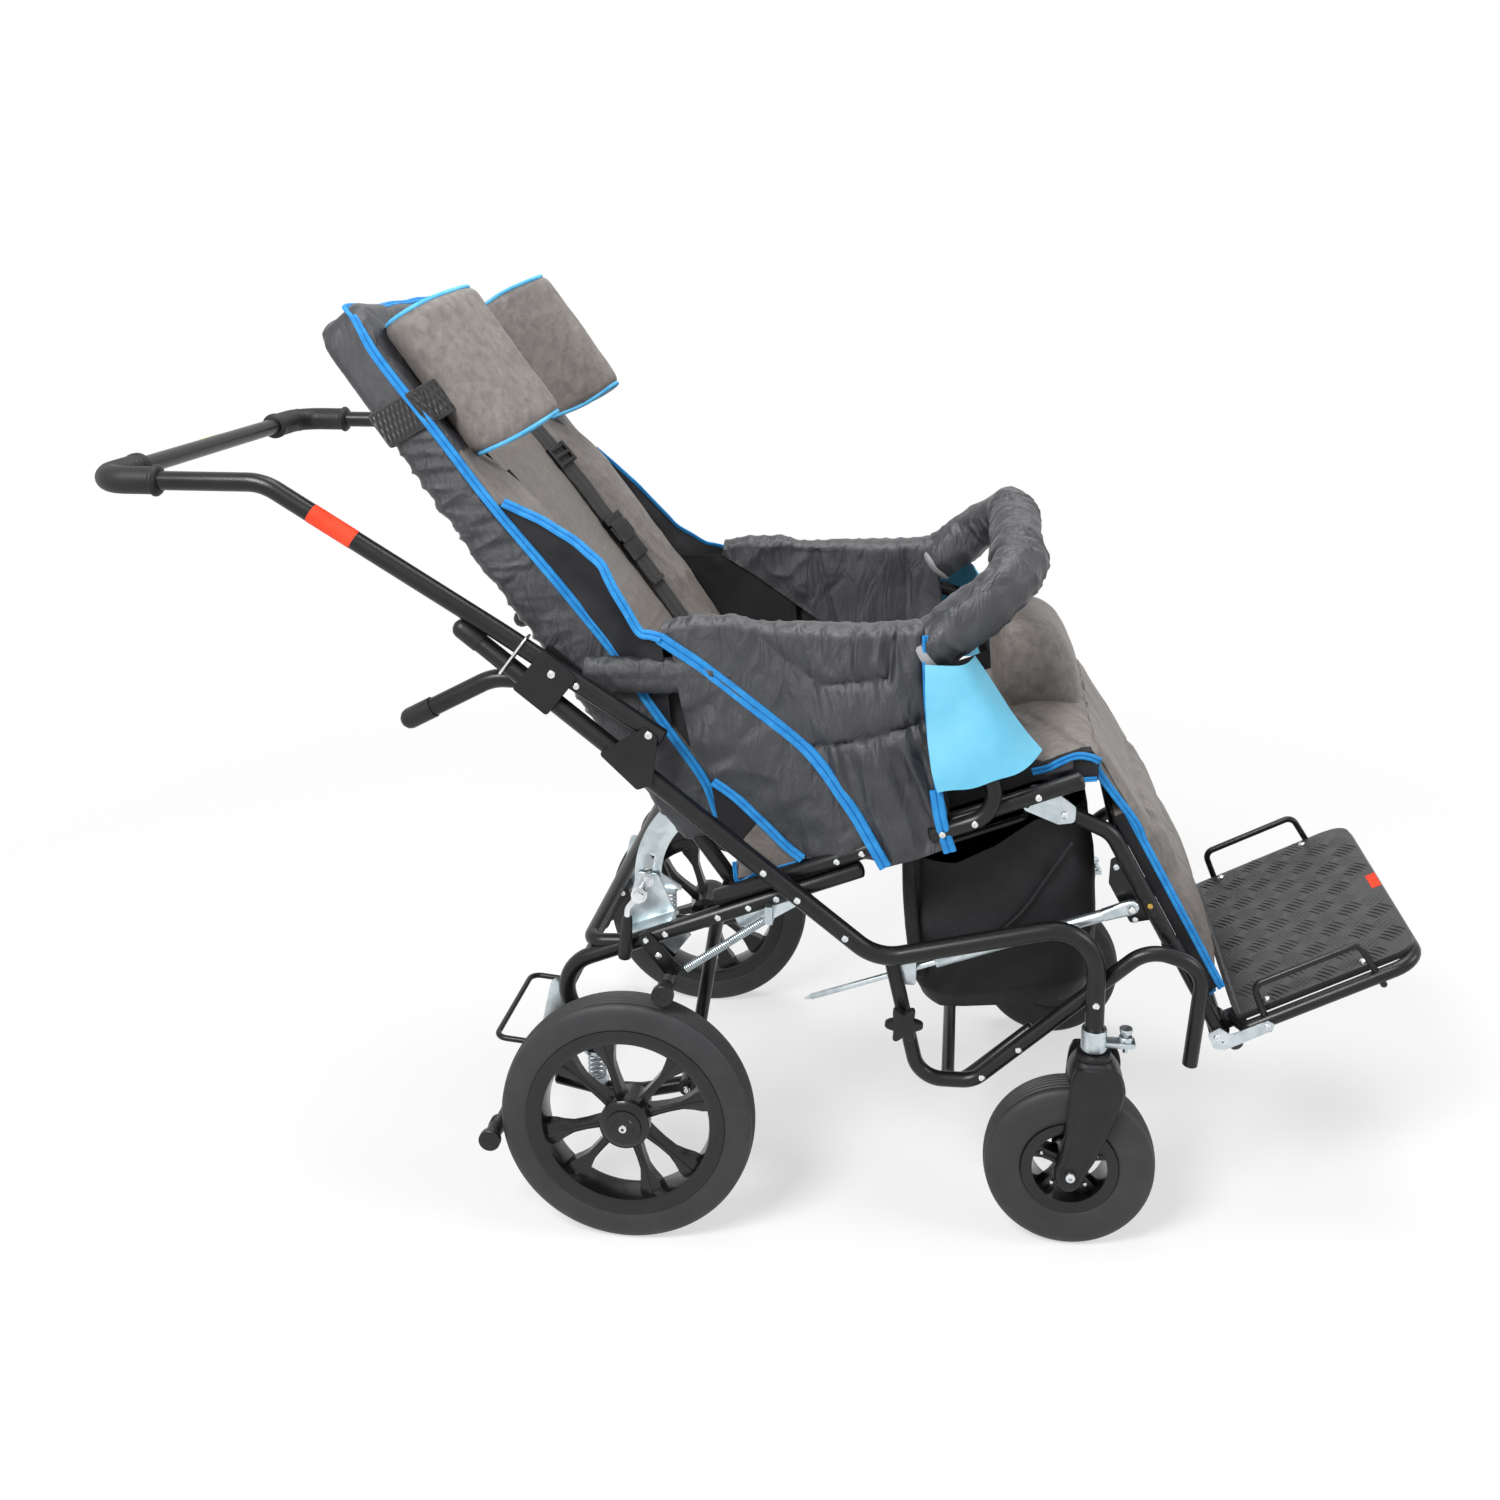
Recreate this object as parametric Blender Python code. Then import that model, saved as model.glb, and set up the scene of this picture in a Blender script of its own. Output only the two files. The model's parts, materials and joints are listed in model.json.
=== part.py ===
"""Special needs stroller: steel tube frame, reclining back, swing-up legrest with
flip-up footplate, castors, sprung rear wheels and a pedal brake.

Metres, +Z up, +X to the front, +Y to the stroller's left. Each object is one solid.
"""

import math

import bmesh
import bpy
from mathutils import Quaternion, Vector

# Overall placing: the rear axle's station, chosen so that the box is centred on X = 0
REAR_AXLE_X = -0.1522
FIT = 0.0005  # running clearance between moving pieces
SEAT_GAP = 0.0003  # gap left where two pieces rest on each other

# Wheels
REAR_RADIUS = 0.150
REAR_TRACK_HALF = 0.280
REAR_TYRE_HEIGHT = 0.037
REAR_TYRE_HALF = 0.0225
REAR_AXLE_RADIUS = 0.006
FRONT_RADIUS = 0.100
FRONT_TRACK_HALF = 0.238
FRONT_TYRE_HEIGHT = 0.046
FRONT_TYRE_HALF = 0.0245
FRONT_AXLE_RADIUS = 0.005
WHEELBASE = 0.5152
SPOKE_PAIRS = 4
SPOKE_HALF_ANGLE = math.radians(17)
FRONT_SPOKES = 5
WHEEL_SEGMENTS = 24

# Tubes
MAIN_R = 0.011
RAIL_R = 0.010
ARM_R = 0.0095
LOW_R = 0.009
CROSS_R = 0.008
LEG_R = 0.0095
INNER_R = 0.0075
WIRE_R = 0.004

# Side planes, measured from the middle
MAIN_Y = 0.250
HANDLE_Y = 0.266
RAIL_Y = MAIN_Y - MAIN_R - RAIL_R - FIT
LOW_Y = FRONT_TRACK_HALF - MAIN_R - LOW_R - FIT
LOW_CROSS_Y = LOW_Y - LOW_R - CROSS_R - FIT
ARM_Y = 0.2265
POST_Y = 0.2025
COVER_HALF = POST_Y + ARM_R + 0.0020  # the back cover goes round the posts
STRUT_Y = LOW_Y - LOW_R - 0.0075  # the strut runs just inside the lower tube
LEG_Y = STRUT_Y - 0.0110  # and the legrest tube just inside the strut
CALF_HALF = LEG_Y - 0.022
HANG_Y = STRUT_Y - 0.0270  # the basket hangs clear of the strut
SWING_Y = 0.2255

# Main tube, side view
MAIN_TOP = (-0.186, 0.7265)
MAIN_KNEE = (0.2896, 0.3456)
STEM_X = 0.540
MAIN_SHOULDER_Z = 0.398
STEM_END_Z = 0.2425

# Seat rail line: height over station
SEAT_SLOPE = 0.385
SEAT_REF = (0.310, 0.484)

# Push handle
HANDLE_END = (0.042, 0.604)
HANDLE_PIVOT = (0.030, 0.6118)
HANDLE_KNEE = (-0.404, 0.894)
HANDLE_REAR_X = -0.598
GRIP_R = 0.0165
GRIP_ALONG_SIDE = 0.073
GRIP_START_X = HANDLE_REAR_X + GRIP_ALONG_SIDE
GRIP_ALONG_BAR = 0.085
GRIP_BEND_R = 0.034

# Backrest
BACK_PIVOT = (0.118, 0.408)
BACK_ANGLE = math.radians(125.3)
BACK_LENGTH = 0.790
COVER_REAR = [(0.12, 0.036), (0.20, 0.050), (0.33, 0.056), (0.43, 0.055)]
COVER_REAR += [(0.50, 0.045), (0.58, 0.034), (0.81, 0.026)]
COVER_FRONT = [(0.12, 0.034), (0.30, 0.032), (0.56, 0.028), (0.64, 0.014)]
COVER_FRONT += [(0.76, 0.014), (0.81, 0.036)]
COVER_BOLSTER = [(0.12, 0.058), (0.30, 0.070), (0.50, 0.066), (0.55, 0.058)]
COVER_BOLSTER += [(0.59, 0.040), (0.76, 0.040), (0.81, 0.048)]
COVER_EDGE = [(0.12, 0.048), (0.31, 0.052), (0.43, 0.0475), (0.53, 0.040)]
COVER_EDGE += [(0.59, 0.036), (0.74, 0.033), (0.80, 0.044)]
WING_REAR = 0.0405
STRAP_Y = 0.098
PANEL_IN = 0.2045
PANEL_OUT = MAIN_Y - MAIN_R - 0.0006  # the folding handle passes just outside
SECTOR_IN = 0.092
SECTOR_OUT = 0.124
SECTOR_FROM = math.radians(117)
SECTOR_TO = math.radians(232)
SLOT_R = 0.108
CLAMP_ANGLE = math.radians(180)

# Legrest and footplate
LEG_PIVOT = (0.501, 0.511)
LEG_KNEE = (0.556, 0.4866)
LEG_ANGLE = math.radians(-61.4)
LEG_OUTER_LENGTH = 0.175
LEG_INNER_END = 0.285
FOOT_ANGLE = math.radians(26.7)
FOOT_LENGTH = 0.245
FOOT_PLATE_HALF = LEG_Y - 0.010
STRUT_PIN = (0.5805, 0.4005)
STRUT_EYE = (0.329, 0.311)
STRUT_TUBE_R = 0.007
STRUT_ROD_R = 0.004

# Rear suspension and brakes
SWING_PIVOT = (0.062, 0.161)
SPRING_X = -0.050
SPRING_LOW = 0.1595
SPRING_HIGH = 0.1980
SPRING_R = 0.010
SPRING_WIRE_R = 0.0014
SPRING_TURNS = 4
PEDAL_PIVOT = (-0.112, 0.205)
PEDAL_BAR = (-0.1625, 0.1185)
BRAKE_PIVOT = (0.0175, 0.3525)
BRAKE_ROLLER = (0.047, 0.3125)
ROLLER_R = 0.013
PULL_LOW = (0.0645, 0.3190)
PULL_HIGH = (0.158, 0.3845)
PULL_R = 0.0042
PULL_WIRE_R = 0.0010
PULL_TURNS = 9

# Front bar
BAR_R = 0.0255
BAR_ANGLE = math.radians(41.1)
BAR_START = (0.340, 0.7113)
BAR_CROSS = (0.452, 0.809)
SPIGOT_R = 0.007
SPIGOT_LENGTH = 0.040


def world(x, y, z):
    return Vector((x + REAR_AXLE_X, y, z))


def seat_z(x):
    return SEAT_REF[1] + SEAT_SLOPE * (x - SEAT_REF[0])


def along(start, angle, distance, aside=0.0):
    """Point at a distance along a side-view direction, and aside to its forward normal."""
    c, s = math.cos(angle), math.sin(angle)
    return (start[0] + c * distance + s * aside, start[1] + s * distance - c * aside)


def back(s, n, y):
    x, z = along(BACK_PIVOT, BACK_ANGLE, s, n)
    return world(x, y, z)


def leg(s, n, y):
    x, z = along(LEG_KNEE, LEG_ANGLE, s, -n)
    return world(x, y, z)


FOOT_PIVOT = along(LEG_KNEE, LEG_ANGLE, LEG_INNER_END)


def foot(s, n, y):
    x, z = along(FOOT_PIVOT, FOOT_ANGLE, s, -n)
    return world(x, y, z)


def clear_scene():
    for obj in list(bpy.data.objects):
        bpy.data.objects.remove(obj, do_unlink=True)


def make_collection(name):
    group = bpy.data.collections.new(name)
    bpy.context.scene.collection.children.link(group)
    return group


clear_scene()
parts = make_collection("special_needs_stroller")
helpers = make_collection("helpers")
helpers.hide_render = True


def material(name, colour, roughness, metallic):
    made = bpy.data.materials.new(name)
    made.use_nodes = True
    shader = made.node_tree.nodes["Principled BSDF"]
    shader.inputs["Base Color"].default_value = (*colour, 1.0)
    shader.inputs["Roughness"].default_value = roughness
    shader.inputs["Metallic"].default_value = metallic
    return made


BLACK = material("black_enamel", (0.012, 0.012, 0.013), 0.42, 0.0)
PLASTIC = material("black_plastic", (0.020, 0.020, 0.021), 0.50, 0.0)
RUBBER = material("tyre_rubber", (0.030, 0.030, 0.031), 0.78, 0.0)
ZINC = material("zinc_plate", (0.56, 0.60, 0.62), 0.35, 0.9)
BRASS = material("brass_button", (0.70, 0.52, 0.22), 0.30, 0.9)
NYLON = material("charcoal_nylon", (0.050, 0.052, 0.056), 0.75, 0.0)
VELOUR = material("taupe_velour", (0.160, 0.145, 0.135), 0.90, 0.0)
WEBBING = material("black_webbing", (0.015, 0.015, 0.016), 0.80, 0.0)
TREAD = material("tread_plate", (0.035, 0.035, 0.037), 0.55, 0.0)


def mesh_from(bm):
    bmesh.ops.recalc_face_normals(bm, faces=bm.faces)
    mesh = bpy.data.meshes.new("solid")
    bm.to_mesh(mesh)
    bm.free()
    return mesh


def fillet(points, radius, steps=4):
    """Polyline with each inner corner rounded to an arc."""
    radii = radius if isinstance(radius, (list, tuple)) else [radius] * (len(points) - 2)
    result = [points[0].copy()]
    for before, corner, after, r in zip(points, points[1:], points[2:], radii):
        to_back = (before - corner).normalized()
        to_front = (after - corner).normalized()
        turn = math.pi - to_back.angle(to_front)
        reach = min((before - corner).length, (after - corner).length) * 0.49
        tangent = min(r * math.tan(turn / 2), reach)
        if tangent < 1e-5:
            result.append(corner.copy())
            continue
        true_radius = tangent / math.tan(turn / 2)
        inward = (to_back + to_front).normalized()
        centre = corner + inward * (true_radius / math.cos(turn / 2))
        first = corner + to_back * tangent - centre
        axis = to_back.cross(to_front).normalized() * -1
        for k in range(steps + 1):
            result.append(centre + Quaternion(axis, turn * k / steps) @ first)
    result.append(points[-1].copy())
    return result


def ring_frames(points, closed):
    """Tangent and a carried-over side vector for each point of a path."""
    count = len(points)
    tangents = []
    for i in range(count):
        if closed:
            step = points[(i + 1) % count] - points[i - 1]
        else:
            step = points[min(i + 1, count - 1)] - points[max(i - 1, 0)]
        tangents.append(step.normalized())
    side = Vector((0, 0, 1)) if abs(tangents[0].y) > 0.9 else Vector((0, 1, 0))
    sides = []
    for tangent in tangents:
        side = (side - tangent * side.dot(tangent)).normalized()
        sides.append(side)
    return tangents, sides


def sweep(points, radius, sides=8, closed=False, bore=None):
    """Round tube along a path, as a mesh. A bore makes it a pipe with open ends."""
    bm = bmesh.new()
    tangents, across = ring_frames(points, closed)

    def rings_of(r):
        rings = []
        for point, tangent, side in zip(points, tangents, across):
            other = tangent.cross(side)
            ring = []
            for k in range(sides):
                a = 2 * math.pi * k / sides
                ring.append(bm.verts.new(point + r * (math.cos(a) * side + math.sin(a) * other)))
            rings.append(ring)
        return rings

    def skin(rings):
        pairs = list(zip(rings, rings[1:]))
        if closed:
            pairs.append((rings[-1], rings[0]))
        for low, high in pairs:
            for k in range(sides):
                j = (k + 1) % sides
                bm.faces.new((low[k], low[j], high[j], high[k]))

    outer = rings_of(radius)
    skin(outer)
    if bore:
        inner = rings_of(bore)
        skin(inner)
        for a, b in ((outer[0], inner[0]), (outer[-1], inner[-1])):
            for k in range(sides):
                j = (k + 1) % sides
                bm.faces.new((a[k], a[j], b[j], b[k]))
    elif not closed:
        bm.faces.new(outer[0])
        bm.faces.new(outer[-1])
    return mesh_from(bm)


def rod(start, end, radius, sides=8):
    return sweep([start, end], radius, sides)


def drill(start, end, radius, sides=8):
    """Cutter for a round hole whose flats, not its corners, lie at the radius."""
    return rod(start, end, radius / math.cos(math.pi / sides), sides)


def axle(spot, y_a, y_b, radius, sides=8):
    """Round bar across the stroller at a side-view spot."""
    x, z = spot
    return rod(world(x, y_a, z), world(x, y_b, z), radius, sides)


def cross_drill(spot, y_a, y_b, radius, sides=8):
    """Cutter for a round hole across the stroller."""
    x, z = spot
    return drill(world(x, y_a, z), world(x, y_b, z), radius, sides)


def revolve(profile, x, z, y, out, segments, ring=True):
    """Profile of (radius, offset) turned round an axis along Y; offset grows towards `out`."""
    bm = bmesh.new()
    step = 2 * math.pi / segments
    scale = 1 / math.cos(step / 2)
    columns = []
    for r, a in profile:
        if r < 1e-9:
            columns.append([bm.verts.new(world(x, y + out * a, z))] * segments)
            continue
        column = []
        for k in range(segments):
            t = -math.pi / 2 + (k + 0.5) * step
            spot = world(x + scale * r * math.cos(t), y + out * a, z + scale * r * math.sin(t))
            column.append(bm.verts.new(spot))
        columns.append(column)
    pairs = list(zip(columns, columns[1:]))
    if ring:
        pairs.append((columns[-1], columns[0]))
    for first, second in pairs:
        for k in range(segments):
            j = (k + 1) % segments
            corners = []
            for vert in (first[k], first[j], second[j], second[k]):
                if vert not in corners:
                    corners.append(vert)
            if len(corners) > 2:
                bm.faces.new(corners)
    return mesh_from(bm)


def plate(outline, y_a, y_b):
    """Side-view outline of (x, z) with a thickness from y_a to y_b."""
    bm = bmesh.new()
    near = [bm.verts.new(world(x, y_a, z)) for x, z in outline]
    far = [bm.verts.new(world(x, y_b, z)) for x, z in outline]
    bm.faces.new(near)
    bm.faces.new(far)
    for k in range(len(outline)):
        j = (k + 1) % len(outline)
        bm.faces.new((near[k], near[j], far[j], far[k]))
    return mesh_from(bm)


def block(corner_a, corner_b, place=world):
    """Box between two corners, in the world frame or in a leaning one."""
    bm = bmesh.new()
    (ax, ay, az), (bx, by, bz) = corner_a, corner_b
    verts = []
    for x in (ax, bx):
        for y in (ay, by):
            for z in (az, bz):
                spot = place(x, y, z) if place is world else place(x, z, y)
                verts.append(bm.verts.new(spot))
    for face in ((0, 1, 3, 2), (4, 6, 7, 5), (0, 4, 5, 1), (2, 3, 7, 6), (0, 2, 6, 4), (1, 5, 7, 3)):
        bm.faces.new([verts[k] for k in face])
    return mesh_from(bm)


def padded(low, high, nu, nv):
    """Closed pad between two surfaces given as functions of u and v in 0..1."""
    bm = bmesh.new()
    sheets = []
    for surface in (low, high):
        rows = []
        for i in range(nu + 1):
            rows.append([bm.verts.new(surface(i / nu, j / nv)) for j in range(nv + 1)])
        sheets.append(rows)
    for rows in sheets:
        for i in range(nu):
            for j in range(nv):
                bm.faces.new((rows[i][j], rows[i + 1][j], rows[i + 1][j + 1], rows[i][j + 1]))
    rim = [(i, 0) for i in range(nu)] + [(nu, j) for j in range(nv)]
    rim += [(i, nv) for i in range(nu, 0, -1)] + [(0, j) for j in range(nv, 0, -1)]
    for (i, j), (k, l) in zip(rim, rim[1:] + rim[:1]):
        bm.faces.new((sheets[0][i][j], sheets[0][k][l], sheets[1][k][l], sheets[1][i][j]))
    return mesh_from(bm)


def combine(base, tools, operation="UNION"):
    """Boolean of meshes, applied at once."""
    target = bpy.data.objects.new("target", base)
    helpers.objects.link(target)
    made = [target]
    for tool in tools:
        helper = bpy.data.objects.new("tool", tool)
        helpers.objects.link(helper)
        helper.display_type = "WIRE"
        made.append(helper)
        step = target.modifiers.new("step", "BOOLEAN")
        step.operation = operation
        step.solver = "EXACT"
        step.object = helper
    graph = bpy.context.evaluated_depsgraph_get()
    result = bpy.data.meshes.new_from_object(target.evaluated_get(graph))
    for obj in made:
        bpy.data.objects.remove(obj, do_unlink=True)
    return result


def cut(base, tools):
    return combine(base, tools, "DIFFERENCE")


def add_part(name, mesh, look, origin=None):
    """Puts a mesh made in world places into the scene, with its origin on its own axis."""
    origin = origin or Vector((0, 0, 0))
    for vert in mesh.vertices:
        vert.co -= origin
    mesh.name = name
    mesh.materials.clear()
    mesh.materials.append(look)
    obj = bpy.data.objects.new(name, mesh)
    obj.location = origin
    parts.objects.link(obj)
    return obj


def helix(start, end, radius, turns, points_per_turn=8):
    axis = (end - start).normalized()
    side = axis.orthogonal().normalized()
    other = axis.cross(side)
    count = turns * points_per_turn
    path = []
    for k in range(count + 1):
        a = 2 * math.pi * k / points_per_turn
        path.append(start.lerp(end, k / count) + radius * (math.cos(a) * side + math.sin(a) * other))
    return path


def coil_gap(path, wire, points_per_turn=8):
    """Least gap between neighbouring curls of a spring's wire."""
    least = 1.0
    for i, a in enumerate(path):
        for b in path[i + points_per_turn // 2 :]:
            least = min(least, (a - b).length)
    return least - 2 * wire


SIDES = (("right", -1), ("left", 1))


def main_tube(name, out):
    y, yf = out * MAIN_Y, out * FRONT_TRACK_HALF
    path = fillet(
        [
            world(MAIN_TOP[0], y, MAIN_TOP[1]),
            world(MAIN_KNEE[0], y, MAIN_KNEE[1]),
            world(STEM_X, yf, MAIN_SHOULDER_Z),
            world(STEM_X, yf, STEM_END_Z + 0.004),
        ],
        [0.060, 0.050],
        4,
    )
    slope = math.atan2(MAIN_KNEE[1] - MAIN_TOP[1], MAIN_KNEE[0] - MAIN_TOP[0])

    def beside(s, n):
        return along(MAIN_TOP, slope, s, -n)

    saddle = [beside(0.088, -0.0130), beside(0.136, -0.0130), beside(0.136, 0.0085), beside(0.088, 0.0085)]
    cheek = [beside(0.087, -0.0135), beside(0.137, -0.0135), beside(0.137, 0.046), beside(0.087, 0.046)]
    cheek_in = MAIN_Y - MAIN_R - FIT
    cheek_out = MAIN_Y + MAIN_R + FIT
    pieces = [
        plate(saddle, out * (cheek_in - 0.002), out * (cheek_out + 0.002)),
        plate(cheek, out * cheek_out, out * (cheek_out + 0.003)),
        plate(cheek, out * (cheek_in - 0.003), out * cheek_in),
    ]
    lever_y = out * (cheek_in - 0.003 - MAIN_R + 0.0012)
    lever = fillet(
        [
            world(-0.258, lever_y, 0.611),
            world(-0.160, lever_y, 0.662),
            world(-0.088, lever_y, 0.660),
        ],
        0.06,
        3,
    )
    pieces.append(sweep(lever, MAIN_R))
    pieces.append(rod(world(-0.265, lever_y, 0.6074), world(-0.235, lever_y, 0.623), 0.0125))
    pieces.append(rod(world(STEM_X, yf, STEM_END_Z), world(STEM_X, yf, STEM_END_Z + 0.024), 0.0145, 12))
    pieces.append(
        block(
            (STEM_X + 0.010, yf - 0.008, STEM_END_Z + 0.004),
            (STEM_X + 0.047, yf + 0.008, STEM_END_Z + 0.011),
        )
    )
    body = combine(sweep(path, MAIN_R), pieces)
    bores = [
        drill(world(STEM_X, yf, 0.20), world(STEM_X, yf, 0.306), 0.008 + FIT),
        drill(world(STEM_X + 0.036, yf, 0.22), world(STEM_X + 0.036, yf, 0.27), 0.003 + FIT),
    ]
    add_part(name, cut(body, bores), BLACK)


def lower_tube(name, out):
    y = out * LOW_Y
    corners = [
        (0.302, 0.340),
        (0.338, 0.180),
        (0.402, 0.180),
        (0.600, 0.358),
        (0.664, 0.338),
        (0.653, 0.216),
    ]
    path = fillet([world(x, y, z) for x, z in corners], [0.035, 0.035, 0.045, 0.035], 3)
    body = sweep(path, LOW_R, 8)
    if out < 0:
        ex, ez = STRUT_EYE
        rod_y = STRUT_Y
        face = LOW_Y - LOW_R
        x_rear, x_front, z_top = ex - 0.024, ex + 0.004, ez + 0.016
        cheek = [(x_rear, ez - 0.016), (x_front, ez - 0.016), (x_front, z_top), (x_rear, z_top)]
        top = [(x_rear, z_top - 0.0045), (x_front, z_top - 0.0045), (x_front, z_top), (x_rear, z_top)]
        inner = rod_y - STRUT_ROD_R - 0.001
        pieces = [
            plate(cheek, -(face - 0.002), -(face + 0.003)),
            plate(cheek, -(inner - 0.003), -inner),
            plate(top, -(inner - 0.003), -(face + 0.003)),
        ]
        body = combine(body, pieces)
        kx = 0.3205
        body = cut(body, [cross_drill((kx, 0.258), y - 0.03, y + 0.03, 0.003 + FIT)])
    add_part(name, body, BLACK)


def star_knob(name):
    y = -LOW_Y
    centre = (0.3205, 0.258)
    outline = []
    lobes = 6
    points = 4 * lobes
    for k in range(points):
        a = 2 * math.pi * k / points
        r = 0.0185 + 0.0030 * math.cos(lobes * a)
        outline.append((centre[0] + r * math.cos(a), centre[1] + r * math.sin(a)))
    y_near = y - LOW_R - FIT
    body = combine(
        plate(outline, y_near - 0.004, y_near - 0.016),
        [
            axle((centre[0], centre[1]), y_near, y_near - 0.006, 0.009, 10),
            axle((centre[0], centre[1]), y + LOW_R + 0.002, y_near - 0.006, 0.003),
        ],
    )
    add_part(name, body, PLASTIC, world(centre[0], y, centre[1]))


def lower_cross(name):
    y = LOW_CROSS_Y
    corners = [
        world(0.470, -y, 0.2411),
        world(0.372, -y, 0.1530),
        world(0.372, y, 0.1530),
        world(0.470, y, 0.2411),
    ]
    add_part(name, sweep(fillet(corners, 0.040, 5), CROSS_R, 8), BLACK)


def rail_line(x):
    return seat_z(x) - (2 * RAIL_R + 2 * SEAT_GAP) / math.cos(math.atan(SEAT_SLOPE))


def rear_chassis(name):
    base = None
    pieces = []
    bores = []
    for _, out in SIDES:
        y = out * RAIL_Y
        rail = fillet(
            [
                world(0.268, y, rail_line(0.268)),
                world(-0.098, y, rail_line(-0.098)),
                world(-0.053, y, 0.2000),
            ],
            0.045,
            4,
        )
        tube = sweep(rail, RAIL_R, 8)
        if base is None:
            base = tube
        else:
            pieces.append(tube)
        front_leg_y = SWING_Y - 0.021
        front_leg = fillet(
            [
                world(0.100, y, rail_line(0.100) - 0.004),
                world(0.088, out * front_leg_y, 0.320),
                world(SWING_PIVOT[0], out * front_leg_y, SWING_PIVOT[1]),
            ],
            0.03,
            3,
        )
        pieces.append(sweep(front_leg, 0.008, 6))
        pin = (SWING_PIVOT[0], SWING_PIVOT[1])
        pieces.append(axle((pin[0], pin[1]), out * front_leg_y, out * 0.2400, 0.004))
        pieces.append(axle((pin[0], pin[1]), out * 0.2372, out * 0.2410, 0.0075, 8))
        cup = world(SPRING_X, out * SWING_Y, SPRING_HIGH)
        pieces.append(rod(cup, cup + Vector((0, 0, 0.004)), 0.0155, 10))
        hanger = [(-0.103, 0.292), (-0.066, 0.240), (-0.100, 0.1955), (-0.124, 0.2010)]
        inner = RAIL_Y - RAIL_R
        pieces.append(plate(hanger, out * (inner + 0.003), out * (inner - 0.0015)))
        px, pz = PEDAL_PIVOT
        pieces.append(axle((px, pz), out * inner, out * (inner - 0.031), 0.004))
        bx, bz = BRAKE_PIVOT
        pieces.append(axle((bx, bz), y, out * (RAIL_Y + RAIL_R + 0.0078), 0.004))
        hook_y = RAIL_Y + RAIL_R
        hx, hz = PULL_HIGH
        low_corner = (hx + 0.0003, out * (hook_y - 0.006), hz - 0.004)
        pieces.append(block(low_corner, (hx + 0.0095, out * (hook_y + 0.010), hz + 0.018)))
        cx, cz = along(BACK_PIVOT, CLAMP_ANGLE, SLOT_R)
        stay = [(cx - 0.030, 0.338), (cx + 0.036, 0.363), (cx + 0.014, 0.415), (cx - 0.012, 0.417)]
        stay_in = 0.1965
        pieces.append(plate(stay, out * stay_in, out * (stay_in + 0.003)))
        foot_bar = [(cx - 0.028, rail_line(cx - 0.028)), (cx + 0.034, rail_line(cx + 0.034))]
        foot_bar += [(foot_bar[1][0], foot_bar[1][1] + 0.005), (foot_bar[0][0], foot_bar[0][1] + 0.005)]
        pieces.append(plate(foot_bar, out * stay_in, out * (RAIL_Y - 0.004)))
        bores.append(cross_drill((cx, cz), out * 0.18, out * 0.21, 0.004 + FIT))
    x_bar, z_bar = -0.056, 0.3385
    cross = fillet(
        [
            world(0.000, -RAIL_Y, rail_line(0.000)),
            world(x_bar, -RAIL_Y + 0.004, z_bar),
            world(x_bar, RAIL_Y - 0.004, z_bar),
            world(0.000, RAIL_Y, rail_line(0.000)),
        ],
        0.020,
        3,
    )
    pieces.append(sweep(cross, LOW_R, 8))
    add_part(name, cut(combine(base, pieces), bores), BLACK)


def seat_frame(name):
    base = None
    pieces = []
    for _, out in SIDES:
        y = out * RAIL_Y
        tube = sweep([world(0.100, y, seat_z(0.100)), world(0.516, y, seat_z(0.516))], RAIL_R, 8)
        if base is None:
            base = tube
        else:
            pieces.append(tube)
        hang = fillet(
            [
                world(0.292, out * (RAIL_Y - 0.006), seat_z(0.292)),
                world(0.292, out * HANG_Y, seat_z(0.292) - 0.046),
                world(0.458, out * HANG_Y, seat_z(0.458) - 0.046),
                world(0.458, out * (RAIL_Y - 0.006), seat_z(0.458)),
            ],
            0.010,
            2,
        )
        pieces.append(sweep(hang, WIRE_R, 6))
        lug = [(0.452, 0.516), (0.462, 0.546), (0.480, 0.546)]
        lug += [(0.514, 0.521), (0.513, 0.502), (0.494, 0.499)]
        lug_in = LEG_Y + LEG_R + 0.001
        pieces.append(plate(lug, out * lug_in, out * (lug_in + 0.003)))
        pieces.append(axle((0.469, 0.540), out * lug_in, out * RAIL_Y, 0.006, 8))
        px, pz = LEG_PIVOT
        pieces.append(axle((px, pz), out * (lug_in + 0.001), out * (LEG_Y - 0.013), 0.004))
    px, pz = BACK_PIVOT
    pieces.append(axle((px, pz), -RAIL_Y + 0.006, RAIL_Y - 0.006, LOW_R, 10))
    z = seat_z(0.500) - 0.004
    pieces.append(axle((0.500, z), -RAIL_Y, RAIL_Y, CROSS_R, 8))
    add_part(name, combine(base, pieces), BLACK)


def arm_paths(out):
    """Armrest tube and the stay that carries it, as two bent paths."""
    y = out * ARM_Y
    y_low = out * (RAIL_Y + RAIL_R + ARM_R + FIT)
    bend = along(BAR_START, BAR_ANGLE, -SPIGOT_LENGTH - 0.016)
    arm = fillet(
        [world(-0.042, y, 0.673), world(bend[0], y, bend[1]), world(BAR_START[0], y, BAR_START[1])],
        0.025,
        4,
    )
    stay = fillet(
        [
            world(0.350, y_low, seat_z(0.350)),
            world(0.428, y_low, seat_z(0.428)),
            world(0.386, y_low - out * 0.004, 0.655),
            world(0.285, y, 0.6905),
        ],
        [0.036, 0.040],
        4,
    )
    return arm, stay


def armrest_tube(name, out):
    y = out * ARM_Y
    arm, stay = arm_paths(out)
    body = combine(sweep(arm, ARM_R), [sweep(stay, ARM_R)])
    deep = along(BAR_START, BAR_ANGLE, -SPIGOT_LENGTH - 0.002)
    out_point = along(BAR_START, BAR_ANGLE, 0.010)
    bore = drill(world(deep[0], y, deep[1]), world(out_point[0], y, out_point[1]), SPIGOT_R + FIT)
    add_part(name, cut(body, [bore]), BLACK)


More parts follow.
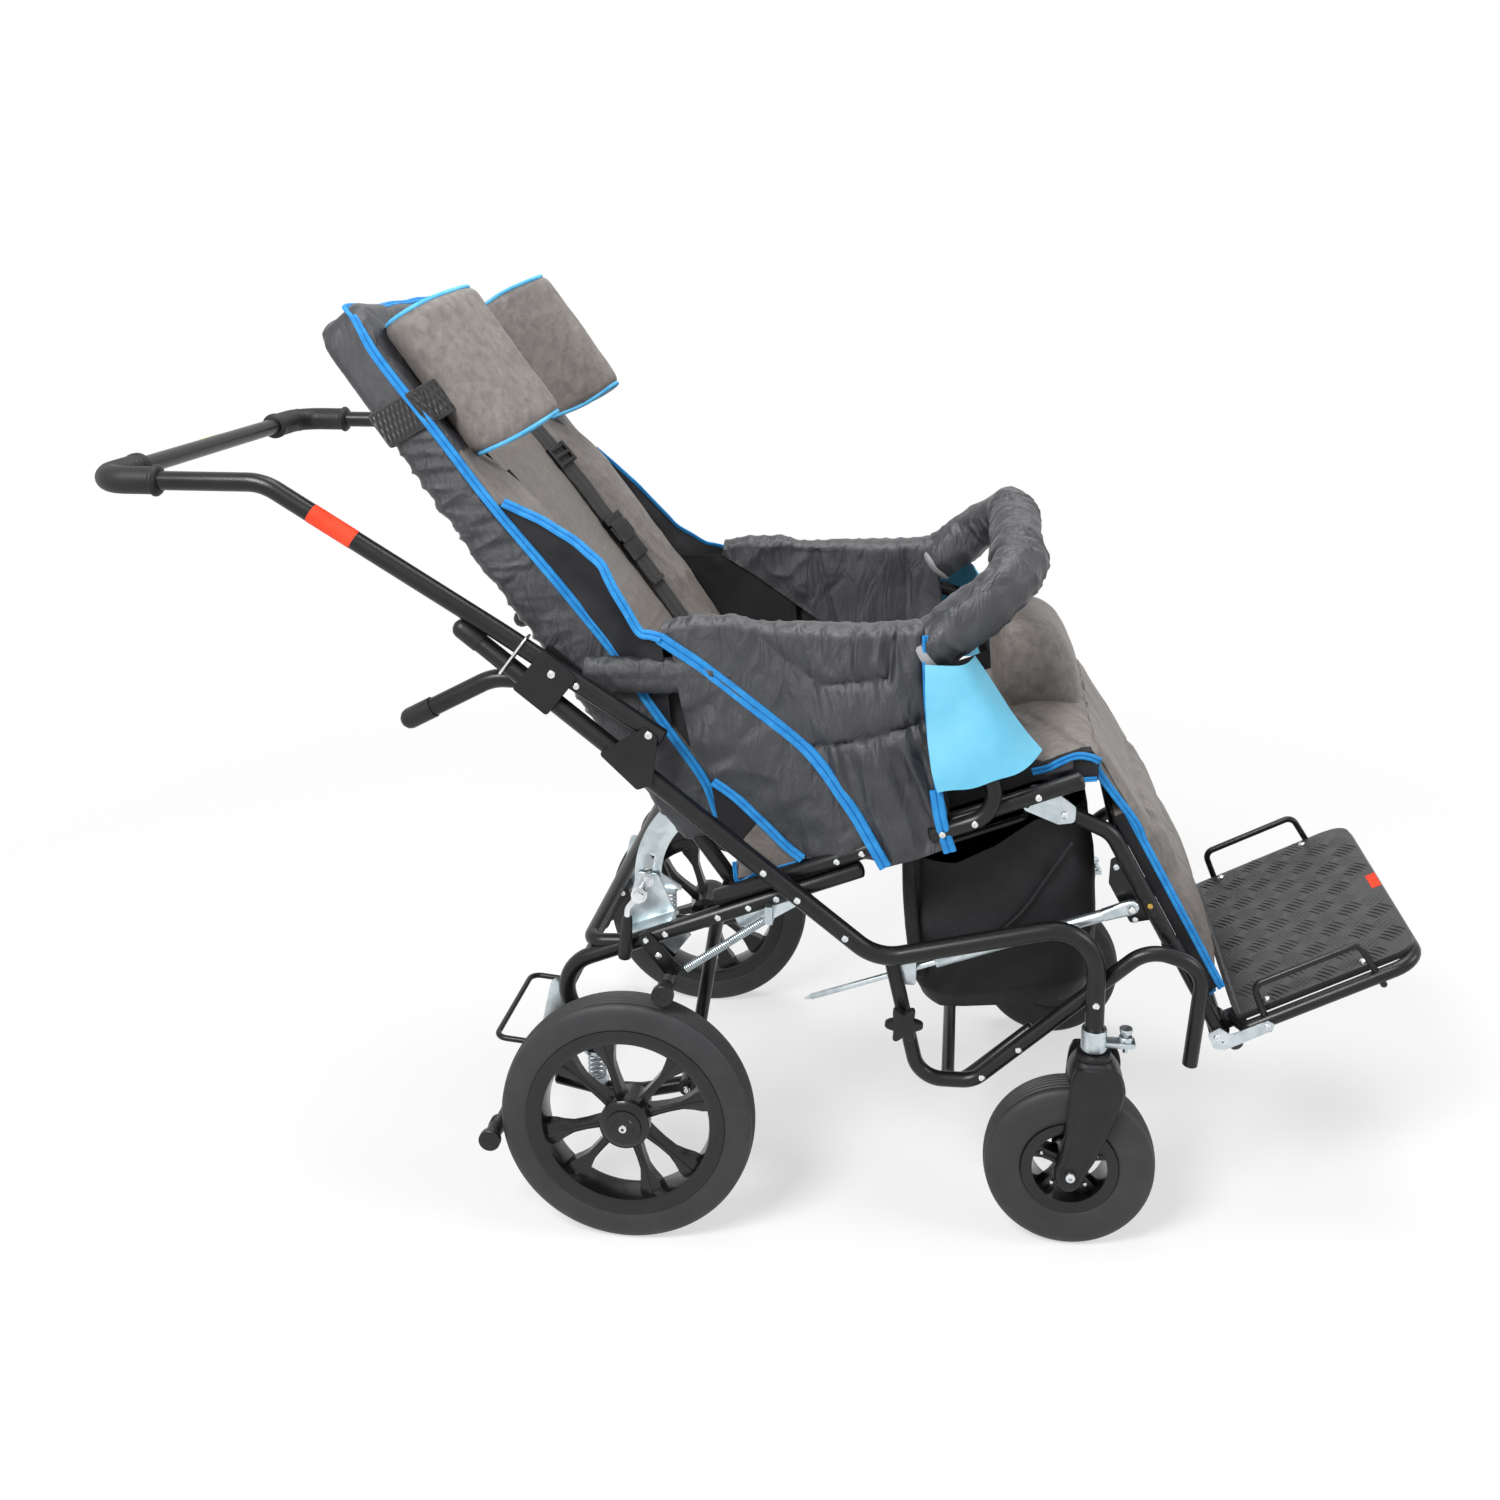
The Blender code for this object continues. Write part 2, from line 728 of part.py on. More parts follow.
def front_bar(name):
    start = along(BAR_START, BAR_ANGLE, 0.001)
    path = fillet(
        [
            world(start[0], -ARM_Y, start[1]),
            world(BAR_CROSS[0], -ARM_Y, BAR_CROSS[1]),
            world(BAR_CROSS[0], ARM_Y, BAR_CROSS[1]),
            world(start[0], ARM_Y, start[1]),
        ],
        0.100,
        6,
    )
    pieces = []
    for _, out in SIDES:
        inner = along(BAR_START, BAR_ANGLE, -SPIGOT_LENGTH)
        outer = along(BAR_START, BAR_ANGLE, 0.012)
        inner = world(inner[0], out * ARM_Y, inner[1])
        outer = world(outer[0], out * ARM_Y, outer[1])
        pieces.append(rod(inner, outer, SPIGOT_R))
    add_part(name, combine(sweep(path, BAR_R, 10), pieces), NYLON)


def push_handle(name):
    clamp = (-0.140, HANDLE_END[1] + (HANDLE_END[0] + 0.140) * 0.650)
    half = [
        (HANDLE_END[0], MAIN_Y, HANDLE_END[1]),
        (clamp[0], MAIN_Y, clamp[1]),
        (HANDLE_KNEE[0], HANDLE_Y, HANDLE_KNEE[1]),
        (HANDLE_REAR_X, HANDLE_Y, HANDLE_KNEE[1]),
    ]
    corners = [world(x, -y, z) for x, y, z in half] + [world(x, y, z) for x, y, z in reversed(half)]
    path = fillet(corners, [0.30, 0.060, GRIP_BEND_R, GRIP_BEND_R, 0.060, 0.30], 4)
    px, pz = HANDLE_PIVOT
    bores = []
    for _, out in SIDES:
        bores.append(cross_drill((px, pz), out * (MAIN_Y - 0.02), out * (MAIN_Y + 0.02), 0.004 + FIT))
    add_part(name, cut(sweep(path, MAIN_R), bores), BLACK, world(px, 0, pz))


def handle_grip(name, out):
    corners = [
        world(GRIP_START_X, out * HANDLE_Y, HANDLE_KNEE[1]),
        world(HANDLE_REAR_X, out * HANDLE_Y, HANDLE_KNEE[1]),
        world(HANDLE_REAR_X, out * (HANDLE_Y - GRIP_ALONG_BAR), HANDLE_KNEE[1]),
    ]
    path = fillet(corners, GRIP_BEND_R, 4)
    mesh = sweep(path, GRIP_R, 9, bore=MAIN_R / math.cos(math.pi / 9) + SEAT_GAP)
    add_part(name, mesh, RUBBER, world(HANDLE_PIVOT[0], 0, HANDLE_PIVOT[1]))


def handle_plate(name, out):
    outline = [(0.023, 0.617), (0.037, 0.613), (0.040, 0.604), (0.031, 0.556)]
    outline += [(0.018, 0.549), (-0.026, 0.586), (-0.024, 0.594)]
    y_in = MAIN_Y + MAIN_R + SEAT_GAP
    px, pz = HANDLE_PIVOT
    pin = axle((px, pz), out * (y_in + 0.001), out * (MAIN_Y - MAIN_R - 0.001), 0.004)
    add_part(name, combine(plate(outline, out * y_in, out * (y_in + 0.003)), [pin]), BLACK)


def lock_bail(name, out):
    """Wire bail on the handle leg that drops over the main tube; its lower side is open."""
    across = Vector((0.600, 0, 0.800))
    centre = world(-0.1275, out * MAIN_Y, 0.6955)
    half_wide = Vector((0, MAIN_R + 0.0016 + SEAT_GAP, 0))
    top = across * 0.0295
    low = across * -0.0210
    near, far = centre - half_wide, centre + half_wide
    corners = [far + low, far + top, near + top, near + low]
    add_part(name, sweep(fillet(corners, 0.009, 3), 0.0016, 6), ZINC, centre)


def post_path():
    """Both backrest posts and the bar across their top, as one bent tube."""
    px, pz = BACK_PIVOT
    top = along(BACK_PIVOT, BACK_ANGLE, BACK_LENGTH)
    corners = [
        world(px, -POST_Y, pz),
        world(top[0], -POST_Y, top[1]),
        world(top[0], POST_Y, top[1]),
        world(px, POST_Y, pz),
    ]
    return fillet(corners, 0.030, 4)


def backrest_frame(name):
    px, pz = BACK_PIVOT
    body = sweep(post_path(), ARM_R)
    eyes = []
    bores = []
    for _, out in SIDES:
        eyes.append(axle((px, pz), out * (POST_Y - 0.008), out * (POST_Y + 0.009), 0.0155, 12))
        bores.append(cross_drill((px, pz), out * 0.17, out * 0.225, LOW_R + SEAT_GAP, 10))
    add_part(name, cut(combine(body, eyes), bores), BLACK, world(px, 0, pz))


def recline_sector(name, out):
    px, pz = BACK_PIVOT
    steps = 12
    outline = []
    for r, reverse in ((SECTOR_OUT, False), (SECTOR_IN, True)):
        arc = []
        for k in range(steps + 1):
            a = SECTOR_FROM + (SECTOR_TO - SECTOR_FROM) * k / steps
            arc.append((px + r * math.cos(a), pz + r * math.sin(a)))
        outline += reversed(arc) if reverse else arc
    slot = []
    for r, reverse in ((SLOT_R + 0.005, False), (SLOT_R - 0.005, True)):
        arc = []
        for k in range(7):
            a = CLAMP_ANGLE + math.radians(-15 + 31 * k / 6)
            arc.append((px + r * math.cos(a), pz + r * math.sin(a)))
        slot += reversed(arc) if reverse else arc
    y_out = POST_Y - ARM_R - SEAT_GAP
    body = plate(outline, out * (y_out - 0.003), out * y_out)
    add_part(name, cut(body, [plate(slot, out * 0.18, out * 0.20)]), ZINC, world(px, 0, pz))


def recline_lever(name):
    cx, cz = along(BACK_PIVOT, CLAMP_ANGLE, SLOT_R)
    outer = RAIL_Y + RAIL_R + 0.002
    grip = fillet(
        [
            world(cx, -(outer + 0.005), cz),
            world(cx - 0.012, -(outer + 0.009), cz - 0.014),
            world(cx - 0.017, -(outer + 0.0095), cz - 0.074),
        ],
        0.008,
        2,
    )
    mesh = combine(
        axle((cx, cz), -0.186, -(outer + 0.009), 0.004),
        [
            axle((cx, cz), -outer, -(outer + 0.011), 0.0085, 10),
            sweep(grip, 0.004, 8),
            rod(grip[-3] + Vector((0, 0, 0.004)), grip[-1], 0.0075),
            axle((cx, cz), -0.1999, -0.2080, 0.0085, 10),
            axle((cx, cz), -0.1860, -0.1893, 0.0080, 10),
        ],
    )
    add_part(name, mesh, PLASTIC, world(cx, 0, cz))


def edge_round(t, power=6.0):
    """1 in the middle of 0..1, falling to 0 at both ends."""
    return max(0.0, 1.0 - abs(2 * t - 1) ** power) ** 0.5


def at_height(table, s):
    """Value between the two nearest rows of a table of (height, value)."""
    for (s0, a), (s1, b) in zip(table, table[1:]):
        if s <= s1:
            return a + (b - a) * max(0.0, s - s0) / (s1 - s0)
    return table[-1][1]


def back_section(s):
    """Closed section of the back cover: bulging rear, side walls, bolsters and a flat middle."""
    h = COVER_HALF
    tables = (COVER_REAR, COVER_FRONT, COVER_BOLSTER, COVER_EDGE)
    rear, front, swell, edge = (at_height(table, s) for table in tables)
    half = [
        (0, -rear),
        (0.45 * h, -0.97 * rear),
        (0.78 * h, -0.74 * rear),
        (0.955 * h, -0.34 * rear),
        (h, 0.004),
        (h, edge - 0.008),
        (0.970 * h, edge + 0.004),
        (0.88 * h, max(edge + 0.003, swell - 0.004)),
        (0.78 * h, swell),
        (0.62 * h, 0.65 * swell + 0.35 * front),
        (0.50 * h, front),
        (0.25 * h, front + 0.003),
        (0, front + 0.002),
    ]
    return half + [(-y, n) for y, n in reversed(half[1:-1])]


def back_pad(name):
    px, pz = BACK_PIVOT
    stations = [(0.140, 0.75), (0.147, 1.0), (0.22, 1.0), (0.31, 1.0), (0.40, 1.0), (0.48, 1.0)]
    stations += [(0.555, 1.0), (0.590, 1.0), (0.67, 1.0), (0.752, 1.0)]
    stations += [(0.785, 0.96), (0.802, 0.80), (0.808, 0.55)]  # rounded top
    bm = bmesh.new()
    rings = []
    for s, full in stations:
        wide = 0.90 + 0.10 * full
        ring = [bm.verts.new(back(s, 0.010 + (n - 0.010) * full, y * wide)) for y, n in back_section(s)]
        rings.append(ring)
    for low, high in zip(rings, rings[1:]):
        for k in range(len(low)):
            j = (k + 1) % len(low)
            bm.faces.new((low[k], low[j], high[j], high[k]))
    bm.faces.new(rings[0])
    bm.faces.new(rings[-1])
    channel = sweep(post_path(), ARM_R + SEAT_GAP)
    add_part(name, cut(mesh_from(bm), [channel]), VELOUR, world(px, 0, pz))


def head_wing(name, out):
    def face(sign):
        def surface(u, v):
            s = 0.592 + 0.160 * u
            n = WING_REAR + 0.122 * v + 0.010 * u * v
            puff = 0.004 + 0.016 * edge_round(u, 5.0) * edge_round(v, 5.0)
            return back(s, n, out * (0.166 + sign * puff))

        return surface

    mesh = padded(face(-1), face(1), 5, 5)
    add_part(name, mesh, VELOUR, world(BACK_PIVOT[0], 0, BACK_PIVOT[1]))


def harness(name):
    n0, n1 = 0.0380, 0.0410
    inner, outer = STRAP_Y - 0.013, STRAP_Y + 0.013
    base = block((0.24, -outer, n0), (0.60, -inner, n1), back)
    pieces = [
        block((0.24, inner, n0), (0.60, outer, n1), back),
        block((0.235, -outer - 0.001, n0 + 0.0004), (0.262, outer + 0.001, n1 + 0.002), back),
    ]
    for side in (-STRAP_Y, STRAP_Y):
        pieces.append(block((0.366, side - 0.0155, n0 + 0.001), (0.436, side + 0.0155, n1 + 0.006), back))
        pieces.append(block((0.524, side - 0.0170, n0 + 0.001), (0.556, side + 0.0170, n1 + 0.003), back))
    add_part(name, combine(base, pieces), WEBBING, world(BACK_PIVOT[0], 0, BACK_PIVOT[1]))


def seat_cushion(name):
    x0, x1, half = 0.170, 0.528, 0.190

    def base(x):
        return seat_z(x) + 0.0046

    def low(u, v):
        x = x0 + (x1 - x0) * u
        return world(x, half * (2 * v - 1), base(x))

    def high(u, v):
        x = x0 + (x1 - x0) * u
        y = half * (2 * v - 1)
        full = edge_round(u, 6.0) * edge_round(v, 6.0)
        channel = 0.005 * (math.exp(-(((abs(y) - 0.085) / 0.012) ** 2)))
        horn = 0.098 * math.exp(-(((x - 0.455) / 0.044) ** 4)) * math.exp(-((y / 0.062) ** 4))
        return world(x, y, base(x) + 0.018 + (0.045 - channel) * full + horn)

    add_part(name, padded(low, high, 11, 10), VELOUR)


def side_panel(name, out):
    """Padded bag that hangs over the armrest tube, with room for the tube, its stay and the front bar."""
    px = [0.045, 0.087, 0.150, 0.221, 0.262, 0.300, 0.335, 0.366]
    low = list(zip(px, [0.714, 0.684, 0.635, 0.579, 0.524] + [seat_z(x) + RAIL_R + 0.0020 for x in px[5:]]))
    top = [(0.046, 0.728), (0.080, 0.736), (0.125, 0.738), (0.180, 0.734), (0.225, 0.734)]
    top += [(0.270, 0.735), (0.305, 0.737), (0.336, 0.738)]
    middle = (PANEL_IN + PANEL_OUT) / 2

    def on(line, u):
        spot = min(u * (len(line) - 1), len(line) - 1 - 1e-9)
        k = int(spot)
        f = spot - k
        return [a + (b - a) * f for a, b in zip(line[k], line[k + 1])]

    def face(sign):
        def surface(u, v):
            a, b = on(low, u), on(top, u)
            x = a[0] + (b[0] - a[0]) * v
            z = a[1] + (b[1] - a[1]) * v
            half = (PANEL_OUT - PANEL_IN) / 2
            puff = half * (0.55 + 0.45 * min(1.0, edge_round(v, 10.0)))
            return world(x, out * (middle + sign * puff), z)

        return surface

    arm, stay = arm_paths(out)
    stay.append(stay[-1] + (stay[-1] - stay[-2]).normalized() * FIT)
    room = ARM_R + FIT
    near, far = along(BAR_START, BAR_ANGLE, -0.0005), along(BAR_START, BAR_ANGLE, 0.090)
    bar = rod(world(near[0], out * ARM_Y, near[1]), world(far[0], out * ARM_Y, far[1]), BAR_R + 0.0080, 12)
    body = padded(face(-1), face(1), 14, 8)
    add_part(name, cut(body, [sweep(arm, room), sweep(stay, room), bar]), NYLON)


def basket(name):
    half = HANG_Y + 0.002
    top_drop = 0.046 + WIRE_R + SEAT_GAP

    def rim(x):
        return seat_z(x) - top_drop

    shell = [(0.308, rim(0.308)), (0.316, 0.300), (0.345, 0.243)]
    shell += [(0.485, 0.262), (0.528, 0.290), (0.520, rim(0.520))]
    w = 0.004
    hollow = [
        (0.308 + w, rim(0.308) + 0.05),
        (0.316 + w, 0.302),
        (0.345 + w, 0.243 + w),
        (0.485, 0.262 + w),
        (0.528 - w, 0.292 + w),
        (0.520 - w, rim(0.520) + 0.05),
    ]
    body = cut(plate(shell, -half, half), [plate(hollow, -half + w, half - w)])
    add_part(name, body, NYLON)


def legrest_frame(name):
    px, pz = LEG_PIVOT
    base = None
    pieces = []
    bores = []
    for _, out in SIDES:
        y = out * LEG_Y
        end = leg(LEG_OUTER_LENGTH, 0, y)
        tube = sweep(fillet([world(px, y, pz), leg(0, 0, y), end], 0.035, 3), LEG_R, 10)
        if base is None:
            base = tube
        else:
            pieces.append(tube)
        pieces.append(axle((px, pz), out * (LEG_Y - 0.0095), out * (LEG_Y + 0.0095), 0.0105, 10))
        bores.append(cross_drill((px, pz), out * 0.15, out * 0.23, 0.004 + FIT))
        bores.append(drill(leg(0.042, 0, y), leg(LEG_OUTER_LENGTH + 0.02, 0, y), INNER_R + 0.0002))
    pieces.append(rod(leg(0.028, 0, -LEG_Y), leg(0.028, 0, LEG_Y), CROSS_R, 8))
    sx, sz = STRUT_PIN
    fin = []
    for s, n in ((0.030, -0.004), (0.030, -0.016), (0.055, -0.031), (0.110, -0.031), (0.118, -0.004)):
        fin.append(along(LEG_KNEE, LEG_ANGLE, s, -n))
    pieces.append(plate(fin, -(LEG_Y - 0.0035), -(LEG_Y - 0.0005)))
    pieces.append(axle((sx, sz), -(LEG_Y - 0.003), -(STRUT_Y + STRUT_TUBE_R + 0.001), 0.003))
    button = leg(0.096, 0, -LEG_Y)
    bores.append(drill(button + Vector((0, -0.03, 0)), button + Vector((0, -0.0035, 0)), 0.0035 + FIT))
    add_part(name, cut(combine(base, pieces), bores), BLACK, world(px, 0, pz))


def length_button(name):
    spot = leg(0.096, 0, -LEG_Y)
    near = spot + Vector((0, -(LEG_R + 0.0030), 0))
    far = spot + Vector((0, -(INNER_R + 0.0004), 0))
    add_part(name, rod(near, far, 0.0035), BRASS, near)


def calf_pad(name):
    half = CALF_HALF
    n0 = CROSS_R + 0.0005

    def low(u, v):
        return leg(0.004 + 0.221 * u, n0, half * (2 * v - 1))

    def high(u, v):
        y = half * (2 * v - 1)
        full = edge_round(u, 3.0) * edge_round(v, 5.0)
        channel = 0.004 * math.exp(-(((abs(y) - 0.080) / 0.014) ** 2))
        taper = 1.0 - 0.35 * max(0.0, u - 0.6) / 0.4
        return leg(0.004 + 0.221 * u, n0 + 0.006 + (0.036 - channel) * full * taper, y)

    add_part(name, padded(low, high, 8, 10), VELOUR, world(LEG_PIVOT[0], 0, LEG_PIVOT[1]))


def footrest_frame(name):
    base = None
    pieces = []
    for _, out in SIDES:
        y = out * LEG_Y
        tube = rod(leg(0.050, 0, y), leg(LEG_INNER_END, 0, y), INNER_R)
        if base is None:
            base = tube
        else:
            pieces.append(tube)
    end = LEG_Y + 0.0085
    pieces.append(rod(leg(LEG_INNER_END, 0, -end), leg(LEG_INNER_END, 0, end), INNER_R, 12))
    slot = block((0.040, -LEG_Y - 0.010, -0.0042), (0.1005, -LEG_Y - 0.0045, 0.0042), leg)
    add_part(name, cut(combine(base, pieces), [slot]), BLACK, leg(LEG_INNER_END, 0, 0))


def foot_frame(name):
    y = FOOT_PLATE_HALF + 0.010
    loop = fillet(
        [foot(0.020, -0.0005, -y + 0.032), foot(0.032, -0.0005, -y), foot(FOOT_LENGTH, 0, -y)]
        + [foot(FOOT_LENGTH, 0, y), foot(0.032, -0.0005, y), foot(0.020, -0.0005, y - 0.032)],
        [0.008, 0.030, 0.030, 0.008],
        3,
    )
    pieces = []
    bores = [drill(foot(0, 0, -0.2), foot(0, 0, 0.2), INNER_R + SEAT_GAP, 12)]
    for _, out in SIDES:
        pieces.append(rod(foot(0, 0, out * (LEG_Y - 0.050)), foot(0, 0, out * (LEG_Y - 0.018)), 0.0125, 10))
        lug_in, lug_out = LEG_Y - 0.047, LEG_Y - 0.021
        pieces.append(block((0.006, out * lug_in, -0.005), (0.028, out * lug_out, 0.005), foot))
        rail = fillet(
            [
                foot(0.055, 0, out * y),
                foot(0.060, 0.046, out * y),
                foot(0.190, 0.046, out * y),
                foot(0.196, 0, out * y),
            ],
            0.012,
            2,
        )
        pieces.append(sweep(rail, 0.0045, 6))
    body = combine(sweep(loop, CROSS_R, 8), pieces)
    add_part(name, cut(body, bores), BLACK, foot(0, 0, 0))


def footplate(name):
    n0 = CROSS_R + 0.0006
    t = 0.004
    profile = [(0.026, n0), (0.250, n0), (0.250, n0 + t), (0.030, n0 + t)]
    profile += [(0.030, n0 + 0.024), (0.026, n0 + 0.024)]
    outline = [along(FOOT_PIVOT, FOOT_ANGLE, s, -n) for s, n in profile]
    add_part(name, plate(outline, -FOOT_PLATE_HALF, FOOT_PLATE_HALF), TREAD, foot(0, 0, 0))


def strut(name):
    y = -STRUT_Y
    pin = world(STRUT_PIN[0], y, STRUT_PIN[1])
    eye = world(STRUT_EYE[0], y, STRUT_EYE[1])
    run = (eye - pin).normalized()
    neck = eye - run * 0.030
    end = eye + run * 0.135
    mesh = combine(
        rod(pin, neck, STRUT_TUBE_R, 10),
        [
            rod(neck - run * 0.010, end, STRUT_ROD_R),
            rod(pin + Vector((0, -0.0065, 0)), pin + Vector((0, 0.0065, 0)), 0.0085, 10),
        ],
    )
    bore = drill(pin + Vector((0, -0.03, 0)), pin + Vector((0, 0.03, 0)), 0.003 + FIT)
    add_part(name, cut(mesh, [bore]), ZINC, pin)


def castor_fork(name, out):
    y = out * FRONT_TRACK_HALF
    ax, az = WHEELBASE, FRONT_RADIUS
    x = STEM_X
    leg_outline = [
        (x - 0.0270, 0.206),
        (x - 0.0265, 0.222),
        (x - 0.0200, 0.232),
        (x + 0.0200, 0.232),
        (x + 0.0300, 0.222),
        (x + 0.0315, 0.200),
        (x + 0.0220, 0.165),
        (ax + 0.0185, az - 0.008),
        (ax + 0.0110, az - 0.0165),
        (ax, az - 0.0200),
        (ax - 0.0110, az - 0.0165),
        (ax - 0.0185, az - 0.008),
        (ax - 0.0190, az + 0.004),
        (ax - 0.0150, az + 0.016),
        (x - 0.0295, 0.170),
    ]
    bridge = [
        (x - 0.0270, 0.2060),
        (x + 0.0310, 0.2060),
        (x + 0.0300, 0.222),
        (x + 0.0200, 0.2378),
        (x - 0.0200, 0.2378),
        (x - 0.0265, 0.222),
    ]
    inner, outer = FRONT_TYRE_HALF + 0.0035, FRONT_TYRE_HALF + 0.0115
    body = combine(
        plate(bridge, y - outer, y + outer),
        [
            plate(leg_outline, y + inner, y + outer),
            plate(leg_outline, y - outer, y - inner),
            axle((ax, az), y - outer - 0.004, y + outer + 0.004, FRONT_AXLE_RADIUS),
            rod(world(x, y, 0.230), world(x, y, 0.304), 0.008, 10),
        ],
    )
    add_part(name, body, PLASTIC, world(x, y, STEM_END_Z))


def front_wheel(side, out):
    y = out * FRONT_TRACK_HALF
    centre = world(WHEELBASE, y, FRONT_RADIUS)
    r, b = FRONT_RADIUS, FRONT_RADIUS - FRONT_TYRE_HEIGHT
    w = FRONT_TYRE_HALF
    section = [(r, -0.010), (r, 0.010), (r - 0.009, 0.90 * w), (b + 0.014, w)]
    section += [(b, 0.70 * w), (b, -0.70 * w), (b + 0.014, -w), (r - 0.009, -0.90 * w)]
    tyre = revolve(section, WHEELBASE, FRONT_RADIUS, y, out, WHEEL_SEGMENTS)
    add_part(f"front_tyre_{side}", tyre, RUBBER, centre)
    rim = b - FIT
    ring = [(rim, -0.66 * w), (rim, 0.66 * w), (rim - 0.011, 0.74 * w), (rim - 0.011, -0.74 * w)]
    bore = FRONT_AXLE_RADIUS + FIT
    hub = [(bore, -0.9 * w), (0.016, -0.9 * w), (0.016, 0.9 * w), (bore, 0.9 * w)]
    pieces = [revolve(hub, WHEELBASE, FRONT_RADIUS, y, out, 12)]
    for k in range(FRONT_SPOKES):
        a = 2 * math.pi * (k + 0.25) / FRONT_SPOKES
        stations = [(0.013, 0.006), (0.030, 0.005), (rim - 0.009, 0.008)]
        pieces.append(spoke(WHEELBASE, FRONT_RADIUS, y, a, stations, 0.010))
    body = combine(revolve(ring, WHEELBASE, FRONT_RADIUS, y, out, WHEEL_SEGMENTS), pieces)
    add_part(f"front_rim_{side}", body, PLASTIC, centre)


def spoke(x, z, y, angle, stations, half_thick):
    """Flat spoke whose half-width follows its stations of (radius, half-width)."""
    c, s = math.cos(angle), math.sin(angle)
    left = [(x + r * c - w * s, z + r * s + w * c) for r, w in stations]
    right = [(x + r * c + w * s, z + r * s - w * c) for r, w in reversed(stations)]
    return plate(left + right, y - half_thick, y + half_thick)


def rear_wheel(side, out):
    y = out * REAR_TRACK_HALF
    centre = world(0, y, REAR_RADIUS)
    r, b = REAR_RADIUS, REAR_RADIUS - REAR_TYRE_HEIGHT
    w = REAR_TYRE_HALF
    section = [(r, -0.010), (r, 0.010), (r - 0.008, 0.90 * w), (b + 0.012, w)]
    section += [(b, 0.70 * w), (b, -0.70 * w), (b + 0.012, -w), (r - 0.008, -0.90 * w)]
    add_part(f"rear_tyre_{side}", revolve(section, 0, REAR_RADIUS, y, out, WHEEL_SEGMENTS), RUBBER, centre)
    rim = b - FIT
    ring = [(rim, -0.68 * w), (rim, 0.68 * w), (rim - 0.016, 0.80 * w), (rim - 0.016, -0.80 * w)]
    bore = REAR_AXLE_RADIUS + FIT
    hub = [(0, 0.0300), (0.022, 0.0285), (0.0300, 0.0220), (0.0270, 0.0100)]
    hub += [(0.0220, -0.0300), (bore, -0.0300), (bore, 0.0190), (0, 0.0190)]
    pieces = [revolve(hub, 0, REAR_RADIUS, y, out, 12, ring=False)]
    for k in range(SPOKE_PAIRS):
        for lean in (-SPOKE_HALF_ANGLE, SPOKE_HALF_ANGLE):
            a = 2 * math.pi * (k + 0.37) / SPOKE_PAIRS + lean
            stations = [(0.0215, 0.0050), (0.080, 0.0045), (rim - 0.013, 0.0140)]
            pieces.append(spoke(0, REAR_RADIUS, y + out * 0.002, a, stations, 0.0065))
    body = combine(revolve(ring, 0, REAR_RADIUS, y, out, WHEEL_SEGMENTS), pieces)
    add_part(f"rear_rim_{side}", body, PLASTIC, centre)


def swing_arm(name, out):
    y = out * SWING_Y
    px, pz = SWING_PIVOT
    path = fillet(
        [world(px, y, pz), world(0.004, y, 0.1475), world(-0.040, y, 0.1475), world(-0.098, y, 0.160)],
        0.05,
        3,
    )
    body = combine(
        sweep(path, LOW_R, 8),
        [
            axle((px, pz), out * (SWING_Y - 0.0105), out * (SWING_Y + 0.0110), 0.0110, 10),
            axle((0, REAR_RADIUS), y, out * (REAR_TRACK_HALF + 0.0180), REAR_AXLE_RADIUS),
            rod(world(SPRING_X, y, SPRING_LOW - 0.006), world(SPRING_X, y, SPRING_LOW), 0.0140, 10),
        ],
    )
    bore = cross_drill((px, pz), out * 0.20, out * 0.25, 0.004 + FIT)
    add_part(name, cut(body, [bore]), BLACK, world(px, y, pz))


def suspension_spring(name, out):
    y = out * SWING_Y
    clear = SPRING_WIRE_R + SEAT_GAP
    path = helix(
        world(SPRING_X, y, SPRING_LOW + clear),
        world(SPRING_X, y, SPRING_HIGH - clear),
        SPRING_R,
        SPRING_TURNS,
    )
    print(name, "least gap to itself, mm:", round(coil_gap(path, SPRING_WIRE_R) * 1000, 2))
    add_part(name, sweep(path, SPRING_WIRE_R, 6), ZINC)


def pull_spring(name, out):
    y = out * (RAIL_Y + RAIL_R + 0.0055)
    path = helix(
        world(PULL_LOW[0], y, PULL_LOW[1]),
        world(PULL_HIGH[0], y, PULL_HIGH[1]),
        PULL_R,
        PULL_TURNS,
    )
    print(name, "least gap to itself, mm:", round(coil_gap(path, PULL_WIRE_R) * 1000, 2))
    add_part(name, sweep(path, PULL_WIRE_R, 6), ZINC)


def brake_lever(name, out):
    y_in = RAIL_Y + RAIL_R + 0.0012
    vx, vz = BRAKE_PIVOT
    gx, gz = BRAKE_ROLLER
    lean = math.atan2(gz - vz, gx - vx)
    length = math.hypot(gx - vx, gz - vz)
    outline = []
    for s, n in ((-0.009, -0.005), (-0.009, 0.005), (-0.004, 0.009), (length + 0.003, 0.008)):
        outline.append(along(BRAKE_PIVOT, lean, s, n))
    tab = (length + 0.004, -0.015)
    for s, n in ((length + 0.007, 0.003), tab, (length - 0.008, -0.012), (-0.004, -0.009)):
        outline.append(along(BRAKE_PIVOT, lean, s, n))
    y_roll = REAR_TRACK_HALF - REAR_TYRE_HALF + 0.004
    pieces = [
        axle((gx, gz), out * (y_in + 0.001), out * (y_roll + 0.002), 0.005),
        axle((gx, gz), out * y_roll, out * (y_roll + 0.016), 0.009),
        axle((gx, gz), out * (y_roll + 0.014), out * (y_roll + 0.040), ROLLER_R, 12),
    ]
    body = combine(plate(outline, out * y_in, out * (y_in + 0.004)), pieces)
    bore = cross_drill((vx, vz), out * 0.22, out * 0.27, 0.004 + FIT)
    add_part(name, cut(body, [bore]), BLACK, world(vx, out * y_in, vz))


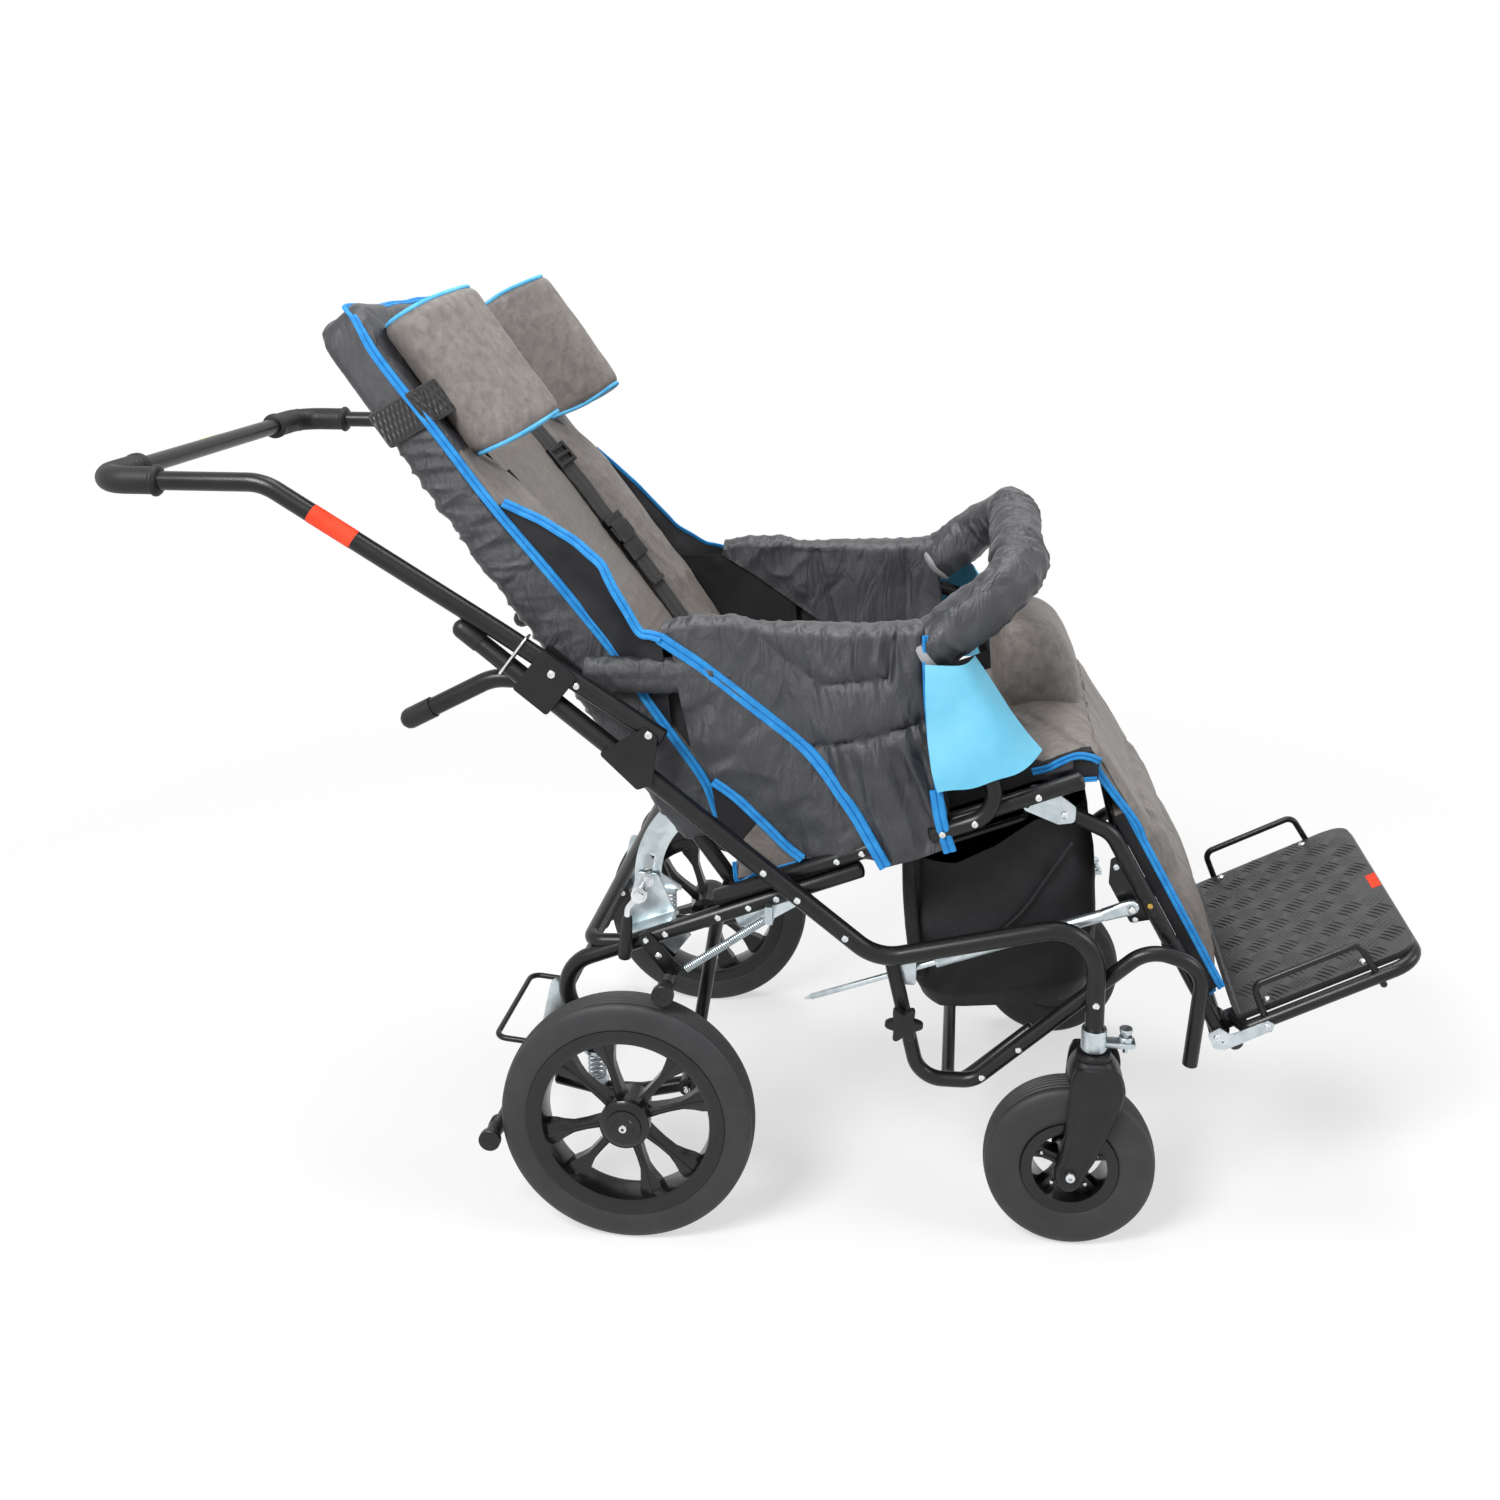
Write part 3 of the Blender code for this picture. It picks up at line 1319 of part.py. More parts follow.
def pedal_bar(name):
    bx, bz = PEDAL_BAR
    px, pz = PEDAL_PIVOT
    y_roll = REAR_TRACK_HALF - REAR_TYRE_HALF + 0.002
    pieces = []
    bores = []
    arm_y = RAIL_Y - RAIL_R - 0.017
    for _, out in SIDES:
        pieces.append(axle((bx, bz), out * y_roll, out * (y_roll + 0.018), 0.009))
        pieces.append(axle((bx, bz), out * (y_roll + 0.016), out * (y_roll + 0.044), ROLLER_R, 12))
        pieces.append(rod(world(px, out * arm_y, pz), world(bx, out * arm_y, bz), 0.006, 8))
        pieces.append(axle((px, pz), out * (arm_y - 0.009), out * (arm_y + 0.0135), 0.009))
        bores.append(cross_drill((px, pz), out * 0.17, out * 0.24, 0.004 + FIT))
    loop = fillet(
        [
            world(bx, -0.085, bz),
            world(-0.222, -0.085, bz + 0.006),
            world(-0.222, 0.085, bz + 0.006),
            world(bx, 0.085, bz),
        ],
        0.014,
        3,
    )
    pieces.append(sweep(loop, 0.0038, 8))
    bar = axle((bx, bz), -(y_roll + 0.004), y_roll + 0.004, 0.006)
    add_part(name, cut(combine(bar, pieces), bores), BLACK, world(px, 0, pz))


def swivel_lock(name, out):
    y = out * FRONT_TRACK_HALF
    x = STEM_X + 0.036
    z = STEM_END_Z
    body = combine(
        rod(world(x, y, z - 0.0035), world(x, y, z + 0.020), 0.003),
        [
            rod(world(x, y, z + 0.0115), world(x, y, z + 0.0165), 0.0075),
            rod(world(x, y, z + 0.0185), world(x, y, z + 0.0265), 0.0060),
        ],
    )
    add_part(name, body, ZINC, world(x, y, z))


for side, out in SIDES:
    main_tube(f"main_tube_{side}", out)
    lower_tube(f"lower_tube_{side}", out)
    armrest_tube(f"armrest_tube_{side}", out)
    handle_plate(f"handle_plate_{side}", out)
    handle_grip(f"handle_grip_{side}", out)
    lock_bail(f"lock_bail_{side}", out)
    recline_sector(f"recline_sector_{side}", out)
    head_wing(f"head_wing_{side}", out)
    side_panel(f"side_panel_{side}", out)
    castor_fork(f"castor_fork_{side}", out)
    front_wheel(side, out)
    rear_wheel(side, out)
    swivel_lock(f"swivel_lock_{side}", out)
    swing_arm(f"swing_arm_{side}", out)
    suspension_spring(f"suspension_spring_{side}", out)
    pull_spring(f"brake_spring_{side}", out)
    brake_lever(f"brake_lever_{side}", out)

lower_cross("lower_cross_tube")
rear_chassis("rear_chassis")
seat_frame("seat_frame")
push_handle("push_handle")
backrest_frame("backrest_frame")
back_pad("back_pad")
harness("harness")
recline_lever("recline_lever")
seat_cushion("seat_cushion")
basket("basket")
front_bar("front_bar")
legrest_frame("legrest_frame")
length_button("length_button")
calf_pad("calf_pad")
footrest_frame("footrest_frame")
foot_frame("footplate_frame")
footplate("footplate")
strut("legrest_strut")
star_knob("star_knob")
pedal_bar("brake_pedal_bar")
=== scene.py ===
import json
from math import atan, atan2, copysign, cos, exp, hypot, pi, radians, sin, sqrt, tan

import bmesh
import bpy
import numpy as np
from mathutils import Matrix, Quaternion, Vector, noise
from mathutils.bvhtree import BVHTree


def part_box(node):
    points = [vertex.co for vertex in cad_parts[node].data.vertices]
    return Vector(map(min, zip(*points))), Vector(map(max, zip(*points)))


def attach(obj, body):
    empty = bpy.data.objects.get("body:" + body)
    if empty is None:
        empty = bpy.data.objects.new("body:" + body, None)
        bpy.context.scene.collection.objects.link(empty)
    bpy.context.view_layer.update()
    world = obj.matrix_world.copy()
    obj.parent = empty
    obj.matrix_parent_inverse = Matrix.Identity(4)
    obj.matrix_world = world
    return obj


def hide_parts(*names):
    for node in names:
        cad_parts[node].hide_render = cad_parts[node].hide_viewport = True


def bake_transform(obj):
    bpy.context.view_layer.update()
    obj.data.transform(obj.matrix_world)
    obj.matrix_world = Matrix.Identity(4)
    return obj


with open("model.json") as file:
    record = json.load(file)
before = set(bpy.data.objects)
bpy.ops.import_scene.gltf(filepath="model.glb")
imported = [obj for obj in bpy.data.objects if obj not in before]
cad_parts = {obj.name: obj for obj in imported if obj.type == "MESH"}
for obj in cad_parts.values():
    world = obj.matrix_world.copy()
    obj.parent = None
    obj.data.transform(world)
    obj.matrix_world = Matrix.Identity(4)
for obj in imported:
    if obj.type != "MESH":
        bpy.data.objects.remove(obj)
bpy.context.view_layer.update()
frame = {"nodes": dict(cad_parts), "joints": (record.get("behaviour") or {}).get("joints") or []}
jointAt = {j["name"]: Vector(j["pos_m"]) for j in frame["joints"] if "pos_m" in j}
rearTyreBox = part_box("rear_tyre_right")
axleX = (rearTyreBox[0].x + rearTyreBox[1].x) / 2  # stations below are measured from the rear axle
sides = (("Right", "right", -1), ("Left", "left", 1))
print("frame loaded,", len(frame["nodes"]), "nodes")


# places

def mm(*spots):  # millimetres to metres
    return [tuple(v / 1000 for v in spot) for spot in spots]


def at(x, y, z):
    return Vector((x + axleX, y, z))


def leaning(pivot, degrees, flip=1):
    c, s = cos(radians(degrees)), sin(radians(degrees))

    def place(along, off, y):  # off is measured to the front or upper side
        return Vector((pivot.x + c * along + flip * s * off, y, pivot.z + s * along - flip * c * off))

    return place


backLean, legLean, footLean = 125.3, -61.4, 26.7
back = leaning(jointAt["backrest_recline"], backLean)
legKnee = at(0.556, 0, 0.4866)
leg = leaning(legKnee, legLean, -1)
foot = leaning(jointAt["footplate_flip"], footLean, -1)


def onLeg(s, y, n):
    return leg(s, n, y)


def onFoot(s, y, n):
    return foot(s, n, y)


seat = {"slope": 0.385, "x": 0.31, "z": 0.484}
mainY, handleY, railY, lowY, armY, postY, legY = 0.25, 0.266, 0.2285, 0.2175, 0.2265, 0.2025, 0.19
frontY, rearY, swingY, strutY, hangY = 0.238, 0.28, 0.2255, 0.201, 0.174
mainR, railR, armR, lowR, crossR, legR, innerR = 0.011, 0.01, 0.0095, 0.009, 0.008, 0.0095, 0.0075


def seatZ(x):
    return seat["z"] + seat["slope"] * (x - seat["x"])


def railZ(x):
    return seatZ(x) - (2 * railR + 0.0006) / cos(atan(seat["slope"]))


# finishes

def colour(code):  # sRGB hex to linear
    parts = [int(code[k:k + 2], 16) / 255 for k in (0, 2, 4)]
    return tuple(c / 12.92 if c < 0.04045 else ((c + 0.055) / 1.055) ** 2.4 for c in parts)


def startFinish(name, tone, rough, metal=0.0):
    made = bpy.data.materials.new(name)
    made.use_nodes = True
    tree = made.node_tree
    shader = tree.nodes["Principled BSDF"]
    shader.inputs["Base Color"].default_value = (*colour(tone), 1)
    shader.inputs["Roughness"].default_value = rough
    shader.inputs["Metallic"].default_value = metal
    return made, tree, shader


def node(tree, kind, wires=None, values=None, **settings):  # wires are sources, values constants
    made = tree.nodes.new(kind)
    for key, value in settings.items():
        setattr(made, key, value)
    for key, value in (values or {}).items():
        made.inputs[key].default_value = value
    for key, source in (wires or {}).items():
        tree.links.new(source, made.inputs[key])
    return made


def coords(tree, scale=(1, 1, 1), turn=(0, 0, 0), source="Object"):
    spot = node(tree, "ShaderNodeTexCoord").outputs[source]
    return node(tree, "ShaderNodeMapping", {"Vector": spot},
        {"Scale": scale, "Rotation": turn}).outputs["Vector"]


def cloud(tree, vector, scale, detail=2.0, rough=0.5, twist=0.0):
    values = {"Scale": scale, "Detail": detail, "Roughness": rough, "Distortion": twist}
    return node(tree, "ShaderNodeTexNoise", {"Vector": vector}, values).outputs["Fac"]


def bands(tree, vector, scale, axis="X"):
    return node(tree, "ShaderNodeTexWave", {"Vector": vector}, {"Scale": scale},
        bands_direction=axis).outputs["Fac"]


def tint(tree, shader, fac, stops):
    made = node(tree, "ShaderNodeValToRGB", {"Fac": fac})
    for spot, (where, tone) in zip(made.color_ramp.elements, stops):
        spot.position = where
        spot.color = (*colour(tone), 1)
    tree.links.new(made.outputs["Color"], shader.inputs["Base Color"])


def spread(tree, fac, low, high, socket):
    made = node(tree, "ShaderNodeMapRange", {"Value": fac}, {"To Min": low, "To Max": high})
    tree.links.new(made.outputs["Result"], socket)


def mixed(tree, a, b, how="MULTIPLY"):
    return node(tree, "ShaderNodeMath", {0: a, 1: b}, operation=how).outputs["Value"]


def relief(tree, shader, height, depth, strength=1.0, under=None):
    wires = {"Height": height} if under is None else {"Height": height, "Normal": under}
    made = node(tree, "ShaderNodeBump", wires,
        {"Distance": depth, "Strength": strength}).outputs["Normal"]
    tree.links.new(made, shader.inputs["Normal"])
    return made


def enamelFinish(name, tone, worn, low, high):
    made, tree, shader = startFinish(name, tone, 0.4)
    spot = coords(tree)
    tint(tree, shader, cloud(tree, spot, 35, 4), [(0.35, tone), (0.75, worn)])
    spread(tree, cloud(tree, spot, 60, 3), low, high, shader.inputs["Roughness"])
    relief(tree, shader, cloud(tree, spot, 900, 1), 0.0004, 0.25)  # orange peel of the powder coat
    shader.inputs["Specular IOR Level"].default_value = 0.32
    return made


def plasticFinish(name, tone, light, low, high, grain=700, shine=0.3):
    made, tree, shader = startFinish(name, tone, 0.5)
    spot = coords(tree)
    tint(tree, shader, cloud(tree, spot, 25, 3), [(0.3, tone), (0.8, light)])
    spread(tree, cloud(tree, spot, 90, 2), low, high, shader.inputs["Roughness"])
    relief(tree, shader, cloud(tree, spot, grain, 2), 0.0005, 0.3)
    shader.inputs["Specular IOR Level"].default_value = shine
    return made


def metalFinish(name, tone, light, low, high):
    made, tree, shader = startFinish(name, tone, 0.3, 1.0)
    spot = coords(tree)
    tint(tree, shader, cloud(tree, spot, 45, 5, 0.6, 0.6), [(0.3, tone), (0.72, light)])
    spread(tree, cloud(tree, spot, 120, 4), low, high, shader.inputs["Roughness"])
    relief(tree, shader, cloud(tree, spot, 500, 3), 0.0002, 0.25)
    return made


def clothFinish(name, **look):
    made, tree, shader = startFinish(name, look["tone"], 0.8)
    spot = coords(tree, look.get("nap", (1, 1, 1)))
    tint(tree, shader, cloud(tree, spot, look["patch"], 4, 0.6, look.get("twist", 0)),
        [(look.get("fromFac", 0.3), look["tone"]), (look.get("toFac", 0.72), look["light"])])
    spread(tree, cloud(tree, spot, 150, 2), look["low"], look["high"], shader.inputs["Roughness"])
    shader.inputs["Specular IOR Level"].default_value = look.get("shine", 0.22)
    shader.inputs["Sheen Weight"].default_value = look["sheen"]
    shader.inputs["Sheen Roughness"].default_value = look.get("fuzz", 0.4)
    shader.inputs["Sheen Tint"].default_value = (*colour(look["light"]), 1)
    plain = coords(tree)
    weave = mixed(tree, bands(tree, plain, look["weave"], "DIAGONAL"), bands(tree, plain, look["weave"],
        "Z"))
    normal = relief(tree, shader, weave, look["depth"], 0.5)
    lie = coords(tree, look.get("lie", (1, 1, 1)), look.get("slant", (0, 0, 0)))
    relief(tree, shader, cloud(tree, lie, look.get("rumple", 70), 3, 0.5, look.get("snag", 0)),
        look.get("rumpleDepth", 0.0015), look.get("rumpled", 0.35), normal)
    return made


def plainCloth(name, tone, light, patch, low, high, sheen, weave, depth):
    return clothFinish(name, tone=tone, light=light, patch=patch, low=low, high=high, sheen=sheen,
        weave=weave, depth=depth)


def strapFinish(name, tone, light, ribs):
    made, tree, shader = startFinish(name, tone, 0.75)
    spot = coords(tree, source="UV")
    height = mixed(tree, bands(tree, spot, ribs, "X"), bands(tree, spot, ribs, "Y"))
    # colour follows the ribs' height: painted shade in the hollows between ribs, lighter on the raised
    # threads
    tint(tree, shader, height, [(0.0, tone), (0.9, light)])
    relief(tree, shader, height, 0.0012, 0.8)
    shader.inputs["Sheen Weight"].default_value = 0.25
    return made


def braidFinish(name, tone, light, strands):
    made, tree, shader = startFinish(name, tone, 0.6)
    ways = [bands(tree, coords(tree, (1, 1, 1), (0, 0, radians(a)), "UV"), strands) for a in (38, -38)]
    height = mixed(tree, *ways)
    # colour follows the braid's height: painted shade in the hollows between strands, lighter on the strand
    # tops
    tint(tree, shader, height, [(0.05, tone), (0.7, light)])
    relief(tree, shader, height, 0.003, 1.0)
    shader.inputs["Sheen Weight"].default_value = 0.2
    return made


enamel = enamelFinish("blackEnamel", "121213", "1a1a1c", 0.24, 0.36)
plastic = plasticFinish("blackMouldedPlastic", "161618", "202022", 0.32, 0.48)
glossPlastic = plasticFinish("rimPlastic", "0e0e10", "161618", 0.16, 0.3, 300, 0.4)
rubber = plasticFinish("tyreRubber", "29292b", "343436", 0.46, 0.62, 420, 0.35)
gripRubber = plasticFinish("gripRubber", "171719", "222224", 0.42, 0.58, 900)
zinc = metalFinish("zincPlate", "a9b5ba", "d5dde0", 0.26, 0.44)
steel = metalFinish("brightSteel", "c9cccf", "eceeef", 0.14, 0.26)
brass = metalFinish("brassButton", "b08a3c", "d9b766", 0.2, 0.32)
yellowTape = plasticFinish("yellowTape", "e2d23c", "efe055", 0.35, 0.5)
redTape = plasticFinish("redTape", "e2391f", "ea4c31", 0.45, 0.6, 700, 0.15)
nylon = clothFinish("charcoalNylon", tone="2b2c2f", light="3a3b3f", patch=18, low=0.3, high=0.44,
    shine=0.48, sheen=0.12, weave=420, depth=0.0004, lie=(1.5, 1.5, 0.55), slant=(0, 0.35, 0), rumple=26,
    rumpleDepth=0.008, rumpled=0.7, snag=0.8)
velour = clothFinish("taupeVelour", tone="625d5a", light="7c7671", patch=95, fromFac=0.32, toFac=0.7,
    low=0.36, high=0.6, shine=0.45, sheen=0.45, fuzz=0.35, weave=700, depth=0.0002, twist=0.5,
    nap=(1.0, 2.2, 0.8), rumple=110, rumpleDepth=0.001)
darkNylon = plainCloth("blackNylon", "161618", "242427", 16, 0.42, 0.6, 0.2, 420, 0.0004)
azure = plainCloth("azureBinding", "1c76ba", "3391d2", 60, 0.45, 0.65, 0.3, 600, 0.0003)
# darker blue on the floor of the sewn groove between the binding's two rolls
deepAzure = plainCloth("azureGrooveFloor", "145a9e", "1c6cb2", 60, 0.6, 0.8, 0.1, 600, 0.0003)
paleAzure = plainCloth("paleAzurePiping", "4aa3d8", "6cbde6", 60, 0.5, 0.7, 0.3, 600, 0.0003)
cyan = plainCloth("cyanNylon", "66bbdc", "7cc8e4", 14, 0.5, 0.66, 0.3, 420, 0.0004)
greyTrim = plainCloth("greyTrim", "8d8d90", "a8a8ab", 50, 0.6, 0.8, 0.3, 500, 0.0004)
webbing = strapFinish("blackWebbing", "0c0c0d", "1d1d1f", 110)
elastic = braidFinish("braidedElastic", "050506", "1d1d1f", 84)
print("finishes made")


# shape tools

def jointSpot(name):  # side-view place of a joint, from the rear axle
    return jointAt[name].x - axleX, jointAt[name].z


def fillet(points, radius, steps=8):
    radii = radius if isinstance(radius, (list, tuple)) else [radius] * (len(points) - 2)
    result = [points[0].copy()]
    for before, corner, after, r in zip(points, points[1:], points[2:], radii):
        toBack, toFront = (before - corner).normalized(), (after - corner).normalized()
        turn = pi - toBack.angle(toFront)
        reach = min((before - corner).length, (after - corner).length) * 0.49
        tangent = min(r * tan(turn / 2), reach)
        if tangent < 1e-5:
            result.append(corner.copy())
            continue
        centre = corner + (toBack + toFront).normalized() * (tangent / tan(turn / 2) / cos(turn / 2))
        axis = toFront.cross(toBack).normalized()
        first = corner + toBack * tangent - centre
        result += [centre + Quaternion(axis, turn * k / steps) @ first for k in range(steps + 1)]
    return result + [points[-1].copy()]


def smoothLine(points, perSpan=8, closed=False):  # Catmull-Rom through the points
    points = [Vector(p) for p in points]
    first, last = points[0] * 2 - points[1], points[-1] * 2 - points[-2]
    padded = points[-1:] + points + points[:2] if closed else [first] + points + [last]
    line = []
    for a, b, c, d in zip(padded, padded[1:], padded[2:], padded[3:]):
        for k in range(perSpan):
            t = k / perSpan
            line.append(0.5 * (2 * b + (c - a) * t + (2 * a - 5 * b + 4 * c - d) * t * t
                + (3 * b - a - 3 * c + d) * t ** 3))
    return line if closed else line + [points[-1]]


def evenLine(raw, step):  # the same path with short, even spans
    line = []
    for a, b in zip(raw, raw[1:]):
        count = max(1, int((b - a).length / step))
        line += [a.lerp(b, k / count) for k in range(count)]
    return line + [raw[-1]]


def sideLine(out, spots):  # points of one side, given for the left one
    return [at(x, out * y, z) for x, y, z in spots]


def squared(a, px, py):  # unit circle drawn towards a square
    c, s = cos(a), sin(a)
    return copysign(abs(c) ** px, c), copysign(abs(s) ** py, s)


def rimWalk(across, along):  # pairs of neighbours round the edge of a grid
    edge = [(i, 0) for i in range(across)] + [(across, j) for j in range(along)]
    edge += [(i, along) for i in range(across, 0, -1)] + [(0, j) for j in range(along, 0, -1)]
    return zip(edge, edge[1:] + edge[:1])


def ringFrames(points, closed):
    count = len(points)
    tangents = []
    for i in range(count):
        ahead, behind = ((i + 1) % count, i - 1) if closed else (min(i + 1, count - 1), max(i - 1, 0))
        tangents.append((points[ahead] - points[behind]).normalized())
    side = Vector((0, 0, 1)) if abs(tangents[0].y) > 0.9 else Vector((0, 1, 0))
    across = []
    for tangent in tangents:
        side = (side - tangent * side.dot(tangent)).normalized()
        across.append(side)
    return tangents, across


def skinRings(bm, rings, mat, closed=False, caps=True):
    pairs = list(zip(rings, rings[1:])) + ([(rings[-1], rings[0])] if closed else [])
    for low, high in pairs:
        for k in range(len(low)):
            j = (k + 1) % len(low)
            bm.faces.new((low[k], low[j], high[j], high[k])).material_index = mat
    for end in (0, -1) if caps and not closed else ():
        bm.faces.new(rings[end]).material_index = mat


def tubeInto(bm, points, radius, around=18, mat=0, closed=False, domes=(0.0, 0.0)):
    tangents, across = ringFrames(points, closed)
    radii = radius if isinstance(radius, (list, tuple)) else [radius] * len(points)
    spots = list(zip(points, tangents, across, radii))
    for end, dome in zip((0, -1), domes):
        if dome:
            point, tangent, side, r = spots[end]
            out = tangent * (-1 if end == 0 else 1)
            extra = []
            for k in (1, 2, 3):
                a = radians(28 * k)
                extra.append((point + out * (r * dome * sin(a)), tangent, side, r * cos(a)))
            spots = extra[::-1] + spots if end == 0 else spots + extra
    rings = []
    for point, tangent, side, r in spots:
        other = tangent.cross(side)
        turns = [2 * pi * k / around for k in range(around)]
        rings.append([bm.verts.new(point + r * (cos(a) * side + sin(a) * other)) for a in turns])
    skinRings(bm, rings, mat, closed)


def rodInto(bm, start, end, radius, around=18, mat=0, domes=(0.0, 0.0)):
    tubeInto(bm, [Vector(start), Vector(end)], radius, around, mat, domes=domes)


def pinInto(bm, x, z, yA, yB, radius, around=18, mat=0, domes=(0.0, 0.0)):
    rodInto(bm, at(x, yA, z), at(x, yB, z), radius, around, mat, domes)


ribbonShape = {"plain": [(-1, 0), (-0.94, 0.8), (-0.8, 1), (0.8, 1), (0.94, 0.8), (1, 0), (0.94, -0.8),
    (0.8, -1), (-0.8, -1), (-0.94, -0.8)], "sewn": [(-1, 0), (-0.85, 0.75), (-0.5, 1), (-0.14, 0.75),
    (-0.05, 0.3), (0.05, 0.3), (0.14, 0.75), (0.5, 1), (0.85, 0.75), (1, 0), (0.8, -0.7), (-0.8, -0.7)],
    "groove": 4}


def ribbonInto(bm, points, normals, width, thick, mat=0, grooveMat=None):  # sewn: two rolls and a groove, whose floor takes the darker groove finish
    profile = ribbonShape["plain" if grooveMat is None else "sewn"]
    total = len(profile)
    layer = bm.loops.layers.uv.verify()
    rings, marks, run = [], [], 0.0
    for i, (point, up) in enumerate(zip(points, normals)):
        tangent = (points[min(i + 1, len(points) - 1)] - points[max(i - 1, 0)]).normalized()
        up = (up - tangent * up.dot(tangent)).normalized()
        side = tangent.cross(up)
        run += (point - points[i - 1]).length if i else 0.0
        marks.append(run)
        rings.append([bm.verts.new(point + side * (a * width / 2) + up * (b * thick / 2))
            for a, b in profile])
    for low, high, start, end in zip(rings, rings[1:], marks, marks[1:]):
        for k in range(total):
            j = (k + 1) % total
            face = bm.faces.new((low[k], low[j], high[j], high[k]))
            face.material_index = grooveMat if grooveMat is not None and k == ribbonShape["groove"] else mat
            for loop, (u, v) in zip(face.loops, ((k, start), (k + 1, start), (k + 1, end), (k, end))):
                loop[layer].uv = (width * u / total * 2, v)
    for ring in (rings[0], rings[-1]):
        bm.faces.new(ring).material_index = mat


def mergeInto(bm, part, mat):
    for face in part.faces:
        face.material_index = mat
    bmesh.ops.recalc_face_normals(part, faces=part.faces)
    mesh = bpy.data.meshes.new("step")
    part.to_mesh(mesh)
    part.free()
    bm.from_mesh(mesh)
    bpy.data.meshes.remove(mesh)


def rounded(outline, radius, steps=4):  # closed side-view outline with its corners rounded
    result = []
    count = len(outline)
    for i in range(count):
        before, corner, after = (Vector((*outline[k % count], 0)) for k in (i - 1, i, i + 1))
        arc = fillet([(before + corner) / 2, corner, (after + corner) / 2], radius, steps)[1:-1]
        result += [(p.x, p.y) for p in arc]
    return result


def plateInto(bm, outline, yA, yB, mat=0, edge=0.0007, place=at):
    part = bmesh.new()
    rims = [[part.verts.new(place(x, y, z)) for x, z in outline] for y in (yA, yB)]
    part.faces.new(rims[0])
    part.faces.new(rims[1])
    count = len(outline)
    for k in range(count):
        j = (k + 1) % count
        part.faces.new((rims[0][k], rims[0][j], rims[1][j], rims[1][k]))
    bmesh.ops.recalc_face_normals(part, faces=part.faces)
    if edge:
        rimEdges = [e for e in part.edges if any(len(f.verts) > 4 for f in e.link_faces)]
        if count <= 4:
            rimEdges = list(part.edges)
        bmesh.ops.bevel(part, geom=rimEdges, offset=edge, segments=2, affect="EDGES", profile=0.6)
    mergeInto(bm, part, mat)


def blockInto(bm, low, high, mat=0, edge=0.001, place=at):
    (ax, ay, az), (bx, by, bz) = low, high
    plateInto(bm, [(ax, az), (bx, az), (bx, bz), (ax, bz)], ay, by, mat, edge, place)


def latheInto(bm, profile, centre, out, segments=64, mat=0, ring=True, axis="Y"):
    columns = []
    for r, a in profile:
        column = []
        for k in range(1 if r < 1e-7 else segments):
            t = 2 * pi * k / segments
            c, s = r * cos(t), r * sin(t)
            spot = Vector((c, out * a, s)) if axis == "Y" else Vector((c, s, out * a))
            column.append(bm.verts.new(centre + spot))
        columns.append(column)
    pairs = list(zip(columns, columns[1:])) + ([(columns[-1], columns[0])] if ring else [])
    for first, second in pairs:
        for k in range(segments):
            j = (k + 1) % segments
            corners = []
            for column, index in ((first, k), (first, j), (second, j), (second, k)):
                vert = column[index % len(column)]
                if vert not in corners:
                    corners.append(vert)
            if len(corners) > 2:
                bm.faces.new(corners).material_index = mat


def helixLine(start, end, radius, turns, perTurn=20):
    axis = (end - start).normalized()
    side = axis.orthogonal().normalized()
    other = axis.cross(side)
    total = int(turns * perTurn)
    line = []
    for k in range(total + 1):
        a = 2 * pi * k / perTurn
        line.append(start.lerp(end, k / total) + radius * (cos(a) * side + sin(a) * other))
    return line


def addObject(name, data):
    obj = bpy.data.objects.new(name, data)
    bpy.context.scene.collection.objects.link(obj)
    return obj


def meshFrom(name, bm):
    bmesh.ops.recalc_face_normals(bm, faces=bm.faces)
    mesh = bpy.data.meshes.new(name)
    bm.to_mesh(mesh)
    bm.free()
    return mesh


def meshed(obj):  # the modifiers' result as a plain mesh
    graph = bpy.context.evaluated_depsgraph_get()
    result = bpy.data.meshes.new_from_object(obj.evaluated_get(graph))
    obj.modifiers.clear()
    return result


def linkMesh(name, mesh, finishes, body, stands=(), sharp=38):
    mesh.name = name
    if len(mesh.materials):
        mesh.materials.clear()
    for made in finishes:
        mesh.materials.append(made)
    mesh.shade_smooth()
    mesh.set_sharp_from_angle(angle=radians(sharp))
    obj = addObject(name, mesh)
    if body:
        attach(obj, body)
    if stands:
        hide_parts(*stands)
    return obj


def donePiece(name, bm, finishes, body, stands=(), sharp=38):
    return linkMesh(name, meshFrom(name, bm), finishes, body, stands, sharp)


# repeated pieces on spots, by Geometry Nodes

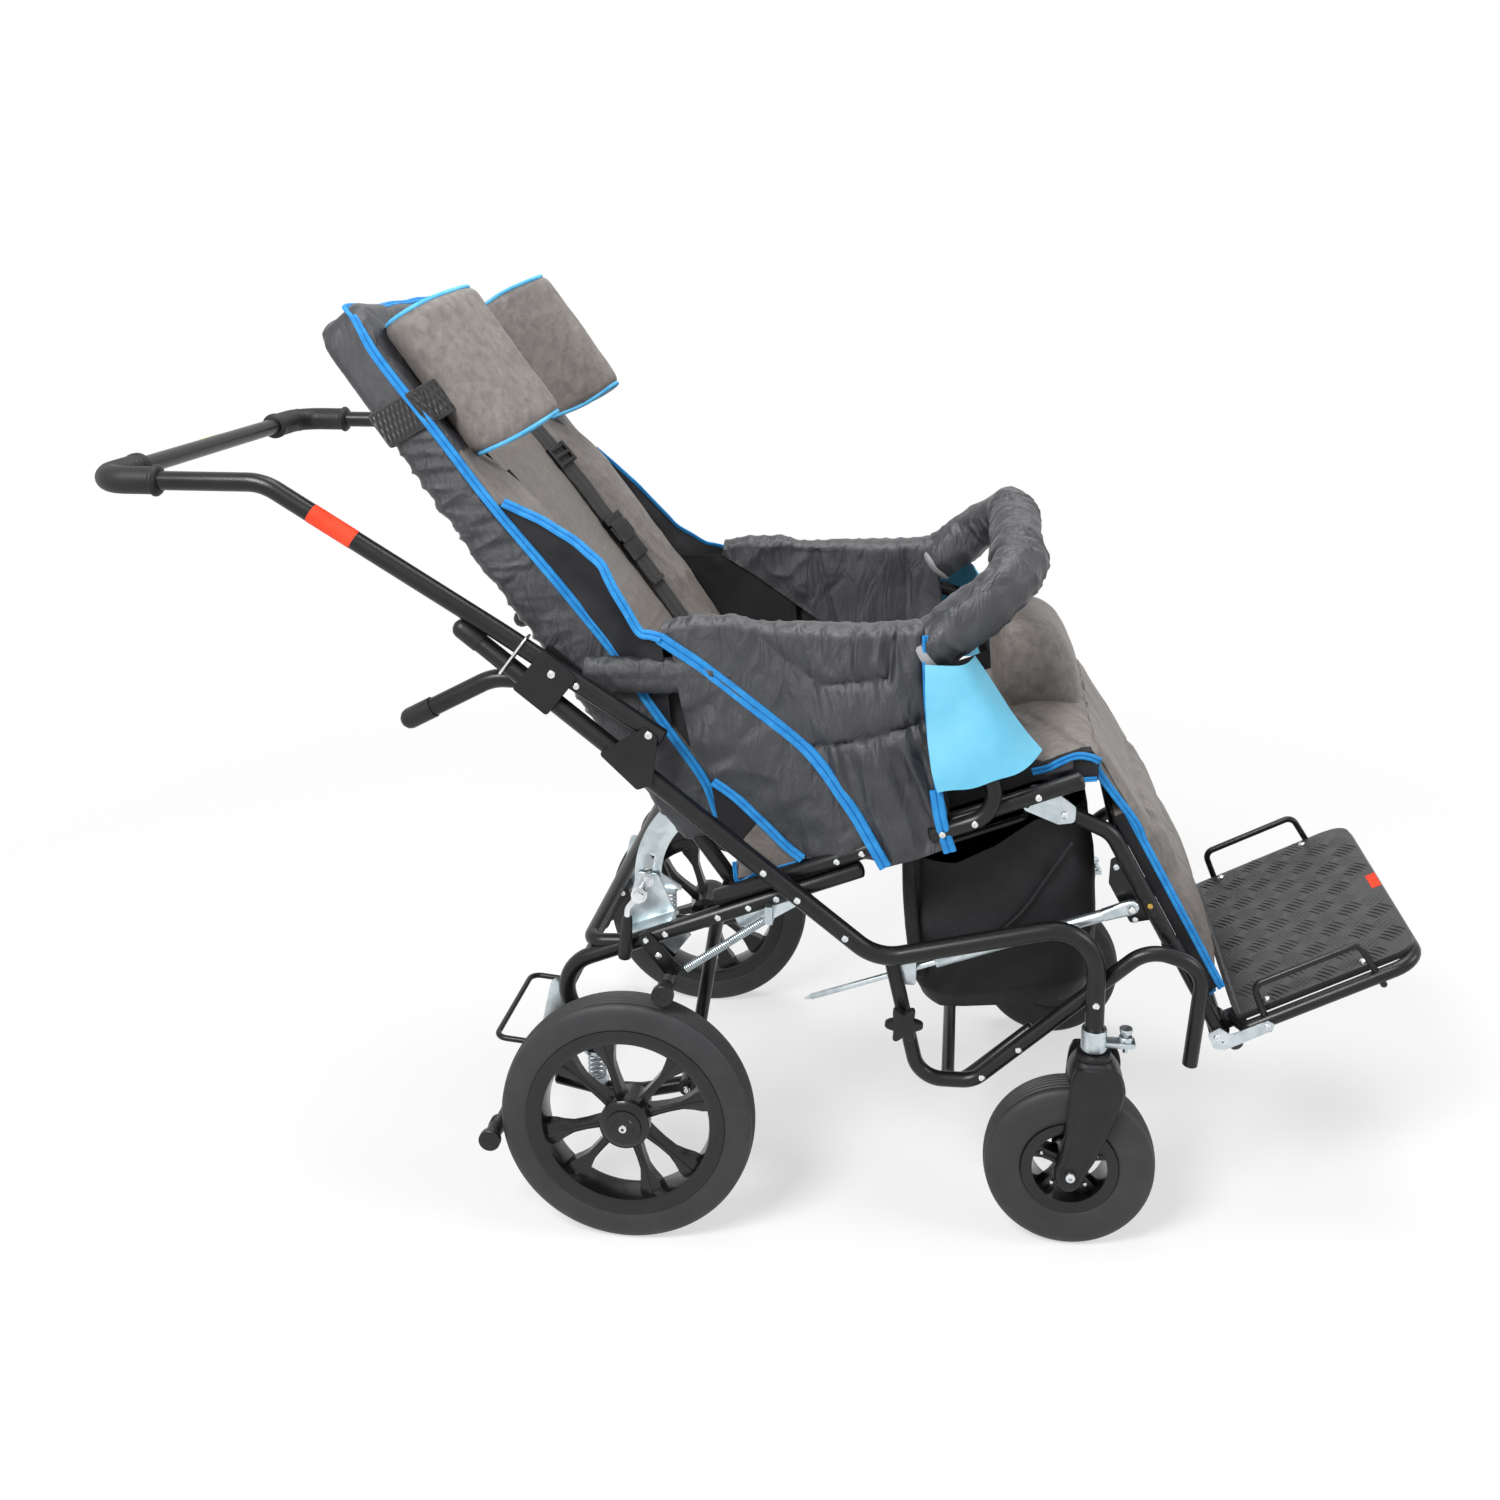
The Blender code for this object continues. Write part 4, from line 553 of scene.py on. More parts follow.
def spotTree():
    tree = bpy.data.node_groups.new("piecesOnSpots", "GeometryNodeTree")
    made = {}
    for label, kind in (("Geometry", "Geometry"), ("Shape", "Object"), ("Size", "Float"),
            ("Finish", "Material")):
        made[label] = tree.interface.new_socket(label, in_out="INPUT",
            socket_type=f"NodeSocket{kind}").identifier
    tree.interface.new_socket("Geometry", in_out="OUTPUT", socket_type="NodeSocketGeometry")
    start, end = node(tree, "NodeGroupInput").outputs, node(tree, "NodeGroupOutput").inputs
    shape = node(tree, "GeometryNodeObjectInfo", {"Object": start["Shape"]}, {"As Instance": True})
    turn, named = {}, "GeometryNodeInputNamedAttribute"
    for label, axis, pivot in (("facing", "Z", "AUTO"), ("heading", "X", "Z")):
        spot = node(tree, named, None, {"Name": label}, data_type="FLOAT_VECTOR").outputs["Attribute"]
        align = node(tree, "FunctionNodeAlignRotationToVector", {"Vector": spot, **turn}, axis=axis,
            pivot_axis=pivot)
        turn = {"Rotation": align.outputs["Rotation"]}
    scale = mixed(tree, node(tree, named, None, {"Name": "size"}).outputs["Attribute"], start["Size"])
    put = node(tree, "GeometryNodeInstanceOnPoints", {"Points": start["Geometry"], "Scale": scale,
        "Instance": shape.outputs["Geometry"], **turn})
    real = node(tree, "GeometryNodeRealizeInstances", {"Geometry": put.outputs["Instances"]})
    paint = node(tree, "GeometryNodeSetMaterial", {"Geometry": real.outputs["Geometry"],
        "Material": start["Finish"]})
    tree.links.new(paint.outputs["Geometry"], end["Geometry"])
    return tree, made


spotGroup, spotSockets = spotTree()


def scatter(name, shape, spots, size, made, body):  # spots: place, facing, heading, size
    mesh = bpy.data.meshes.new(name)
    mesh.from_pydata([s[0] for s in spots], [], [])
    for label, k in (("facing", 1), ("heading", 2)):
        layer = mesh.attributes.new(label, "FLOAT_VECTOR", "POINT")
        layer.data.foreach_set("vector", [c for s in spots for c in s[k]])
    layer = mesh.attributes.new("size", "FLOAT", "POINT")
    layer.data.foreach_set("value", [s[3] for s in spots])
    base = addObject(name + "Spots", mesh)
    nodes = base.modifiers.new("spots", "NODES")
    nodes.node_group = spotGroup
    for label, value in (("Shape", shape), ("Size", size), ("Finish", made)):
        nodes[spotSockets[label]] = value
    result = meshed(base)
    bpy.data.objects.remove(base)
    return linkMesh(name, result, [made], body, sharp=30)


def patternShape(name, build):  # unit shape for scatter, deleted at the end
    bm = bmesh.new()
    build(bm)
    obj = donePiece(name, bm, [], None, sharp=180)
    obj.hide_render = True
    return obj


def boltSpot(spot, out, size=1.0):
    return spot, (0, out, 0), (1, 0, 0), size


def circle(bm, r, h, count):
    turns = [2 * pi * k / count for k in range(count)]
    return [bm.verts.new((r * cos(a), r * sin(a), h)) for a in turns]


def buttonHead(bm):  # round head with a hexagon socket, one unit in radius
    made = [circle(bm, r, h, 18) for r, h in ((1.0, 0.0), (1.0, 0.18), (0.86, 0.46), (0.56, 0.62))]
    for h in (0.6, 0.25):
        ring = []
        for k in range(18):
            a = 2 * pi * k / 18
            r = 0.4 * cos(pi / 6) / cos((a % (pi / 3)) - pi / 6)
            ring.append(bm.verts.new((r * cos(a), r * sin(a), h)))
        made.append(ring)
    skinRings(bm, made, 0)


def domeHead(bm):  # plain rivet, one unit in radius
    skinRings(bm, [circle(bm, r, h, 14) for r, h in ((1.0, 0.0), (0.95, 0.22), (0.72, 0.45),
        (0.35, 0.56))], 0)


boltShape, rivetShape = patternShape("boltHead", buttonHead), patternShape("rivetHead", domeHead)


# stage, light and camera

view = {"x": 0.38317, "y": -1.88642, "z": 1.18905, "yaw": 5.8, "pitch": 10.61, "focal": 1531.0,
    "centreU": 814.7, "centreV": 501.5, "pixels": 1500}


def makeCamera():
    yaw, pitch = radians(view["yaw"]), radians(view["pitch"])
    ahead = Vector((-sin(yaw) * cos(pitch), cos(yaw) * cos(pitch), -sin(pitch)))
    data = bpy.data.cameras.new("photoCamera")
    data.sensor_width = 36
    data.lens = view["focal"] * data.sensor_width / view["pixels"]
    data.shift_x = (view["pixels"] / 2 - view["centreU"]) / view["pixels"]
    data.shift_y = (view["centreV"] - view["pixels"] / 2) / view["pixels"]
    data.clip_end = 100
    camera = addObject("photoCamera", data)
    camera.location = at(view["x"], view["y"], view["z"])
    camera.rotation_euler = ahead.to_track_quat("-Z", "Y").to_euler()
    bpy.context.scene.camera = camera


def seenRays(tree):  # what the camera, mirrors and clear things see
    path = node(tree, "ShaderNodeLightPath").outputs
    seen = mixed(tree, path["Is Camera Ray"], path["Is Glossy Ray"], "MAXIMUM")
    return mixed(tree, seen, path["Is Transmission Ray"], "MAXIMUM")


def chooseShader(tree, fac, first, second, end):
    made = node(tree, "ShaderNodeMixShader", {"Fac": fac, 1: first, 2: second})
    tree.links.new(made.outputs["Shader"], tree.nodes[end].inputs["Surface"])


studio = {"reach": 40, "floorFade": (0.9, 2.0, 0.6), "ambient": 0.2,
    "lamps": (("keyBox", (-1.2, -2.3, 2.9), 1.2, 125), ("topBox", (0.2, 0.4, 3.0), 1.6, 48),
    ("frontBox", (2.8, -0.8, 1.9), 1.2, 30))}


def makeStage():
    scene, reach = bpy.context.scene, studio["reach"]
    mesh = bpy.data.meshes.new("paleFloor")
    mesh.from_pydata([(-reach, -reach, 0), (reach, -reach, 0), (reach, reach, 0), (-reach, reach, 0)],
        [], [(0, 1, 2, 3)])
    floor = addObject("paleFloor", mesh)
    made, tree, shader = startFinish("paleFloor", "fafafa", 0.9)
    mesh.materials.append(made)
    far = node(tree, "ShaderNodeVectorMath", {0: coords(tree)}, operation="LENGTH").outputs["Value"]
    start, end, least = studio["floorFade"]  # the floor runs out into the white background
    fade = node(tree, "ShaderNodeMapRange", {"Value": far}, {"From Min": start, "From Max": end,
        "To Min": least})
    glow = node(tree, "ShaderNodeEmission", None, {"Color": (1, 1, 1, 1)}).outputs["Emission"]
    seen = mixed(tree, fade.outputs["Result"], seenRays(tree))
    chooseShader(tree, seen, shader.outputs["BSDF"], glow, "Material Output")
    floor.location.z = -0.0005
    scene.world = bpy.data.worlds.new("studio")
    scene.world.use_nodes = True
    tree = scene.world.node_tree
    soft = tree.nodes["Background"]
    soft.inputs["Color"].default_value = (1, 1, 1, 1)
    soft.inputs["Strength"].default_value = studio["ambient"]
    white = node(tree, "ShaderNodeBackground", None, {"Color": (1, 1, 1, 1),
        "Strength": 1.0}).outputs["Background"]
    chooseShader(tree, seenRays(tree), soft.outputs["Background"], white, "World Output")
    for name, spot, size, power in studio["lamps"]:
        light = bpy.data.lights.new(name, "AREA")
        light.size = size
        light.energy = power
        lamp = addObject(name, light)
        lamp.location = spot
        lamp.rotation_euler = (Vector((0, 0, 0.5)) - Vector(spot)).to_track_quat("-Z", "Y").to_euler()
    scene.view_settings.view_transform = "Standard"


makeCamera()
makeStage()
print("camera and studio set")


# wheels

def tyreProfile(radius, base, half, ribs):  # crown with fine grooves, round shoulders
    outer = []
    crown = 0.62 * half
    for k in range(ribs * 4 + 1):
        a = -crown + 2 * crown * k / (ribs * 4)
        outer.append((radius - 0.0014 * (k % 4 in (1, 2)) - 0.0016 * (a / crown) ** 2, a))
    shoulder = []
    for k in range(1, 9):
        t = radians(90 * k / 8)
        shoulder.append((radius - 0.0016 - 0.018 * (1 - cos(t)), crown + (half - crown) * sin(t)))
    wall = [(base + 0.012, half * 0.985), (base + 0.006, half * 0.93), (base + 0.004, half * 0.88),
        (base, half * 0.74)]
    upper = shoulder + wall
    return [(r, -a) for r, a in reversed(upper)] + outer + upper


def spokeInto(bm, centre, angle, stations, y, half, rib, mat=0):
    c, s = cos(angle), sin(angle)
    rings = []
    for r, w, thick in stations:
        ring = []
        for across, depth in ((-w, -thick), (-w, thick * 0.6), (-rib, thick * 0.85), (-rib, thick),
                (rib, thick), (rib, thick * 0.85), (w, thick * 0.6), (w, -thick)):
            spot = Vector((r * c - across * s, y + depth * half, r * s + across * c))
            ring.append(bm.verts.new(centre + spot))
        rings.append(ring)
    skinRings(bm, rings, mat)


rearWheel = {"radius": 0.15, "height": 0.037, "half": 0.0225, "pairs": 4, "spread": 17, "start": 0.37,
    "bolt": 0.0052, "lip": [(-0.0005, 0.7), (0.0045, 0.86), (0.004, 0.93), (-0.004, 0.95),
    (-0.0105, 0.92), (-0.0135, 0.84), (-0.015, 0.6)]}
frontWheel = {"radius": 0.1, "height": 0.046, "half": 0.0245, "spokes": 5, "start": 0.25,
    "lip": [(-0.0005, 0.7), (0.003, 0.84), (0.002, 0.92), (-0.006, 0.94), (-0.0105, 0.88),
    (-0.0115, 0.3)]}


def rearWheels():
    w = rearWheel
    inner = w["radius"] - w["height"]
    for label, side, out in sides:
        centre = at(0, out * rearY, w["radius"])
        bm = bmesh.new()
        latheInto(bm, tyreProfile(w["radius"], inner, w["half"], 7), centre, out, 128)
        donePiece("rearTyre" + label, bm, [rubber], f"rear_wheel_{side}", [f"rear_tyre_{side}"],
            30)
        bm = bmesh.new()
        h = w["half"]
        lip = [(inner + d, a * h) for d, a in w["lip"]]
        latheInto(bm, lip + [(inner - 0.0155, 0.0)] + [(r, -a) for r, a in reversed(lip)], centre, out,
            128)
        hub = mm((0, 31.5), (6, 31.5), (6.6, 30.7), (12.5, 30.7), (13.2, 29.7), (20.5, 28.8), (21.2, 27),
            (26.5, 25.5), (30, 22.5), (30.2, 16), (28.5, 6), (24, -10), (22, -29), (19.5, -30),
            (6.8, -30), (6.6, 15), (0, 15))
        latheInto(bm, hub, centre, out, 64, ring=False)
        for k in range(w["pairs"]):
            for lean in (-w["spread"], w["spread"]):
                a = 2 * pi * (k + w["start"]) / w["pairs"] + radians(lean)
                rim = inner - 0.013
                stations = [(0.024, 0.0062, 0.0095), (0.036, 0.0052, 0.0085), (0.052, 0.0046, 0.0075),
                    (0.068, 0.005, 0.0075), (0.08, 0.0085, 0.008), (0.09, 0.0125, 0.009),
                    (rim, 0.0138, 0.0105)]
                spokeInto(bm, centre, a, stations, out * 0.002, out, 0.0018)
        donePiece("rearRim" + label, bm, [glossPlastic], f"rear_wheel_{side}", [f"rear_rim_{side}"],
            32)
        cap = [boltSpot(centre + Vector((0, out * 0.03, 0)), out)]
        scatter("axleCap" + label, boltShape, cap, w["bolt"], steel, f"rear_wheel_{side}")


def frontWheels():
    w = frontWheel
    inner = w["radius"] - w["height"]
    for label, side, out in sides:
        centre = at(0.5152, out * frontY, w["radius"])
        bm = bmesh.new()
        latheInto(bm, tyreProfile(w["radius"], inner, w["half"], 6), centre, out, 96)
        donePiece("frontTyre" + label, bm, [rubber], f"front_wheel_{side}", [f"front_tyre_{side}"],
            30)
        bm = bmesh.new()
        h = w["half"]
        lip = [(inner + d, a * h) for d, a in w["lip"]]
        latheInto(bm, lip + [(r, -a) for r, a in reversed(lip)], centre, out, 96)
        hub = [(0.0057, -0.92 * h), (0.0145, -0.92 * h), (0.016, -0.8 * h)]
        latheInto(bm, hub + [(0.0165, 0)] + [(r, -a) for r, a in reversed(hub)], centre, out, 48)
        bolts = []
        for k in range(w["spokes"]):
            a = 2 * pi * (k + w["start"]) / w["spokes"]
            stations = [(0.0135, 0.0065, 0.011), (0.022, 0.0056, 0.01), (0.031, 0.006, 0.009),
                (inner - 0.0095, 0.0085, 0.01)]
            spokeInto(bm, centre, a, stations, 0, 1, 0.0016)
            spokeInto(bm, centre, a, stations, 0, -1, 0.0016)
            spot = centre + Vector((0.0335 * cos(a), out * 0.0092, 0.0335 * sin(a)))
            bolts.append(boltSpot(spot, out))
        donePiece("frontRim" + label, bm, [glossPlastic], f"front_wheel_{side}", [f"front_rim_{side}"],
            32)
        scatter("rimBolts" + label, boltShape, bolts, 0.0026, steel, f"front_wheel_{side}")


rearWheels()
frontWheels()
print("wheels made")


# castors

castor = {"stemX": 0.54, "collarZ": 0.2425, "inner": 0.028, "outer": 0.0365}


def castorForks():
    c = castor
    x, ax, az = c["stemX"], 0.5152, 0.1
    spine = [(x + 0.001, 0.232, 0.0225), (x + 0.003, 0.222, 0.0285), (x + 0.0035, 0.206, 0.0312),
        (x + 0.001, 0.188, 0.03), (x - 0.003, 0.168, 0.027), (x - 0.009, 0.145, 0.0235),
        (x - 0.0165, 0.12, 0.0205), (ax + 0.001, az + 0.004, 0.019), (ax - 0.001, az - 0.012, 0.014),
        (ax - 0.0015, az - 0.0195, 0.005)]
    for label, side, out in sides:
        y = out * frontY
        bm = bmesh.new()
        for face in (-1, 1):
            rings = []
            for k, (sx, sz, half) in enumerate(smoothLine(spine, 3)):
                inY, outY = c["inner"], c["outer"] + 0.0015 * sin(min(1.0, k / 12) * pi)
                ring = []
                for a, d in ((-1, 0), (-1, 0.55), (-0.9, 0.9), (-0.62, 1.0), (-0.56, 0.86), (0.56, 0.86),
                        (0.62, 1.0), (0.9, 0.9), (1, 0.55), (1, 0)):  # raised rim round a recessed panel
                    sunk = d if not (d == 0.86 and (k < 9 or k > 23)) else 1.02
                    ring.append(bm.verts.new(at(sx + a * half, y + face * (inY + (outY - inY) * sunk),
                        sz)))
                rings.append(ring)
            skinRings(bm, rings, 0)
        latheInto(bm, mm((0.1, 239), (16.5, 239), (19.5, 237.8), (21.5, 234), (21.5, 230), (0.1, 230)),
            at(x, y, 0), 1, 48, axis="Z")
        shoulder = []
        for k in range(9):  # crown between the two legs
            t = k / 8
            z = 0.2325 - 0.027 * t
            wide = 0.0215 + 0.0105 * sin(t * pi / 2)
            deep = 0.022 + (c["outer"] - 0.02) * sin(min(1, t * 1.3) * pi / 2)
            ring = []
            for n in range(28):
                px, py = squared(2 * pi * n / 28, 0.8, 0.7)
                ring.append(bm.verts.new(at(x + 0.0025 * t + wide * px, y + deep * py, z)))
            shoulder.append(ring)
        skinRings(bm, shoulder, 0)
        rodInto(bm, at(x, y, 0.236), at(x, y, 0.303), 0.0078, 20, 1)
        pinInto(bm, ax, az, y - c["outer"] - 0.0025, y + c["outer"] + 0.0025, 0.005, 16, 1)
        donePiece("castorFork" + label, bm, [plastic, steel], f"castor_{side}", [f"castor_fork_{side}"],
            40)
        spots = [boltSpot(at(ax, y + face * (c["outer"] + 0.0018), az), face) for face in (-1, 1)]
        scatter("castorAxleBolts" + label, boltShape, spots, 0.0062, steel, f"castor_{side}")
        bm = bmesh.new()  # spring-loaded plunger that locks the swivel
        px, pz = x + 0.036, c["collarZ"]
        rodInto(bm, at(px, y, pz - 0.0035), at(px, y, pz + 0.021), 0.003, 16)
        latheInto(bm, mm((3.1, 11.2), (7.8, 11.2), (8.2, 12), (8.2, 15), (7.4, 16.2), (3.1, 16.2)),
            at(px, y, pz), 1, 24, axis="Z")
        latheInto(bm, mm((0.1, 18.4), (5.2, 18.4), (6.6, 20), (7.8, 24.5), (7.4, 26.2), (0.1, 26.6)),
            at(px, y, pz), 1, 24, axis="Z")
        donePiece("swivelLock" + label, bm, [zinc], f"swivel_lock_{side}", [f"swivel_lock_{side}"])


castorForks()
print("castors made")


# chassis tubes

mainTube = {"top": (-0.186, 0.7265), "knee": (0.2896, 0.3456), "shoulderZ": 0.398, "stemX": 0.54,
    "stemEnd": 0.2425, "leverEnd": (-0.258, 0.611), "leverMid": (-0.16, 0.662),
    "leverStart": (-0.088, 0.66)}
frameBolts = []  # spots for scatter


def addBolt(x, y, z, out, size=1.0):
    frameBolts.append(boltSpot(at(x, y, z), out, size))


def mainTubes():
    m = mainTube
    slope = atan2(m["knee"][1] - m["top"][1], m["knee"][0] - m["top"][0])
    c, s = cos(slope), sin(slope)

    def beside(along, off):
        return (m["top"][0] + c * along - s * off, m["top"][1] + s * along + c * off)

    for label, side, out in sides:
        y, yf = out * mainY, out * frontY
        bm = bmesh.new()
        path = fillet([at(m["top"][0], y, m["top"][1]), at(m["knee"][0], y, m["knee"][1]),
            at(m["stemX"], yf, m["shoulderZ"]), at(m["stemX"], yf, m["stemEnd"] + 0.004)], [0.06, 0.05],
            10)
        tubeInto(bm, path, mainR, 22, 0, domes=(0.8, 0))
        # end plug
        tubeInto(bm, [path[0], path[0].lerp(path[1], 0.045)], mainR + 0.0009, 22, 1, domes=(0.9, 0.25))
        inside, outside = mainY - mainR - 0.0005, mainY + mainR + 0.0005
        cheek = rounded([beside(0.087, -0.0135), beside(0.137, -0.0135), beside(0.137, 0.046),
            beside(0.087, 0.046)], 0.004)
        plateInto(bm, cheek, out * outside, out * (outside + 0.003), 0)
        plateInto(bm, cheek, out * (inside - 0.003), out * inside, 0)
        saddle = [beside(0.088, -0.013), beside(0.136, -0.013), beside(0.136, 0.0085),
            beside(0.088, 0.0085)]
        plateInto(bm, saddle, out * (inside - 0.002), out * (outside + 0.002), 0)
        leverY = out * (inside - 0.003 - mainR + 0.0012)
        lever = fillet([at(m[k][0], leverY, m[k][1]) for k in ("leverEnd", "leverMid", "leverStart")],
            0.06, 10)
        tubeInto(bm, lever, mainR, 20, 0, domes=(0, 0.5))
        first = lever[0] + (lever[0] - lever[1]).normalized() * 0.004
        last = lever[0] + (lever[1] - lever[0]).normalized() * 0.028
        tubeInto(bm, [first, last], mainR + 0.0016, 20, 1, domes=(0.9, 0.15))
        latheInto(bm, mm((11.2, -0.5), (14.8, -0.5), (15, 1), (15, 23), (14.2, 24.5), (11.2, 24.5)),
            at(m["stemX"], yf, m["stemEnd"]), 1, 40, 2, axis="Z")
        blockInto(bm, (m["stemX"] + 0.01, yf - 0.008, m["stemEnd"] + 0.004),
            (m["stemX"] + 0.047, yf + 0.008, m["stemEnd"] + 0.0105), 2, 0.0012)
        donePiece("mainTube" + label, bm, [enamel, plastic, zinc], "chassis", [f"main_tube_{side}"])
        face = outside + 0.0028
        bx, bz = beside(0.112, 0.03)
        addBolt(bx, out * face, bz, out, 1.15)
        for x, z in ((0.159, 0.45), (0.198, 0.4185), (0.253, 0.3745)):
            addBolt(x, out * (mainY + mainR - 0.0006), z, out)
        addBolt(m["stemX"], out * (frontY + mainR - 0.0006), 0.3, out)


def handlePlates():
    outline = rounded(mm((27, 621.5), (40, 609.5), (33, 552), (15, 545.5), (-29, 588)), 0.0045)
    for label, side, out in sides:
        inY = mainY + mainR + 0.0004
        bm = bmesh.new()
        plateInto(bm, outline, out * inY, out * (inY + 0.003), 0)
        px, pz = jointSpot("handle_fold")
        pinInto(bm, px, pz, out * (inY + 0.001), out * (mainY - mainR - 0.004), 0.004, 16, 1)
        donePiece("handlePlate" + label, bm, [enamel, steel], "chassis", [f"handle_plate_{side}"])
        addBolt(px, out * (inY + 0.0026), pz, out, 1.15)


def lowerTubes():
    corners = mm((302, 340), (338, 180), (402, 180), (600, 358), (664, 338), (653, 216))
    for label, side, out in sides:
        bm = bmesh.new()
        y = out * lowY
        tubeInto(bm, fillet([at(x, y, z) for x, z in corners], [0.035, 0.035, 0.045, 0.035], 10), lowR,
            20, 0, domes=(0, 0.25))
        if out < 0:  # cheeks that guide the strut's rod
            inner, face = strutY - 0.005, lowY - lowR
            cheek = mm((305, 295), (333, 295), (333, 327), (305, 327))
            top = mm((305, 322.5), (333, 322.5), (333, 327), (305, 327))
            plateInto(bm, rounded(cheek, 0.003), -(face - 0.002), -(face + 0.003), 1)
            plateInto(bm, rounded(cheek, 0.003), -(inner - 0.003), -inner, 1)
            plateInto(bm, top, -(inner - 0.003), -(face + 0.003), 1)
        donePiece("lowerTube" + label, bm, [enamel, zinc], "chassis", [f"lower_tube_{side}"])
        for x, z in ((0.4125, 0.1893), (0.4545, 0.2271)):
            addBolt(x, out * (lowY + lowR - 0.0005), z, out, 0.95)
    y = lowY - lowR - crossR - 0.0005
    bm = bmesh.new()
    path = fillet([at(0.47, -y, 0.2411), at(0.372, -y, 0.153), at(0.372, y, 0.153), at(0.47, y, 0.2411)],
        0.04, 10)
    tubeInto(bm, path, crossR, 20, 0, domes=(0.35, 0.35))
    donePiece("lowerCrossTube", bm, [enamel], "chassis", ["lower_cross_tube"])


def rearChassis():
    bm = bmesh.new()
    (px, pz), cx = jointSpot("suspension_right"), jointSpot("recline_lever_turn")[0]
    (ex, ez), (bx, bz) = jointSpot("pedal_brake"), jointSpot("brake_lever_right_turn")
    for out in (-1, 1):
        y = out * railY
        tubeInto(bm, fillet([at(0.268, y, railZ(0.268)), at(-0.098, y, railZ(-0.098)),
            at(-0.053, y, 0.2)], 0.045, 10), railR, 20, 0, domes=(0.4, 0))
        legLine = swingY - 0.021
        tubeInto(bm, fillet([at(0.1, y, railZ(0.1) - 0.004), at(0.088, out * legLine, 0.32),
            at(px, out * legLine, pz)], 0.03, 6), 0.008, 16, 0)
        pinInto(bm, px, pz, out * legLine, out * 0.24, 0.004, 14, 2)
        cup = at(-0.05, out * swingY, 0.198)
        latheInto(bm, mm((0.1, 0), (15.5, 0), (15.5, 4.2), (0.1, 4.2)), cup, 1, 28, 1, axis="Z")
        inner = railY - railR
        hanger = rounded(mm((-103, 292), (-66, 240), (-100, 195.5), (-124, 201)), 0.006)
        plateInto(bm, hanger, out * (inner + 0.003), out * (inner - 0.0015), 1)
        brace = rounded(mm((-74, 236), (-30, 206), (-30, 200), (-70, 200)), 0.003)
        plateInto(bm, brace, out * (inner + 0.002), out * (inner - 0.001), 1)
        pinInto(bm, ex, ez, out * inner, out * (inner - 0.031), 0.004, 14, 2)
        pinInto(bm, bx, bz, y, out * (railY + railR + 0.0078), 0.004, 14, 2)
        hook = railY + railR
        yA, yB = sorted((out * (hook - 0.006), out * (hook + 0.01)))
        blockInto(bm, (0.1583, yA, 0.3805), (0.1675, yB, 0.4025), 1, 0.001)
        under = rounded([(0.118, railZ(0.118) - 0.004), (0.205, railZ(0.205) - 0.004),
            (0.196, railZ(0.196) - 0.02), (0.15, railZ(0.15) - 0.031), (0.126, railZ(0.126) - 0.024)],
            0.004)
        plateInto(bm, under, out * (railY - 0.002), out * (railY + 0.001), 1)
        stay = rounded([(cx - 0.03, 0.338), (cx + 0.036, 0.363), (cx + 0.014, 0.415),
            (cx - 0.012, 0.417)], 0.006)
        plateInto(bm, stay, out * 0.1965, out * 0.1995, 1)
        footBar = [(cx - 0.028, railZ(cx - 0.028) + 0.001), (cx + 0.034, railZ(cx + 0.034) + 0.001),
            (cx + 0.034, railZ(cx + 0.034) + 0.0105), (cx - 0.028, railZ(cx - 0.028) + 0.0105)]
        plateInto(bm, footBar, out * 0.1965, out * (railY + 0.001), 1)
        for x in (0.171, 0.138, 0.102, 0.039):
            addBolt(x, out * (railY + railR - 0.0006), railZ(x), out, 0.95)
        addBolt(bx, out * (railY + railR + 0.007), bz, out, 0.95)
        addBolt(px, out * 0.2405, pz, out, 1.0)
    cross = fillet([at(0.0, -railY, railZ(0.0)), at(-0.056, -railY + 0.004, 0.3385),
        at(-0.056, railY - 0.004, 0.3385), at(0.0, railY, railZ(0.0))], 0.02, 8)
    tubeInto(bm, cross, lowR, 18, 0)
    donePiece("rearChassis", bm, [enamel, zinc, steel], "chassis", ["rear_chassis"])


def seatFrame():
    bm = bmesh.new()
    (px, pz), (hx, hz) = jointSpot("legrest_angle"), jointSpot("backrest_recline")
    for out in (-1, 1):
        y = out * railY
        tubeInto(bm, [at(0.1, y, seatZ(0.1)), at(0.516, y, seatZ(0.516))], railR, 20, 0, domes=(0.4, 0.4))
        hang = fillet([at(0.292, out * (railY - 0.006), seatZ(0.292)),
            at(0.292, out * hangY, seatZ(0.292) - 0.046), at(0.458, out * hangY, seatZ(0.458) - 0.046),
            at(0.458, out * (railY - 0.006), seatZ(0.458))], 0.01, 5)
        tubeInto(bm, hang, 0.004, 12, 0)
        lug = rounded(mm((452, 516), (462, 546), (480, 546), (514, 521), (513, 502), (494, 499)), 0.006)
        lugY = legY + legR + 0.001
        plateInto(bm, lug, out * lugY, out * (lugY + 0.003), 1)
        pinInto(bm, 0.469, 0.54, out * lugY, out * railY, 0.006, 16, 0)
        pinInto(bm, px, pz, out * (lugY + 0.001), out * (legY - 0.013), 0.004, 16, 2)
        addBolt(px, out * (lugY + 0.0026), pz, out, 1.1)
        addBolt(0.469, out * (railY + railR - 0.0006), seatZ(0.466), out, 0.95)
        for x in (0.241, 0.27):
            addBolt(x, out * (railY + railR - 0.0006), seatZ(x), out, 0.95)
    pinInto(bm, hx, hz, -railY + 0.006, railY - 0.006, lowR, 18, 0)
    pinInto(bm, 0.5, seatZ(0.5) - 0.004, -railY, railY, crossR, 18, 0)
    donePiece("seatFrame", bm, [enamel, zinc, steel], "chassis", ["seat_frame"])


bar = {"angle": 41.1, "start": (0.34, 0.7113), "cross": (0.452, 0.809), "spigot": 0.04}


